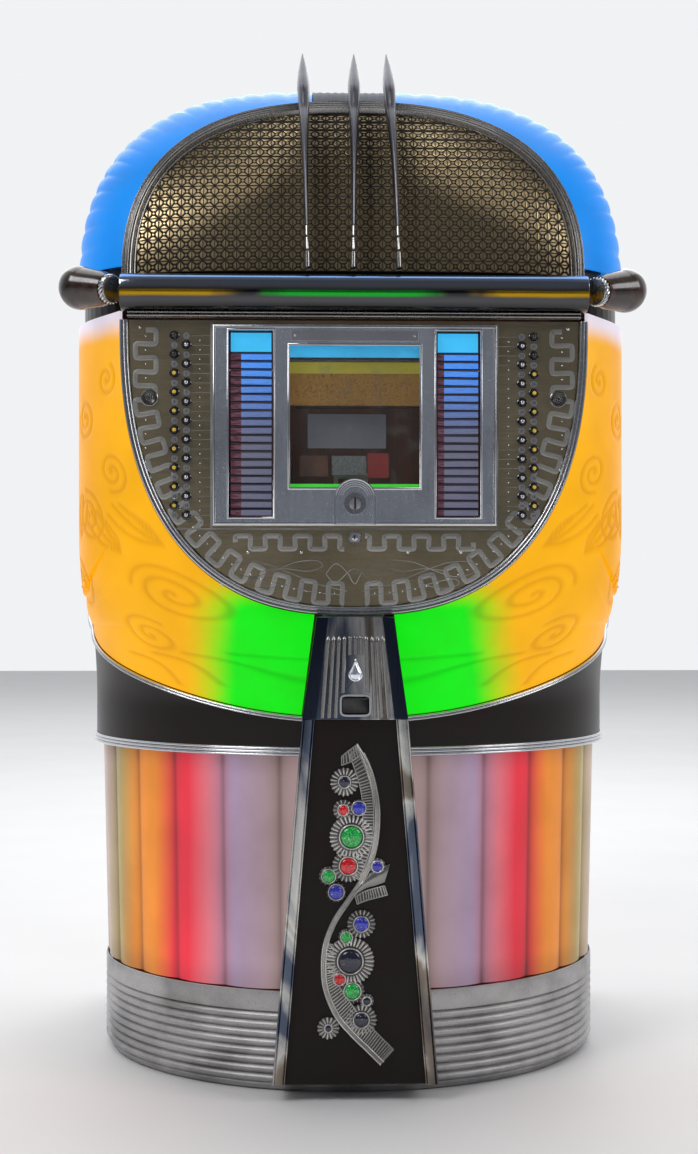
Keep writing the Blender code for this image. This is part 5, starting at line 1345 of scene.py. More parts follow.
class JUKEBOX_OT_dome(bpy.types.Operator):
    """Make the scalloped dome plastics and the plain crest between them"""

    bl_idname = "jukebox.dome"
    bl_label = "Dome plastics"

    def execute(self, context):
        want = context.scene.jukebox_sizes
        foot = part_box("dome_plastic_right")[0].z
        foot_share = math.asin(((foot - SHOULDER) / DOME_RISE) ** (DOME_FRONT_POWER / 2)) * 2 / math.pi
        crown = math.acos((CREST_HALF / ARCH_BOX[1].x) ** (ARCH_POWER / 2))
        crown_share = math.acos((CREST_HALF / BODY_HALF) ** (DOME_FRONT_POWER / 2)) * 2 / math.pi
        low, high = ARCH_BOX[0].z, ARCH_BOX[1].z
        arch_foot = math.asin(((foot - low) / (high - low)) ** (ARCH_POWER / 2))
        steps, columns = want.scallops * 10, 34
        rows, hollow_shades = [], []
        for i in range(steps + 1):
            part = i / steps
            inner = arch_edge(arch_foot + (crown - arch_foot) * part, -SEAM)
            x, z = dome_outline(foot_share + (crown_share - foot_share) * part)
            wave = (1.0 - abs(math.sin(math.pi * want.scallops * part))) ** 1.4
            row = []
            for k in range(columns + 1):
                share = k / columns
                spot = Vector(skin_point(inner, (x, JOINT_Y, z), share, front_y(*inner)))
                hollow = wave * want.scallop * eased(share, 0.15, 0.9)
                way = Vector((spot.x, (spot.y - JOINT_Y), spot.z - SHOULDER + 0.10)).normalized()
                row.append(tuple(spot - way * hollow))
                # painted shade in the scallops' hollows, stored for the dome's finish
                hollow_shades.append(wave * eased(share, 0.15, 0.9))
            rows.append(row)
        for side, grid in (("right", rows), ("left", flipped(rows))):
            Solid().walled(grid, WALL, fold=hollow_shades).piece(
                "dome_scalloped_" + side, "dome", slot="blue_plastic", replaces=("dome_plastic_" + side,),
                angle=60.0)
        self.crest()
        return {"FINISHED"}

    def crest(self):
        """The plain grey crest between the outer fins, with fine upright lines."""
        half = CREST_HALF - SEAM
        low = arch_edge(math.pi / 2, -SEAM)[1]
        rows = []
        for i in range(41):
            x = -half + half * 2 * i / 40
            fall = (1.0 - (abs(x) / BODY_HALF) ** DOME_FRONT_POWER) ** (1.0 / DOME_FRONT_POWER)
            top = SHOULDER + DOME_RISE * fall
            row = []
            for k in range(25):
                z = low + (top - low) * math.sin(k / 24 * math.pi / 2)
                dip = 0.0008 * abs(math.sin(i * math.pi / 4))
                row.append((x, front_y(x, z) + dip, z - dip))
            rows.append(row)
        Solid().walled(rows, WALL).piece("dome_crest_plain", "crest", slot="grey_metal",
                                         replaces=("dome_crest",))


class JUKEBOX_OT_grille(bpy.types.Operator):
    """Make the ribbed arch, the pressed grille and the near-black sheet behind it, painted as the shade between
    the squares
    """

    bl_idname = "jukebox.grille"
    bl_label = "Grille"

    def execute(self, context):
        self.arch()
        self.sheet()
        self.lattice(context.scene.jukebox_sizes.lattice_pitch)
        return {"FINISHED"}

    def arch(self):
        """The frame round the grille: ribs of unlike widths across one section."""
        outline = mirror_outline(lambda angle: arch_edge(angle, ARCH_WIDTH / 2), 110)
        path = [(x, front_y(x, z), z) for x, z in outline]
        outs = [front_normal(x, z) for x, z in outline]
        half = ARCH_WIDTH / 2
        section = [(half, 0.0004)]
        edges = (0.0, 0.16, 0.36, 0.58, 0.80, 1.0)
        heights = (0.005, 0.010, 0.0085, 0.0065, 0.0045)
        for (low, high), rise in zip(zip(edges, edges[1:]), heights):
            for k in range(1, 8):
                share = k / 8
                side = half - ARCH_WIDTH * (low + (high - low) * share)
                section.append((side, 0.0022 + rise * math.sin(math.pi * share) ** 0.6))
        section += [(-half, 0.0020), (-half, -0.0015), (half, -0.0015)]
        Solid().swept(path, face_frames(path), outs, section).piece(
            "dome_ribbed_arch", "aged_chrome", slot="grey_metal", replaces=("dome_frame",), angle=55.0)

    def sheet(self):
        """The sheet that carries the pressed squares, painted near-black as the shade between them."""
        rows = []
        for i in range(41):
            half, z = arch_edge(math.pi / 2 * 0.97 * i / 40, ARCH_WIDTH * 0.5)
            rows.append([(x, front_y(x, z) + 0.0006, z) for x in np.linspace(-half, half, 61)])
        Solid().walled(rows, 0.0016).piece("grille_cloth", "cloth", slot="bronze_grille",
                                           replaces=("speaker_grille",))

    def lattice(self, pitch):
        """Pressed squares: a raised diamond between four petals, all over the sheet."""
        square = Solid()
        unit = pitch / 2
        self.press(square, [(0.30, 0.0), (0.0, 0.30), (-0.30, 0.0), (0.0, -0.30)], unit, 0.0012)
        for quarter in range(4):
            turn = Matrix.Rotation(math.pi / 2 * quarter, 2)
            petal = [turn @ Vector(p) for p in ((-0.74, 0.93), (-0.22, 0.46), (0.22, 0.46), (0.74, 0.93))]
            self.press(square, petal, unit, 0.0010)
        spots = []
        half, low, high = ARCH_BOX[1].x - ARCH_WIDTH * 0.6, ARCH_BOX[0].z, ARCH_BOX[1].z - ARCH_WIDTH * 0.6
        for row in range(int((high - low) / pitch) + 2):
            z = low + pitch * (row + 0.5)
            for column in range(-int(half / pitch) - 1, int(half / pitch) + 2):
                x = column * pitch
                rise = (z - low) / (high - low)
                if rise >= 1.0 or abs(x) > half * (1.0 - rise ** ARCH_POWER) ** (1 / ARCH_POWER):
                    continue
                way = front_normal(x, z)
                turn = Vector((0.0, -1.0, 0.0)).rotation_difference(way).to_euler()
                spots.append(((x, front_y(x, z) + 0.0006, z), turn, 1.0))
        repeated("grille_lattice", square, spots, "bronze", angle=20.0)

    def press(self, square, outline, unit, rise):
        """Add a small raised island with chamfered sides, facing -Y."""
        middle = sum((Vector(p) for p in outline), Vector((0.0, 0.0))) / len(outline)
        rings = []
        for scale, y in ((1.0, 0.0004), (1.0, -rise * 0.4), (0.72, -rise)):
            spots = [middle + (Vector(p) - middle) * scale for p in outline]
            rings.append([(spot.x * unit, y, spot.y * unit) for spot in spots])
        square.stacked(rings)


class JUKEBOX_OT_fins(bpy.types.Operator):
    """Make the three dark fins with their stepped bright feet"""

    bl_idname = "jukebox.fins"
    bl_label = "Fins"

    def execute(self, context):
        leans = {"left": -0.009, "centre": 0.006, "right": -0.012}
        places = {"left": -0.075, "centre": -0.003, "right": 0.070}
        low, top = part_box("fin_left")[0].z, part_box("fin_left")[1].z
        blade = [(1.388, 0.0028, 0.012), (1.430, 0.0034, 0.016), (1.480, 0.0044, 0.023),
                 (1.560, 0.0070, 0.036),
                 (1.622, 0.0096, 0.045), (1.652, 0.0102, 0.040), (1.688, 0.0066, 0.022), (top, 0.0009, 0.003)]
        for side, place in places.items():
            lean = leans[side] / (top - low)
            levels = [smoothly(blade, k / 60) for k in range(61)]
            self.fin(place, lean, low, levels).piece(
                "fin_blade_" + side, "fin_metal", slot="dark_fin", replaces=("fin_" + side,), angle=40.0)
            feet = Solid()
            for foot_low, foot_high, half, deep in ((low, 1.3445, 0.0046, 0.016),
                                                    (1.3465, 1.3675, 0.0036, 0.014),
                                                    (1.3695, 1.3875, 0.0029, 0.0128)):
                steps = [(foot_low, half * 0.8, deep * 0.9), (foot_low + 0.0015, half, deep),
                         (foot_high - 0.0015, half, deep), (foot_high, half * 0.8, deep * 0.9)]
                stack = self.fin(place, lean, low, steps)
                feet.add(stack.points, stack.faces)
            feet.piece("fin_feet_" + side, "aged_chrome", slot="dark_fin")
        return {"FINISHED"}

    def fin(self, place, lean, low, levels):
        """A lens-shaped upright through (height, half width, depth) levels."""
        stand = 1.600
        proud = 0.0152
        around = 16
        rings = []
        for z, half, depth in levels:
            x = place + lean * (z - low)
            back = front_y(place, min(z, stand)) - proud + 0.45 * max(z - stand, 0.0)
            ring = []
            for k in range(around):
                angle = 2 * math.pi * k / around
                c, s = math.cos(angle), math.sin(angle)
                ring.append((x + half * math.copysign(abs(c) ** 0.9, c), back - depth / 2 - depth / 2 * s, z))
            rings.append(ring)
        return Solid().stacked(rings)


class JUKEBOX_OT_visor(bpy.types.Operator):
    """Make the convex visor, its lower trim, the end caps and their twisted rings"""

    bl_idname = "jukebox.visor"
    bl_label = "Visor"

    def execute(self, context):
        low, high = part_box("visor_bar")
        bottom = low.z + 0.0105
        deep, tall = high.y - low.y - 0.004, high.z - bottom
        knots = [(0.0, 0.0), (0.30, 0.01), (0.62, 0.06), (0.88, 0.20), (0.985, 0.40), (1.0, 0.52),
                 (0.955, 0.72),
                 (0.80, 0.87), (0.52, 0.965), (0.20, 0.995), (0.0, 1.0)]
        curve = [smoothly(knots, k / 44) for k in range(45)]
        half = high.x
        section = [((v - 0.5) * tall, u * deep) for u, v in curve]
        section += [(0.5 * tall, -0.0002), (-0.5 * tall, -0.0002)]
        ends = [-1.0, -0.9975, -0.99, *np.linspace(-0.9, 0.9, 19), 0.99, 0.9975, 1.0]
        middle = bottom + tall / 2
        rings = []
        for share in ends:
            squeeze = 0.90 if abs(share) > 0.999 else 0.97 if abs(share) > 0.995 else 1.0
            rings.append([(share * half, high.y - 0.004 - b * squeeze, middle + a * squeeze)
                          for a, b in section])
        Solid().stacked(rings).piece(
            "visor_convex", "visor_chrome", slot="chrome", replaces=("visor_bar",), angle=40.0)
        reach = half - 0.011
        path = [(x, high.y - 0.010, low.z + 0.0055) for x in np.linspace(-reach, reach, 9)]
        trim = ribs(0.0105, 2, 0.0050, 0.0010, 8, -0.006)
        Solid().swept(path, [(0.0, 0.0, 1.0)] * 9, [(0.0, -1.0, 0.0)] * 9, trim).piece(
            "visor_trim", "aged_chrome", slot="chrome", angle=50.0)
        for side, sign in (("left", -1), ("right", 1)):
            self.cap(side, sign)
        return {"FINISHED"}

    def cap(self, side, sign):
        """A dark glossy bulb on a neck, behind a twisted bright ring."""
        start = Vector((0.3725 * sign, (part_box("visor_bar")[0].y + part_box("visor_bar")[1].y) / 2 - 0.001,
                        1.2815))
        bulb = Vector((0.441 * sign, JOINT_Y - 0.317, 1.295))
        way = (bulb - start).normalized()
        start += way * 0.013
        reach = (bulb - start).length
        radius = 0.0350
        profile = [(0.0, reach + radius)]
        for k in range(1, 20):
            angle = math.pi / 2 - math.radians(6.0) * k
            profile.append((radius * math.cos(angle), reach + radius * math.sin(angle)))
        profile += [(0.0275, 0.022), (0.0235, 0.012), (0.0, 0.011)]
        Solid().turned(profile, start, way, 64).piece(
            "visor_bulb_" + side, "brown", slot="dark_cap", replaces=("visor_cap_" + side,))
        collar = [(0.0, 0.0122), (0.0205, 0.0122), (0.0215, 0.0105), (0.0205, 0.0060), (0.0215, 0.0015),
                  (0.0205, 0.0), (0.0, 0.0)]
        Solid().turned(collar, start, way, 64).piece("visor_collar_" + side, "aged_chrome", slot="chrome")
        bead = Solid().turned([(0.0, 0.0062), (0.0012, 0.0056), (0.0019, 0.0034), (0.0021, 0.0),
                               (0.0019, -0.0034),
                               (0.0012, -0.0056), (0.0, -0.0062)], (0, 0, 0), (0, 0, 1), 8)
        turn = way.to_track_quat("Z", "Y")
        spots = []
        for k in range(22):
            angle = 2 * math.pi * k / 22
            place = start + turn @ Vector((0.0215 * math.cos(angle), 0.0215 * math.sin(angle), 0.006))
            lean = Matrix.Rotation(angle, 3, "Z") @ Matrix.Rotation(math.radians(38), 3, "X")
            spin = turn @ lean.to_quaternion()
            spots.append((place, spin.to_euler(), 1.0))
        repeated("visor_twist_" + side, bead, spots, "chrome")


# ---------------------------------------------------------------------------
# Selector door
# ---------------------------------------------------------------------------

def button_rows():
    """(x without sign, z, column) of each button row, from the top down."""
    for row in range(ROWS):
        column = "outer" if row % 2 == 0 else "inner"
        x = BUTTON_OUTER_X if column == "outer" else BUTTON_INNER_X
        yield x, BUTTON_TOP - BUTTON_PITCH * row, column


def strip_along(path, width, thick, y):
    """A thin flat strip laid on the door along (x, z) points."""
    made = Solid()
    spots = [(x, y, z) for x, z in path]
    section = [(width / 2, 0.0), (width / 2, thick * 0.7), (width / 2 - thick, thick),
               (thick - width / 2, thick),
               (-width / 2, thick * 0.7), (-width / 2, 0.0)]
    return made.swept(spots, face_frames(spots), [(0.0, -1.0, 0.0)] * len(spots), section)


def joined(solids):
    """Several gathered shapes as one."""
    whole = Solid()
    for solid in solids:
        whole.add(solid.points, solid.faces)
    return whole


def winding(centre, normal, amplitude, length, width):
    """A path that winds to and fro about a centre line; both are functions of distance along it."""
    count = max(int(length / 0.0020), 8)
    points = []
    for k in range(count + 1):
        s = length * k / count
        phase = 2 * math.pi * s / width
        swing = math.tanh(2.4 * math.sin(phase)) / math.tanh(2.4)
        back = 0.10 * width * math.sin(2 * phase)
        x, z = centre(s - back)
        nx, nz = normal(s - back)
        reach = amplitude(s) * swing
        points.append((x + nx * reach, z + nz * reach))
    return points


class JUKEBOX_OT_door(bpy.types.Operator):
    """Make the selector door's plate, trim, inlays, numbers and rivets"""

    bl_idname = "jukebox.door"
    bl_label = "Selector door"

    INLAY_X = 0.3325             # middle of the upright part of the winding inlay
    INLAY_TOP = 1.222
    INLAY_INSET = 0.034          # from the door's edge to the middle of the inlay
    INLAY_STEP = 0.004
    LINE_LOW, LINE_HIGH = 0.9040, 0.9068

    def execute(self, context):
        repainted("selector_panel", "panel")
        self.trim()
        self.inlay(context.scene.jukebox_sizes.meander_width)
        self.lines()
        self.rivets()
        self.numbers()
        self.flourish()
        for side in ("left", "right"):
            self.plug(side)
        return {"FINISHED"}

    def trim(self):
        """The ribbed U round the door."""
        outline = mirror_outline(lambda angle: door_edge(angle, -DOOR_TRIM_WIDTH / 2), 130)
        path = [(x, DOOR_FACE, z) for x, z in outline]
        half = DOOR_TRIM_WIDTH / 2
        section = [(half, 0.0), (half, 0.0022)]
        for low, high, rise in ((0.0, 0.30, 0.0034), (0.34, 0.62, 0.0056), (0.66, 0.96, 0.0040)):
            for k in range(1, 8):
                share = k / 8
                side = half - DOOR_TRIM_WIDTH * (low + (high - low) * share)
                section.append((side, 0.0006 + (rise - 0.0006) * math.sin(math.pi * share) ** 0.6))
        section += [(-half, 0.0010), (-half, -0.0080), (half, -0.0080)]
        Solid().swept(path, face_frames(path), [(0.0, -1.0, 0.0)] * len(path), section).piece(
            "door_ribbed_trim", "chrome", "selector_door", "chrome", ("door_trim",), angle=50.0)

    def inlay(self, width):
        """The winding pale inlay down both sides, round the foot and under the bezel."""
        edge = [Vector(door_edge(math.pi / 2 * k / 200, -self.INLAY_INSET)) for k in range(201)]
        spots = [Vector((self.INLAY_X, self.INLAY_TOP)), Vector((self.INLAY_X, 1.150))]
        spots = self.evened(spots + [p for p in edge if p.y < 1.145 and p.x <= 0.334], self.INLAY_STEP)
        count = len(spots)

        def centre(s):
            place = min(max(s / self.INLAY_STEP, 0.0), count - 1.001)
            k = int(place)
            return tuple(spots[k] + (spots[min(k + 1, count - 1)] - spots[k]) * (place - k))

        def normal(s):
            a, b = Vector(centre(s - 0.012)), Vector(centre(s + 0.012))
            run = (b - a).normalized()
            return run.y, -run.x

        length = (count - 1) * self.INLAY_STEP
        path = winding(centre, normal, lambda s: 0.0165, length - 0.012, 0.0445)
        lines = [[(sign * x, z) for x, z in path] for sign in (1, -1)]
        under = winding(lambda s: (s - 0.190, 0.884), lambda s: (0.0, 1.0), lambda s: 0.0105, 0.380, 0.0475)
        lines += [[p for p in under if p[0] < -0.014], [p for p in under if p[0] > 0.014]]
        joined([strip_along(line, width, 0.0005, DOOR_FACE) for line in lines]).piece(
            "door_winding_inlay", "inlay", "selector_door", "panel_metal", angle=50.0)

    def evened(self, points, step):
        """The same path with a point at every step of distance."""
        made, carry = [points[0]], 0.0
        for a, b in zip(points, points[1:]):
            length = (b - a).length
            travelled = step - carry
            while travelled <= length:
                made.append(a + (b - a) * (travelled / length))
                travelled += step
            carry = (carry + length) % step
        return made

    def lines(self):
        """Thin bright lines from each button to the bezel, and the line under the bezel."""
        solids = []
        y = DOOR_FACE
        edge = BEZEL_BOX[1].x + 0.0012
        for sign in (-1, 1):
            for x, z, _ in button_rows():
                ends = sorted((sign * (BUTTON_INNER_X - 0.0085), sign * edge))
                if x == BUTTON_OUTER_X:
                    ends = sorted((sign * (BUTTON_INNER_X - 0.0075), sign * edge))
                solids.append(Solid().block((ends[0], y - 0.0005, z - 0.0004), (ends[1], y, z + 0.0004)))
            fall = (DOOR_BOX[1].z - 0.9055) / (DOOR_BOX[1].z - DOOR_BOX[0].z)
            reach = door_edge(math.asin(fall ** (DOOR_POWER / 2)), -DOOR_TRIM_WIDTH)[0]
            ends = sorted((sign * 0.012, sign * (reach - 0.001)))
            solids.append(Solid().block((ends[0], y - 0.0008, self.LINE_LOW), (ends[1], y, self.LINE_HIGH)))
            ends = sorted((sign * (edge - 0.0008), sign * (edge + 0.0022)))
            solids.append(Solid().block((ends[0], y - 0.0012, 0.9070), (ends[1], y, DOOR_BOX[1].z - 0.004)))
        joined(solids).piece("door_bright_lines", "pale_line", "selector_door", "chrome")

    def rivets(self):
        """Small bright studs: one between each pair of lines and one in each bend of the inlay."""
        stud = Solid().turned([(0.0, 0.0011), (0.0008, 0.0010), (0.0014, 0.0006), (0.0016, 0.0), (0.0, 0.0)],
                              (0, 0, 0), (0, -1, 0), 10)
        spots = []
        for sign in (-1, 1):
            for _, z, _ in button_rows():
                spots.append(upright(sign * 0.2465, DOOR_FACE, z - BUTTON_PITCH / 2, 0.7))
            for k in range(11):
                z = 1.2120 - 0.02225 * k
                if z > 0.985 and abs(z - 1.114) > 0.014:
                    spots.append(upright(sign * 0.3325, DOOR_FACE, z, 0.8))
            for k in range(24):
                x, z = door_edge(math.pi / 2 * (0.20 + 0.80 * k / 24), -self.INLAY_INSET)
                if z < 0.96:
                    spots.append(upright(sign * x, DOOR_FACE, z, 0.8))
            for x, z in ((0.170, 0.868), (0.085, 0.868), (0.330, 1.000), (0.342, 1.226), (0.212, 0.816)):
                spots.append(upright(sign * x, DOOR_FACE, z, 1.5))
        repeated("door_studs", stud, spots, "chrome", "selector_door")

    def numbers(self):
        """The numbers one to forty beside their buttons, on small pale plates."""
        plate = Solid().turned([(0.0, 0.0006), (0.0050, 0.0006), (0.0055, 0.0), (0.0, 0.0)],
                               (0, 0, 0), (0, -1, 0), 20)
        spots, solids = [], Solid()
        for side, sign in enumerate((-1, 1)):
            for row, (_, z, column) in enumerate(button_rows()):
                spot = sign * (BUTTON_INNER_X if column == "outer" else BUTTON_OUTER_X)
                spots.append(upright(spot, DOOR_FACE, z))
                points, faces = self.digits(str(row + 1 + ROWS * side), 0.0064)
                solids.add([(spot + px, DOOR_FACE - 0.0006 + py, z + pz) for px, py, pz in points], faces)
        repeated("number_plates", plate, spots, "label_plate", "selector_door")
        solids.piece("selection_numbers", "black", "selector_door", "black_bakelite")

    def digits(self, text, height):
        """Points and faces of a number, centred, upright and facing -Y."""
        curve = bpy.data.curves.new("digits", "FONT")
        curve.body = text
        curve.size = height
        curve.extrude = 0.00012
        curve.resolution_u = 3
        curve.align_x, curve.align_y = "CENTER", "CENTER"
        holder = bpy.data.objects.new("digits", curve)
        bpy.context.scene.collection.objects.link(holder)
        graph = bpy.context.evaluated_depsgraph_get()
        mesh = bpy.data.meshes.new_from_object(holder.evaluated_get(graph))
        points = [(v.co.x, -v.co.z, v.co.y) for v in mesh.vertices]
        faces = [tuple(p.vertices) for p in mesh.polygons]
        bpy.data.objects.remove(holder, do_unlink=True)
        bpy.data.meshes.remove(mesh)
        return points, faces

    def flourish(self):
        """Plain looping scrolls in bright wire on the lower field."""
        half = [
            [(0.012, 0.806), (0.060, 0.818), (0.105, 0.836), (0.150, 0.852), (0.186, 0.852), (0.192, 0.838),
             (0.165, 0.829), (0.130, 0.838), (0.095, 0.852), (0.062, 0.855), (0.052, 0.846), (0.075, 0.838),
             (0.112, 0.842), (0.150, 0.838)],
            [(0.020, 0.800), (0.075, 0.806), (0.120, 0.818), (0.158, 0.826), (0.166, 0.817), (0.140, 0.811),
             (0.100, 0.819)],
        ]
        wires = []
        middle = [(-0.046, 0.834), (-0.030, 0.850), (-0.012, 0.836), (0.0, 0.818), (0.012, 0.836),
                  (0.030, 0.850),
                  (0.046, 0.834), (0.030, 0.820), (0.0, 0.842), (-0.030, 0.820), (-0.046, 0.834)]
        for line in half:
            path = [smoothly(line, k / 110) for k in range(111)]
            wires += [strip_along(path, 0.0013, 0.0006, DOOR_FACE),
                      strip_along([(-x, z) for x, z in path], 0.0013, 0.0006, DOOR_FACE)]
        wires.append(strip_along([smoothly(middle, k / 110) for k in range(111)], 0.0016, 0.0007, DOOR_FACE))
        joined(wires).piece("door_flourish", "pale_line", "selector_door", "chrome")

    def plug(self, side):
        """A pierced black plug in a bright ring."""
        low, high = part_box("panel_plug_" + side)
        centre = ((low.x + high.x) / 2, DOOR_FACE, (low.z + high.z) / 2)
        profile = [(0.0, 0.0030), (0.0030, 0.0034), (0.0062, 0.0040), (0.0086, 0.0050), (0.0100, 0.0055),
                   (0.0108, 0.0046), (0.0112, 0.0020), (0.0114, 0.0), (0.0, 0.0)]
        Solid().turned(profile, centre, steps=48).piece(
            "plug_cup_" + side, "black", "selector_door", "black_bakelite", ("panel_plug_" + side,))
        ring = [(0.0, 0.0012), (0.0118, 0.0012), (0.0126, 0.0018), (0.0134, 0.0012), (0.0136, 0.0),
                (0.0, 0.0)]
        Solid().turned(ring, centre, steps=48).piece(
            "plug_ring_" + side, "aged_chrome", "selector_door", "chrome")
        bead = Solid().turned([(0.0, 0.0008), (0.0007, 0.0004), (0.0008, 0.0), (0.0, 0.0)], (0, 0, 0),
                              (0, -1, 0), 8)
        spots = []
        for ring_number, (radius, count) in enumerate(((0.0028, 6), (0.0056, 12))):
            for k in range(count):
                angle = 2 * math.pi * k / count + ring_number * 0.2
                spots.append(upright(centre[0] + radius * math.cos(angle), DOOR_FACE - 0.0036,
                                     centre[2] + radius * math.sin(angle)))
        repeated("plug_beads_" + side, bead, spots, "aged_chrome", "selector_door")


class JUKEBOX_OT_buttons(bpy.types.Operator):
    """Make the forty selector buttons and the collars they slide in"""

    bl_idname = "jukebox.buttons"
    bl_label = "Selector buttons"

    def execute(self, context):
        outside = [(0.0, 0.0096), (0.0020, 0.0093), (0.0034, 0.0084), (0.0040, 0.0072), (0.0044, 0.0075),
                   (0.0052, 0.0074), (0.0056, 0.0066), (0.0057, 0.0050), (0.0057, -0.0030), (0.0, -0.0030)]
        button = Solid().turned(outside, (0, 0, 0), (0, -1, 0), 22)
        tip = Solid().turned([(0.0, 0.0100), (0.0012, 0.0099), (0.0024, 0.0093), (0.0031, 0.0086),
                              (0.0, 0.0080)],
                             (0, 0, 0), (0, -1, 0), 16)
        collar = Solid().turned([(0.0066, 0.0), (0.0064, 0.0014), (0.0070, 0.0022), (0.0079, 0.0016),
                                 (0.0082, 0.0),
                                 (0.0066, 0.0)], (0, 0, 0), (0, -1, 0), 22)
        collars = []
        for side, sign in (("left", -1), ("right", 1)):
            for column in ("outer", "inner"):
                bank = side + "_" + column
                spots = [upright(sign * x, DOOR_FACE, z) for x, z, c in button_rows() if c == column]
                body = "buttons_" + bank
                repeated("button_caps_" + bank, button, spots, "black", body,
                         ("selector_buttons_" + bank,))
                # the amber tips are no lamps: their glow is painted light
                look = "amber_tip" if column == "outer" else "steel"
                lit = [spot for spot in spots if column == "inner" or spot[0][2] < 1.17]
                repeated("button_tips_" + bank, tip, lit, look, body)
                back = DOOR_FACE + 0.0066
                x, _, top = spots[0][0]
                bar = Solid().block((x - 0.0052, back, spots[-1][0][2] - 0.006),
                                    (x + 0.0052, back + 0.0036, top + 0.006))
                bar.piece("button_bar_" + bank, "black", body, "black_bakelite", bevel=0.0006)
                collars += spots
        repeated("button_collars", collar, collars, "dark_chrome", "selector_door")
        return {"FINISHED"}


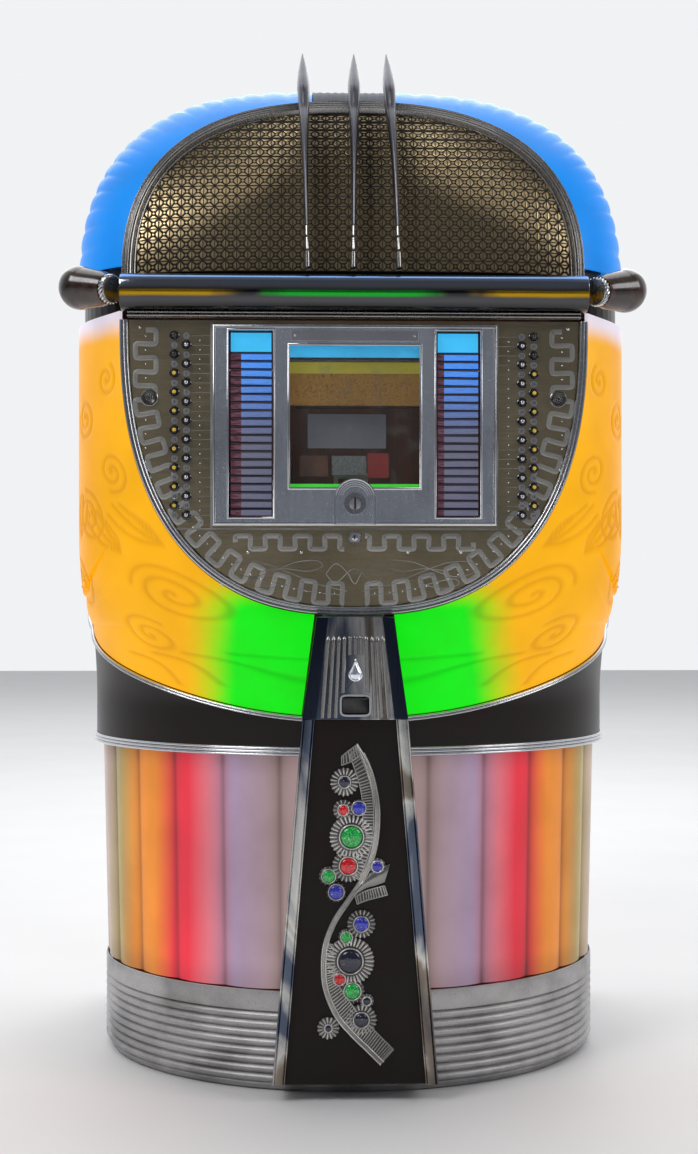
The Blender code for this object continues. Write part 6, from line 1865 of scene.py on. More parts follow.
class JUKEBOX_OT_bezel(bpy.types.Operator):
    """Make the bezel, title strips, window, what shows behind it and the label plate"""

    bl_idname = "jukebox.bezel"
    bl_label = "Bezel and windows"

    STRIP_IN, STRIP_OUT = 0.130, 0.200
    STRIP_LOW, STRIP_HIGH = 0.924, 1.220
    GLASS_LOW, GLASS_HIGH = 0.971, 1.196
    OUTER_INSET = 0.0055

    def execute(self, context):
        refined("bezel_frame", "bezel_chrome", 0.0016)
        face = BEZEL_BOX[0].y
        edges = Solid()
        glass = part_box("window_glass")[1].x - 0.006
        for sign in (-1, 1):
            x0, x1 = sorted((sign * self.STRIP_IN, sign * self.STRIP_OUT))
            self.rim(edges, (x0, self.STRIP_LOW), (x1, self.STRIP_HIGH), 0.0032, 0.0016, face)
        self.rim(edges, (-glass, self.GLASS_LOW), (glass, self.GLASS_HIGH), 0.0040, 0.0020, face)
        inset = self.OUTER_INSET
        self.rim(edges, (BEZEL_BOX[0].x + inset, BEZEL_BOX[0].z + inset),
                 (BEZEL_BOX[1].x - inset, BEZEL_BOX[1].z - inset), 0.0040, 0.0014, face)
        edges.piece("bezel_rims", "chrome", "selector_door", "chrome", angle=50.0)
        for side, sign in (("left", -1), ("right", 1)):
            self.strips(side, sign)
        self.window()
        self.label()
        return {"FINISHED"}

    def rim(self, whole, low, high, width, rise, face):
        """A rounded bead round an upright rectangle, given by its (x, z) corners."""
        corners = [(low[0], low[1]), (high[0], low[1]), (high[0], high[1]), (low[0], high[1])]
        outward = [(-1, -1), (1, -1), (1, 1), (-1, 1)]
        section = [(width / 2 * math.cos(math.pi * k / 8) + width / 2, rise * math.sin(math.pi * k / 8))
                   for k in range(9)]
        path = [(x, face + 0.0002, z) for x, z in corners]
        sides = [(x, 0.0, z) for x, z in outward]
        whole.swept(path, sides, [(0.0, -1.0, 0.0)] * 4, section, closed=True)

    def strips(self, side, sign):
        """Twenty title strips in their ladder, with the separators between them."""
        low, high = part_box("title_strip_holder_" + side)
        pitch = (high.z - low.z - STRIP_LAMP) / ROWS
        width = high.x - low.x
        paper = Solid()
        across = np.linspace(0.0, 1.0, 13)
        strip_rows = []
        for share, y in ((0.0, 0.0), (0.15, -0.0016), (0.85, -0.0006), (1.0, 0.0)):
            strip_rows.append([((a - 0.5) * (width - 0.002), y - 0.0004 * math.sin(math.pi * a),
                                share * pitch * 0.70)
                               for a in across])
        tab_share = 1.0 if sign < 0 else 0.62
        along = [min(a / tab_share, 1.0) for a in across] * len(strip_rows)
        paper.walled(strip_rows, 0.0006, along=along)
        middle = (low.x + high.x) / 2
        face = DOOR_FACE - 0.0022
        spots = []
        wobble = random.Random(11)
        for row in range(ROWS):
            tilt = wobble.uniform(-0.010, 0.010)
            spots.append(((middle, face, low.z + 0.001 + pitch * row), (0.0, tilt, 0.0), 1.0))
        repeated("title_strips_" + side, paper, spots, "strip", "selector_door",
                 ("title_strip_holder_" + side,))
        rail = Solid()
        section = [(-0.0009, 0.0), (-0.0006, 0.0010), (0.0, 0.0014), (0.0006, 0.0010), (0.0009, 0.0)]
        path = [(x, 0.0, 0.0) for x in (-width / 2 + 0.0008, 0.0, width / 2 - 0.0008)]
        rail.swept(path, [(0, 0, 1)] * 3, [(0, -1, 0)] * 3, section)
        rails = [upright(middle, face - 0.0008, low.z + 0.001 + pitch * (row - 0.18))
                 for row in range(ROWS + 1)]
        repeated("strip_rails_" + side, rail, rails, "dark_chrome", "selector_door")
        back = Solid().block((low.x + 0.0005, DOOR_FACE - 0.0008, low.z),
                             (high.x - 0.0005, DOOR_FACE + 0.0080, high.z))
        back.piece("strip_ladder_" + side, "black", "selector_door", "strip_paper", bevel=0.0006)
        lamp = Solid().block((low.x + 0.0012, DOOR_FACE - 0.0030, high.z - STRIP_LAMP + 0.0010),
                             (high.x - 0.0012, DOOR_FACE - 0.0008, high.z - 0.0008))
        lamp.piece("strip_lamp_" + side, "blue_lamp", "selector_door", "strip_paper", bevel=0.0005)

    def window(self):
        """Glass, and behind it the coloured lamps, the speckled screen and the dark card; the screen and red card
        glow as painted light.
        """
        refined("window_glass", "glass", 0.0003)
        low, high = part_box("window_glass")
        y = high.y + 0.0012
        wide = high.x - 0.004
        bands = (
            ("window_blue_lamp", "blue_lamp", 1.1805, 1.1990),
            ("window_dark_bar", "black", 1.1735, 1.1800),
            ("window_yellow_lamp", "yellow_lamp", 1.1545, 1.1730),
            # the speckled screen is no lamp: its glow is painted light
            ("window_gold_screen", "gold_screen", 1.1035, 1.1540),
            ("window_green_lamp", "green_lamp", 0.9690, 0.9780),
        )
        for name, look, bottom, top in bands:
            slab = Solid()
            rows = []
            for k in range(9):
                z = bottom + (top - bottom) * k / 8
                swell = 0.0016 * math.sin(math.pi * k / 8)
                rows.append([(x, y + 0.002 - swell, z) for x in np.linspace(-wide, wide, 5)])
            slab.walled(rows, 0.002).piece(name, look, "selector_door", "glass")
        tunnel = Solid()
        for x0, x1 in ((-wide - 0.003, -wide), (wide, wide + 0.003)):
            tunnel.block((x0, y, low.z + 0.002), (x1, y + 0.046, high.z - 0.002))
        tunnel.block((-wide, y, low.z + 0.001), (wide, y + 0.046, low.z + 0.004))
        tunnel.block((-wide, y + 0.004, 1.1035), (wide, y + 0.046, 1.1065))
        tunnel.piece("window_hood", "brown", "selector_door", "glass", bevel=0.0005)
        cards = (
            # a plated card standing in for a reflection on the glass
            ("window_mirror_card", "label_plate", -0.075, 0.052, 1.038, 1.094, 0.030),
            ("window_grey_card", "grey_paint", -0.036, 0.020, 0.994, 1.026, 0.026),
            ("window_tan_card", "board", -0.088, -0.042, 0.992, 1.026, 0.024),
            # the red card is no lamp: its glow is painted light
            ("window_red_card", "red_card", 0.022, 0.056, 0.990, 1.030, 0.024),
        )
        for name, look, left, right, bottom, top, depth in cards:
            slab = Solid()
            rows = []
            for k in range(5):
                share = k / 4
                lean = 0.006 * share
                rows.append([(x, y + depth + lean, bottom + (top - bottom) * share)
                             for x in np.linspace(left, right, 5)])
            slab.walled(rows, 0.0012).piece(name, look, "selector_door", "glass")

    def label(self):
        """The plain plate above the window, with two small screws."""
        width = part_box("window_glass")[1].x - 0.008
        plate = Solid().block((-width, BEZEL_BOX[0].y - 0.0012, 1.2035),
                              (width, BEZEL_BOX[0].y + 0.001, 1.2200))
        plate.piece("bezel_label_plate", "label_plate", "selector_door", "chrome", bevel=0.0006)
        screw = Solid().turned([(0.0, 0.0012), (0.0012, 0.0011), (0.0020, 0.0005), (0.0022, 0.0), (0.0, 0.0)],
                               (0, 0, 0), (0, -1, 0), 14)
        spots = [upright(x, BEZEL_BOX[0].y - 0.0012, 1.2118) for x in (-width + 0.006, width - 0.006)]
        repeated("bezel_label_screws", screw, spots, "steel", "selector_door")


class JUKEBOX_OT_coin_entry(bpy.types.Operator):
    """Make the round-topped coin plate with its rings and slot, and the door lock"""

    bl_idname = "jukebox.coin_entry"
    bl_label = "Coin entry and lock"

    def execute(self, context):
        low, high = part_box("coin_entry_plate")
        half = high.x
        centre_z = high.z - half
        boss_z = 0.9445
        face = high.y - 0.009
        foot = low.z + 0.001
        outline = [(half * math.cos(math.pi * k / 48), centre_z + half * math.sin(math.pi * k / 48))
                   for k in range(49)]
        outline = [(half, foot), *outline, (-half, foot)]
        Solid().prism(outline, face, high.y).piece(
            "coin_plate", "bezel_chrome", "selector_door", "chrome", ("coin_entry_plate",), bevel=0.0008)
        arcs = []
        for radius, width in ((0.0318, 0.0028), (0.0278, 0.0012), (0.0246, 0.0012), (0.0214, 0.0012)):
            path = [(radius * math.cos(math.pi * k / 48), centre_z + radius * math.sin(math.pi * k / 48))
                    for k in range(49)]
            if width > 0.002:
                path = [(radius, foot), *path, (-radius, foot)]
            arcs.append(strip_along(path, width, width * 0.5, face))
        joined(arcs).piece("coin_plate_rings", "chrome", "selector_door", "chrome", angle=50.0)
        boss = [(0.0, 0.0036), (0.0080, 0.0034), (0.0112, 0.0026), (0.0122, 0.0012), (0.0124, 0.0),
                (0.0, 0.0)]
        Solid().turned(boss, (0.0, face, boss_z), steps=56).piece(
            "coin_boss", "steel", "selector_door", "chrome")
        slot = Solid().block((-0.0015, face - 0.0040, boss_z - 0.0094),
                             (0.0015, face - 0.0010, boss_z + 0.0094))
        slot.piece("coin_slot", "black", "selector_door", "chrome", bevel=0.0003)
        rim = []
        for k in range(61):
            angle = 2 * math.pi * k / 60
            rim.append((0.0138 * math.cos(angle), boss_z + 0.0138 * math.sin(angle)))
        strip_along(rim, 0.0022, 0.0046, face).piece("coin_boss_rim", "chrome", "selector_door", "chrome")
        lips = Solid()
        for sign in (-1, 1):
            edges = sorted((sign * 0.0016, sign * 0.0030))
            lips.block((edges[0], face - 0.0046, boss_z - 0.0096), (edges[1], face - 0.0026, boss_z + 0.0096))
        lips.piece("coin_slot_lips", "steel", "selector_door", "chrome", bevel=0.0004)
        self.lock()
        return {"FINISHED"}

    def lock(self):
        """The lock's turning face with its keyway, in a fixed ring."""
        low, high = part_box("door_lock")
        z = (low.z + high.z) / 2
        face = DOOR_FACE
        repainted("door_lock", "steel")
        profile = [(0.0, 0.0046), (0.0050, 0.0046), (0.0060, 0.0040), (0.0066, 0.0036), (0.0066, 0.0030),
                   (0.0, 0.0030)]
        Solid().turned(profile, (0.0, face, z), steps=40).piece(
            "door_lock_face", "chrome", "door_lock", "plated_steel")
        keyway = Solid().block((-0.0009, face - 0.0049, z - 0.0038), (0.0009, face - 0.0040, z + 0.0038))
        keyway.block((-0.0028, face - 0.0049, z - 0.0009), (0.0009, face - 0.0040, z + 0.0009))
        keyway.piece("door_lock_keyway", "black", "door_lock", "plated_steel")
        ring = []
        for k in range(61):
            angle = 2 * math.pi * k / 60
            ring.append((0.0108 * math.cos(angle), z + 0.0108 * math.sin(angle)))
        strip_along(ring, 0.0016, 0.0016, face).piece(
            "door_lock_ring", "aged_chrome", "selector_door", "chrome")


# ---------------------------------------------------------------------------
# Pillar and ornament
# ---------------------------------------------------------------------------

def pillar_half(z):
    """Half the pillar's width at a height, strips included."""
    low, joint, top = STRIP_BOX[0].z, HEAD_BOX[0].z, HEAD_BOX[1].z
    if z >= joint:
        return PILLAR_JOINT_HALF + (PILLAR_TOP_HALF - PILLAR_JOINT_HALF) * (z - joint) / (top - joint)
    return STRIP_BOX[1].x + (PILLAR_JOINT_HALF - STRIP_BOX[1].x) * (z - low) / (joint - low)


class JUKEBOX_OT_pillar(bpy.types.Operator):
    """Make the pillar's panel, ribbed strips, ribbed head and coin return"""

    bl_idname = "jukebox.pillar"
    bl_label = "Pillar"

    def execute(self, context):
        refined("pillar_panel", "pillar_enamel", 0.0010)
        refined("pillar_head", "pillar_chrome", 0.0016)
        self.strips()
        self.head_ribs()
        self.coin_return()
        return {"FINISHED"}

    def strips(self):
        """Three ribs up each edge of the pillar."""
        low, high = STRIP_BOX[0].z, STRIP_BOX[1].z
        width = 0.0208
        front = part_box("pillar_strip_right")[0].y + 0.004
        section = []
        for foot, end, rise, base in ((0.0, 0.16, 0.0032, 0.0), (0.20, 0.80, 0.0012, 0.0008),
                                      (0.84, 1.0, 0.0032, 0.0)):
            for k in range(7):
                share = k / 6
                section.append((width * (foot + (end - foot) * share),
                                -base - rise * math.sin(math.pi * share) ** 0.8))
        rings = []
        for z in np.linspace(low, high, 25):
            half = pillar_half(z)
            back = JOINT_Y - FRONT_DEPTH * math.sqrt(1.0 - (half / WAIST_HALF) ** 2) - 0.0065
            ring = [(half - width + a, front + b, z) for a, b in section]
            rings.append([*ring, (half, back, z), (half - width, back - 0.006, z)])
        for side, sign in (("right", 1), ("left", -1)):
            Solid().stacked([[(sign * x, y, z) for x, y, z in ring] for ring in rings]).piece(
                "pillar_ribbed_strip_" + side, "pillar_chrome", slot="chrome",
                replaces=("pillar_strip_" + side,), angle=50.0)

    def head_ribs(self):
        """Upright ribs with round tops on the head, clear of the lever and the cup."""
        face = HEAD_BOX[0].y
        low, high = HEAD_BOX[0].z + 0.003, 0.736
        ribs_made = Solid()
        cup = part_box("coin_return_flap")
        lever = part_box("coin_return_lever")
        for number in range(-5, 6):
            foot = abs(number) * 0.0104
            starts = low
            ends = high
            if abs(number) <= 1:
                starts = lever[1].z + 0.004
            elif abs(number) == 2:
                starts = cup[1].z + 0.008
            width = 0.0034
            rows = []
            for r in range(25):
                share = r / 24
                z = starts + (ends - starts) * share
                spread = 1.0 - 0.18 * (z - low) / (high - low)
                x = math.copysign(foot, number) * spread if number else 0.0
                round_off = math.sqrt(max(1.0 - max((z - (ends - width)) / width, 0.0) ** 2, 0.0))
                round_off = max(round_off, 0.03)
                row = []
                for k in range(9):
                    across = math.cos(math.pi * k / 8)
                    lift = 0.0034 * math.sin(math.pi * k / 8) ** 0.8 * round_off
                    slope = 0.010 * max(abs(x) / pillar_half(z) - 0.7, 0.0) / 0.3
                    row.append((x + width * across * round_off, face + slope - lift, z))
                rows.append(row)
            ribs_made.walled(rows, 0.0006)
        ribs_made.piece("pillar_head_ribs", "aged_chrome", slot="chrome", angle=50.0)
        rim = []
        middle = (cup[0].z + cup[1].z) / 2 + 0.0008
        for k in range(81):
            angle = 2 * math.pi * k / 80
            c, s = math.cos(angle), math.sin(angle)
            rim.append((0.0232 * math.copysign(abs(c) ** 0.35, c),
                        middle + 0.0160 * math.copysign(abs(s) ** 0.35, s)))
        strip_along(rim, 0.0030, 0.0030, face).piece("coin_cup_rim", "chrome", slot="chrome", angle=50.0)

    def coin_return(self):
        """The teardrop lever on its boss, and the flap in the cup."""
        pivot_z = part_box("coin_return_lever")[0].z + 0.0121
        face = HEAD_BOX[0].y - 0.001
        outline = []
        for k in range(64):
            angle = 2 * math.pi * k / 64
            rise = max(math.sin(angle), 0.0)
            x = 0.0119 * math.cos(angle) * (1.0 - 0.45 * rise ** 2)
            outline.append((x, pivot_z + 0.0119 * math.sin(angle)
                            * (1.0 if rise == 0.0 else 1.0 + 1.08 * rise ** 3)))
        rings = []
        for scale, out in ((1.0, 0.0008), (1.0, 0.0036), (0.94, 0.0050), (0.80, 0.0058), (0.70, 0.0052),
                           (0.60, 0.0062),
                           (0.36, 0.0074)):
            rings.append([(x * scale, face - out, pivot_z + (z - pivot_z) * scale) for x, z in outline])
        lever = Solid().stacked(rings)
        lever.turned([(0.0, 0.0), (0.0044, 0.0), (0.0044, -0.017), (0.0, -0.017)],
                     (0.0, face - 0.001, pivot_z))
        lever.piece("coin_return_teardrop", "bezel_chrome", "coin_return_lever", "chrome",
                    ("coin_return_lever",))
        refined("coin_return_flap", "black", 0.0005)


class JUKEBOX_OT_ornament(bpy.types.Operator):
    """Make the cast scrolls, their rosettes and their glass jewels"""

    bl_idname = "jukebox.ornament"
    bl_label = "Jewelled ornament"

    STEM = [(0.0025, 0.566), (0.0200, 0.530), (0.0296, 0.4976), (0.0350, 0.4543), (0.0296, 0.400),
            (0.0116, 0.3532),
            (-0.0101, 0.3207), (-0.0318, 0.2882), (-0.0462, 0.2521), (-0.0498, 0.216), (-0.0462, 0.180),
            (-0.0300, 0.140), (-0.0065, 0.111), (0.0188, 0.086), (0.0420, 0.063)]
    LADDERS = [
        ([(0.0025, 0.560), (0.0230, 0.505), (0.0290, 0.4543), (0.0240, 0.402), (0.0060, 0.352)],
         [(-0.0090, 0.548), (0.0070, 0.500), (0.0120, 0.4543), (0.0070, 0.405), (-0.0080, 0.360)], 44),
        ([(0.0020, 0.564), (-0.0090, 0.556), (-0.0215, 0.546)],
         [(0.0070, 0.546), (-0.0060, 0.538), (-0.0215, 0.532)], 7),
        ([(-0.0440, 0.252), (-0.0470, 0.216), (-0.0440, 0.181), (-0.0275, 0.142), (-0.0040, 0.1135),
          (0.0210, 0.0885),
          (0.0430, 0.0665)],
         [(-0.0350, 0.250), (-0.0330, 0.216), (-0.0280, 0.190), (-0.0090, 0.160), (0.0120, 0.1335),
          (0.0360, 0.1085),
          (0.0600, 0.0845)], 50),
        ([(0.0000, 0.3255), (0.0160, 0.3345), (0.0300, 0.3385), (0.0459, 0.3424)],
         [(0.0030, 0.3135), (0.0180, 0.3195), (0.0340, 0.3235), (0.0505, 0.3279)], 12),
    ]
    LEAF = ([(-0.0085, 0.3265), (0.0100, 0.3500), (0.0290, 0.3660), (0.0549, 0.3767)],
            [(-0.0060, 0.3225), (0.0140, 0.3370), (0.0320, 0.3430), (0.0460, 0.3480)])
    JEWELS = [
        (-0.017, 0.506, 0.0095, 0.022, "dark"), (-0.019, 0.462, 0.0088, 0.016, "red"),
        (0.0055, 0.465, 0.0112, 0.014, "blue"), (-0.006, 0.4195, 0.0190, 0.034, "green"),
        (-0.011, 0.374, 0.0143, 0.025, "red"), (-0.042, 0.358, 0.0110, 0.015, "green"),
        (0.0346, 0.373, 0.0090, 0.013, "blue"), (-0.030, 0.333, 0.0124, 0.016, "blue"),
        (0.0094, 0.2826, 0.0122, 0.022, "blue"), (-0.014, 0.262, 0.0092, 0.013, "green"),
        (-0.008, 0.2244, 0.0200, 0.037, "dark"), (-0.025, 0.196, 0.0094, 0.013, "red"),
        (-0.0047, 0.177, 0.0136, 0.019, "green"), (0.018, 0.1615, 0.0070, 0.011, "dark"),
        (0.0094, 0.1316, 0.0124, 0.024, "dark"), (-0.0425, 0.119, 0.0060, 0.017, "dark"),
    ]

    def execute(self, context):
        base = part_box("pillar_panel")[0].y - 0.0004
        self.stems(base)
        self.feathers(base)
        self.leaves(base)
        self.rosettes(base)
        for name in ("red", "blue", "green", "dark"):
            stones = Solid()
            for x, z, radius, _, kind in self.JEWELS:
                if kind != name:
                    continue
                profile = [(0.0, 0.0062 + radius * 0.30)]
                for k in range(1, 9):
                    angle = math.pi / 2 - math.pi / 16 * k
                    profile.append((radius * 0.86 * math.cos(angle),
                                    0.0062 + radius * 0.30 * math.sin(angle)))
                profile.append((0.0, 0.0055))
                stones.turned(profile, (x, base, z), steps=28)
            stones.piece("jewels_" + name, "jewel_" + name, slot="cast_aluminium")
        return {"FINISHED"}

    def stems(self, base):
        """Twin rims along the scroll with a flat band between them that carries the twisted cord; the rims draw
        together at its start.
        """
        whole = Solid()
        steps = 170
        path = [smoothly(self.STEM, k / steps) for k in range(steps + 1)]
        spots = [(x, base, z) for x, z in path]
        sides = face_frames(spots)
        facing = [(0.0, -1.0, 0.0)] * len(spots)
        for offset, thick in ((-0.0034, 0.0013), (0.0034, 0.0013)):
            shifted = [Vector(s) + side * (offset * min(1.0, 12 * k / steps))
                       for k, (s, side) in enumerate(zip(spots, sides))]
            ring = [(thick * math.cos(math.pi * k / 6), 0.0030 + thick * 2.2 * math.sin(math.pi * k / 6))
                    for k in range(7)]
            whole.swept(shifted, sides, facing, [*ring, (-thick, 0.0), (thick, 0.0)])
        flat = [(0.0044, 0.0), (0.0044, 0.0030), (-0.0044, 0.0030), (-0.0044, 0.0)]
        whole.swept(spots[6:], sides[6:], facing[6:], flat)
        whole.piece("ornament_scrolls", "ornament_metal", slot="cast_aluminium", replaces=("jewel_ornament",),
                    angle=50.0)

    def feathers(self, base):
        """The twisted cord between the scroll's rims, made of slanting beads."""
        bead = Solid().turned([(0.0, 0.0030), (0.0008, 0.0026), (0.0013, 0.0), (0.0008, -0.0026),
                               (0.0, -0.0030)],
                              (0, 0, 0), (1, 0, 0), 8)
        spots = []
        path = [smoothly(self.STEM, 0.03 + 0.96 * k / 190) for k in range(191)]
        placed = [(x, base - 0.0036, z) for x, z in path]
        for spot, side in zip(placed, face_frames(placed)):
            spots.append((spot, (0.0, math.atan2(-side.z, side.x) + 0.6, 0.0), 1.0))
        repeated("ornament_cord", bead, spots, "ornament_metal")

    def leaves(self, base):
        """The ladder-ribbed wings and the plain polished leaf."""
        plates, bars, leaf = Solid(), Solid(), Solid()
        for first, second, count in self.LADDERS:
            pairs = [(smoothly(first, k / count), smoothly(second, k / count)) for k in range(count + 1)]
            rows = [[(a[0] + (b[0] - a[0]) * t, base - 0.0018, a[1] + (b[1] - a[1]) * t)
                     for t in (0.0, 0.5, 1.0)]
                    for a, b in pairs]
            plates.walled(rows, 0.0016)
            for a, b in pairs:
                self.bar(bars, a, b, base, 0.0010, 0.0046)
            for edge in (first, second):
                ends = [smoothly(edge, k / count) for k in range(count + 1)]
                for a, b in zip(ends, ends[1:]):
                    self.bar(bars, a, b, base, 0.0009, 0.0040)
        upper, lower = self.LEAF
        rows = []
        for k in range(25):
            a, b = smoothly(upper, k / 24), smoothly(lower, k / 24)
            row = []
            for j in range(9):
                t = j / 8
                lift = 0.0030 + 0.0034 * math.sin(math.pi * t) * math.sin(math.pi * (0.15 + 0.7 * k / 24))
                row.append((a[0] + (b[0] - a[0]) * t, base - lift, a[1] + (b[1] - a[1]) * t))
            rows.append(row)
        leaf.walled(rows, 0.0024)
        plates.piece("ornament_wing_plates", "dark_cast", slot="cast_aluminium")
        bars.piece("ornament_wing_ribs", "ornament_metal", slot="cast_aluminium", angle=60.0)
        leaf.piece("ornament_leaf", "aged_chrome", slot="cast_aluminium", angle=60.0)

    def bar(self, whole, first, second, base, half, height):
        """A small rounded rib between two (x, z) points."""
        spots = [(first[0], base, first[1]), (second[0], base, second[1])]
        section = [(half, 0.0), (half, height * 0.7), (half * 0.5, height), (-half * 0.5, height),
                   (-half, height * 0.7), (-half, 0.0)]
        whole.swept(spots, face_frames(spots), [(0.0, -1.0, 0.0)] * 2, section)

    def rosettes(self, base):
        """A dished ring and a wreath of petals round each jewel."""
        cups = Solid()
        petals = []
        for x, z, radius, outer, _ in self.JEWELS:
            profile = [(0.0, 0.0052), (radius * 0.88, 0.0056), (radius * 0.98, 0.0072),
                       (radius * 1.10, 0.0064),
                       (radius * 1.14, 0.0040), (outer * 0.96, 0.0026), (outer, 0.0012), (outer, 0.0),
                       (0.0, 0.0)]
            cups.turned(profile, (x, base, z), steps=48)
            count = max(int(outer * 900), 12)
            for k in range(count):
                angle = 2 * math.pi * k / count
                reach = (radius * 1.14 + outer) / 2
                spot = (x + reach * math.cos(angle), base - 0.0042, z + reach * math.sin(angle))
                petals.append((spot, (0.0, -angle, 0.0), (outer - radius * 1.10) / 0.010))
        rings = Solid()
        for x, z, radius, _, _ in self.JEWELS:
            path = [(x + radius * math.cos(math.pi * k / 20), base, z + radius * math.sin(math.pi * k / 20))
                    for k in range(40)]
            sides = [((p[0] - x) / radius, 0.0, (p[2] - z) / radius) for p in path]
            section = [(0.0012 * math.cos(math.pi * k / 5), 0.0062 + 0.0016 * math.sin(math.pi * k / 5))
                       for k in range(6)]
            rings.swept(path, sides, [(0.0, -1.0, 0.0)] * 40, [*section, (-0.0012, 0.0040), (0.0012, 0.0040)],
                        closed=True)
        rings.piece("ornament_settings", "ornament_metal", slot="cast_aluminium", angle=50.0)
        cups.piece("ornament_rosettes", "dark_cast", slot="cast_aluminium", angle=40.0)
        petal = Solid().turned([(0.0, 0.0058), (0.0010, 0.0050), (0.0015, 0.0030), (0.0012, -0.0020),
                                (0.0008, -0.0040),
                                (0.0, -0.0046)], (0, 0, 0), (1, 0, 0), 8)
        repeated("ornament_petals", petal, petals, "ornament_metal")


# ---------------------------------------------------------------------------
# Cabinet and works
# ---------------------------------------------------------------------------

class JUKEBOX_OT_cabinet(bpy.types.Operator):
    """Make the cabinet shell, the back with its louvres and the rear door"""

    bl_idname = "jukebox.cabinet"
    bl_label = "Cabinet and back"

    def outline(self, inset, steps=60):
        """(x, z) points round the cabinet from its right foot over to its left foot."""
        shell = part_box("cabinet_shell")
        right = [(BASE_HALF - 0.004 - inset, shell[0].z)]
        right += [(BASE_HALF + 0.002 - inset, WAIST_BOTTOM), (WAIST_HALF - 0.004 - inset, BULGE_START)]
        for k in range(1, 8):
            z = BULGE_START + (BULGE_END - BULGE_START) * k / 8
            right.append((body_half(z) - 0.004 - inset, z))
        for k in range(steps):
            x, z = dome_outline(k / steps)
            shrink = 1.0 - (0.004 + inset) / DOME_RISE
            right.append((x * (1.0 - (0.004 + inset) / BODY_HALF), SHOULDER + (z - SHOULDER) * shrink))
        top = SHOULDER + DOME_RISE - 0.004 - inset
        return right + [(0.0, top)] + [(-x, z) for x, z in reversed(right)]

    def execute(self, context):
        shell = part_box("cabinet_shell")
        outer, inner = self.outline(0.0), self.outline(0.018)
        front, back = shell[0].y, shell[1].y
        rings = [[(x, front, z), (x, back, z), (u, back, w), (u, front, w)]
                 for (x, z), (u, w) in zip(outer, inner)]
        Solid().stacked(rings).piece("cabinet_veneered", "wood", slot="wood", replaces=("cabinet_shell",),
                                     angle=40.0)
        refined("back_panel", "board", 0.0008)
        refined("back_door", "board", 0.0012)
        refined("back_door_lock", "steel", 0.0006)
        self.louvres()
        self.screws()
        self.hinges()
        repainted("shoulder_rail", "band")
        return {"FINISHED"}

    def louvres(self):
        """Pressed vents in the rear door and above it."""
        hood = Solid()
        rows = []
        for k in range(9):
            angle = math.pi / 2 * k / 8
            half = 0.060
            row = []
            for j in range(13):
                share = j / 6 - 1.0
                lift = 0.0070 * math.sqrt(max(1.0 - abs(share) ** 6, 0.0)) * math.cos(angle)
                row.append((share * half, lift - 0.0003, 0.011 * math.sin(angle)))
            rows.append(row)
        hood.walled(rows, 0.0010)
        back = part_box("back_door")[1].y
        spots = []
        for x in (-0.22, 0.0, 0.22):
            for k in range(9):
                spots.append(upright(x, back, 0.30 + 0.024 * k))
            for k in range(7):
                spots.append(upright(x, back, 1.02 + 0.024 * k))
        repeated("back_door_louvres", hood, spots, "steel", "back_door", angle=50.0)
        upper = [upright(x, back, 1.38 + 0.024 * k) for x in (-0.14, 0.14) for k in range(7)]
        repeated("back_panel_louvres", hood, upper, "steel", angle=50.0)

    def screws(self):
        """Round-headed screws that hold the back panel on."""
        head = Solid().turned([(0.0, 0.0026), (0.0022, 0.0024), (0.0040, 0.0014), (0.0046, 0.0), (0.0, 0.0)],
                              (0, 0, 0), (0, 1, 0), 18)
        spots = []
        path = self.outline(0.016, 20)
        for x, z in path[2:-2:3]:
            spots.append(upright(x, CABINET_BACK_Y, z))
        for x in (-0.428, 0.428):
            for z in (0.24, 0.42):
                spots.append(upright(x, CABINET_BACK_Y, z))
        repeated("back_screws", head, spots, "steel")

    def hinges(self):
        """Three hinge leaves down the rear door's edge, with their barrels on its axis."""
        low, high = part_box("back_door")
        hinge = next(j for j in frame["joints"] if j["child"] == "back_door")
        on_left = hinge["pos_m"][0] < 0
        x = low.x if on_left else high.x
        inward = 1 if on_left else -1
        for number, z in enumerate((0.34, 0.73, 1.12)):
            leaf = Solid()
            edges = sorted((x + inward * 0.002, x + inward * 0.030))
            leaf.block((edges[0], CABINET_BACK_Y, z - 0.035), (edges[1], CABINET_BACK_Y + 0.0016, z + 0.035))
            leaf.piece("rear_hinge_leaf_{}".format(number + 1), "steel", "back_door", "plated_steel",
                       bevel=0.0005)
            barrel = Solid().turned([(0.0, 0.036), (0.0030, 0.036), (0.0030, -0.036), (0.0, -0.036)],
                                    (hinge["pos_m"][0], hinge["pos_m"][1], z), (0, 0, 1), 20)
            barrel.piece("rear_hinge_barrel_{}".format(number + 1), "steel", "back_door", "plated_steel")


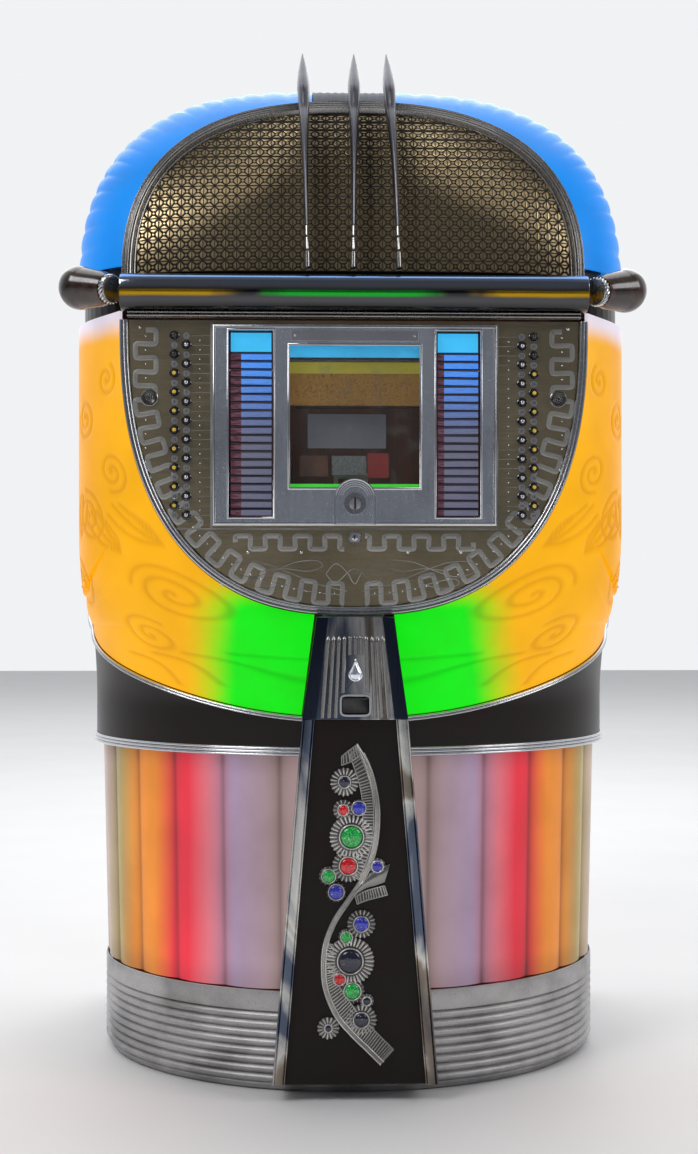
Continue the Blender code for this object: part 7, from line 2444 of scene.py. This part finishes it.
class JUKEBOX_OT_works(bpy.types.Operator):
    """Make the works inside: records, turntable, gripper, amplifier and speaker"""

    bl_idname = "jukebox.works"
    bl_label = "Works inside"

    def execute(self, context):
        for node, look, bevel in (
            ("mechanism_frame", "cast", 0.0010), ("record_magazine", "steel", 0.0008),
            ("gripper_carriage", "cast", 0.0012), ("gripper_arm", "steel", 0.0008),
            ("amplifier", "grey_paint", 0.0010),
            ("coin_mechanism", "grey_paint", 0.0006), ("cash_box", "grey_paint", 0.0008),
            ("tonearm", "brown", 0.0010), ("drive_motor", "grey_paint", 0.0010),
            ("floor_board", "board", 0.0008),
            ("mechanism_shelf", "board", 0.0010), ("speaker_baffle", "board", 0.0008),
        ):
            refined(node, look, bevel)
        self.records()
        self.turntable()
        self.speaker()
        return {"FINISHED"}

    def records(self):
        """Twenty thin records side by side, each with a paper label."""
        low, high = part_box("records")
        radius = (high.z - low.z) / 2
        disc = Solid().turned([(0.0, 0.0012), (radius * 0.36, 0.0012), (radius * 0.37, 0.0009),
                               (radius * 0.985, 0.0009),
                               (radius, 0.0), (radius * 0.985, -0.0009), (radius * 0.37, -0.0009),
                               (radius * 0.36, -0.0012), (0.0, -0.0012)], (0, 0, 0), (1, 0, 0), 56)
        count = 20
        middle = ((low.y + high.y) / 2, (low.z + high.z) / 2)
        spots = []
        for k in range(count):
            x = low.x + 0.003 + (high.x - low.x - 0.006) * k / (count - 1)
            spots.append(upright(x, *middle))
        repeated("record_stack", disc, spots, "shellac", replaces=("records",))

    def turntable(self):
        """Felt-topped platter with a bright rim and its spindle."""
        low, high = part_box("turntable")
        x, y = (low.x + high.x) / 2, (low.y + high.y) / 2
        radius = (high.x - low.x) / 2
        rim = [(0.0, 0.0066), (radius * 0.97, 0.0066), (radius, 0.0058), (radius, 0.0046),
               (radius * 0.985, 0.0040),
               (radius, 0.0032), (radius, 0.0008), (radius * 0.98, 0.0), (0.0, 0.0)]
        Solid().turned(rim, (x, y, low.z), (0, 0, 1), 90).piece(
            "turntable_platter", "cast", "turntable", "felt", ("turntable",))
        mat = [(0.0, 0.0080), (radius * 0.95, 0.0080), (radius * 0.962, 0.0073), (radius * 0.962, 0.0066),
               (0.0, 0.0066)]
        Solid().turned(mat, (x, y, low.z), (0, 0, 1), 90).piece("turntable_mat", "felt", "turntable", "felt")
        pin = [(0.0, 0.0220), (0.0018, 0.0214), (0.0033, 0.0196), (0.0034, 0.0080), (0.0, 0.0080)]
        Solid().turned(pin, (x, y, low.z), (0, 0, 1), 24).piece(
            "turntable_spindle", "steel", "turntable", "felt")

    def speaker(self):
        """Cone, surround and pressed basket of the loudspeaker."""
        low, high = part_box("speaker")
        centre = (0.0, high.y, (low.z + high.z) / 2)
        radius = (high.x - low.x) / 2
        deep = high.y - low.y
        cone = [(0.0, deep * 0.62), (0.020, deep * 0.61), (0.030, deep * 0.55)]
        for k in range(1, 15):
            share = k / 14
            ripple = 0.0012 * math.sin(share * 22.0)
            cone.append((0.030 + (radius * 0.85 - 0.030) * share,
                         deep * (0.55 + 0.42 * share ** 1.3) + ripple))
        cone += [(radius * 0.90, deep * 0.99), (radius * 0.94, deep * 0.955), (radius * 0.96, deep * 0.94),
                 (radius * 0.96, deep * 0.90), (0.066, deep * 0.34), (0.0, deep * 0.34)]
        Solid().turned(cone, centre, steps=72).piece("speaker_cone", "cone", slot="cone_paper",
                                                     replaces=("speaker",))
        basket = [(0.0, deep * 0.30), (0.061, deep * 0.30), (0.064, deep * 0.26), (0.064, 0.004),
                  (0.060, 0.0),
                  (0.0, 0.0)]
        Solid().turned(basket, centre, steps=48).piece("speaker_magnet", "grey_paint", slot="cone_paper")


# ---------------------------------------------------------------------------
# Stage
# ---------------------------------------------------------------------------

class JUKEBOX_OT_stage(bpy.types.Operator):
    """Make the floor, the soft studio lights and the camera"""

    bl_idname = "jukebox.stage"
    bl_label = "Stage"

    def execute(self, context):
        floor = Solid().block((-14.0, -14.0, -0.02), (14.0, 14.0, 0.0))
        ground = bpy.data.objects.new("studio_floor", floor.mesh("studio_floor"))
        context.scene.collection.objects.link(ground)
        ground.data.materials.append(finish("floor"))
        self.lamp("key", (-2.6, -2.4, 3.6), 1.6, 62.0)
        self.lamp("fill", (3.2, -1.8, 2.6), 1.4, 30.0)
        self.lamp("back", (0.4, 3.4, 3.2), 2.4, 26.0)
        self.lamp("top", (0.0, 3.5, 7.0), 9.0, 330.0)
        self.surroundings(context)
        context.scene.view_settings.view_transform = "Standard"
        self.camera(context)
        return {"FINISHED"}

    def surroundings(self, context):
        """A room that is pale behind the machine and dim in front of it."""
        world = bpy.data.worlds.new("studio")
        context.scene.world = world
        world.use_nodes = True
        wiring = Wiring(world.node_tree)
        place = wiring.node("ShaderNodeTexCoord", {}, {})
        split = wiring.node("ShaderNodeSeparateXYZ", {}, {"Vector": place.outputs["Generated"]})
        height = Number(wiring, split.outputs["Z"])
        depth = Number(wiring, split.outputs["Y"]) * 0.5 + 0.5 + height.rise(0.05, 0.30) * 0.10
        shades = [
            (0.0, (0.09, 0.095, 0.11)), (0.08, (0.17, 0.175, 0.19)), (0.30, (0.10, 0.105, 0.12)),
            (0.55, (0.36, 0.36, 0.38)),
            (0.80, (0.86, 0.87, 0.89)), (1.0, (0.88, 0.89, 0.91)),
        ]
        ramp = wiring.node("ShaderNodeValToRGB", {"stops": shades}, {"Fac": depth})
        sky = wiring.node("ShaderNodeBackground", {}, {"Color": ramp.outputs["Color"], "Strength": 1.0})
        wiring.node("ShaderNodeOutputWorld", {}, {"Surface": sky.outputs["Background"]})

    def lamp(self, name, place, size, power):
        """A square soft light aimed at the middle of the machine."""
        light = bpy.data.lights.new(name, "AREA")
        light.size = size
        light.energy = power
        lamp = bpy.data.objects.new(name, light)
        lamp.location = place
        lamp.rotation_euler = (Vector((0.0, 0.0, 0.9)) - Vector(place)).to_track_quat("-Z", "Y").to_euler()
        bpy.context.scene.collection.objects.link(lamp)

    def camera(self, context):
        """A camera just left of the middle, level with the door."""
        lens = bpy.data.cameras.new("camera")
        lens.sensor_fit = "VERTICAL"
        lens.sensor_height = 36.0
        lens.sensor_width = 36.0
        lens.lens = 46.26
        lens.shift_y = 0.02
        camera = bpy.data.objects.new("camera", lens)
        camera.location = (-0.071, -2.674, 0.792)
        camera.rotation_euler = (math.radians(90.0), 0.0, math.radians(-1.5))
        context.scene.collection.objects.link(camera)
        context.scene.camera = camera


# ---------------------------------------------------------------------------
# Panel and registration
# ---------------------------------------------------------------------------

OPERATORS = (
    JUKEBOX_OT_base,
    JUKEBOX_OT_lower_plastics,
    JUKEBOX_OT_waist,
    JUKEBOX_OT_upper_plastics,
    JUKEBOX_OT_dome,
    JUKEBOX_OT_grille,
    JUKEBOX_OT_fins,
    JUKEBOX_OT_visor,
    JUKEBOX_OT_door,
    JUKEBOX_OT_buttons,
    JUKEBOX_OT_bezel,
    JUKEBOX_OT_coin_entry,
    JUKEBOX_OT_pillar,
    JUKEBOX_OT_ornament,
    JUKEBOX_OT_cabinet,
    JUKEBOX_OT_works,
    JUKEBOX_OT_stage,
)


class JUKEBOX_PT_pieces(bpy.types.Panel):
    """Sidebar panel that lists the jukebox's pieces and settings"""

    bl_idname = "JUKEBOX_PT_pieces"
    bl_label = "Jukebox"
    bl_space_type = "VIEW_3D"
    bl_region_type = "UI"
    bl_category = "Jukebox"

    def draw(self, context):
        for group in (context.scene.jukebox_sizes, context.scene.jukebox_colours):
            box = self.layout.box()
            for key in group.__annotations__:
                box.prop(group, key)
        for operator in OPERATORS:
            self.layout.operator(operator.bl_idname)


CLASSES = (JukeboxColours, JukeboxSizes, *OPERATORS, JUKEBOX_PT_pieces)


def register():
    for made in CLASSES:
        bpy.utils.register_class(made)
    bpy.types.Scene.jukebox_colours = PointerProperty(type=JukeboxColours)
    bpy.types.Scene.jukebox_sizes = PointerProperty(type=JukeboxSizes)


def unregister():
    del bpy.types.Scene.jukebox_sizes
    del bpy.types.Scene.jukebox_colours
    for made in reversed(CLASSES):
        bpy.utils.unregister_class(made)


def main():
    """Make every piece in order."""
    register()
    for operator in OPERATORS:
        family, name = operator.bl_idname.split(".")
        getattr(getattr(bpy.ops, family), name)()


if __name__ == "__main__":
    main()
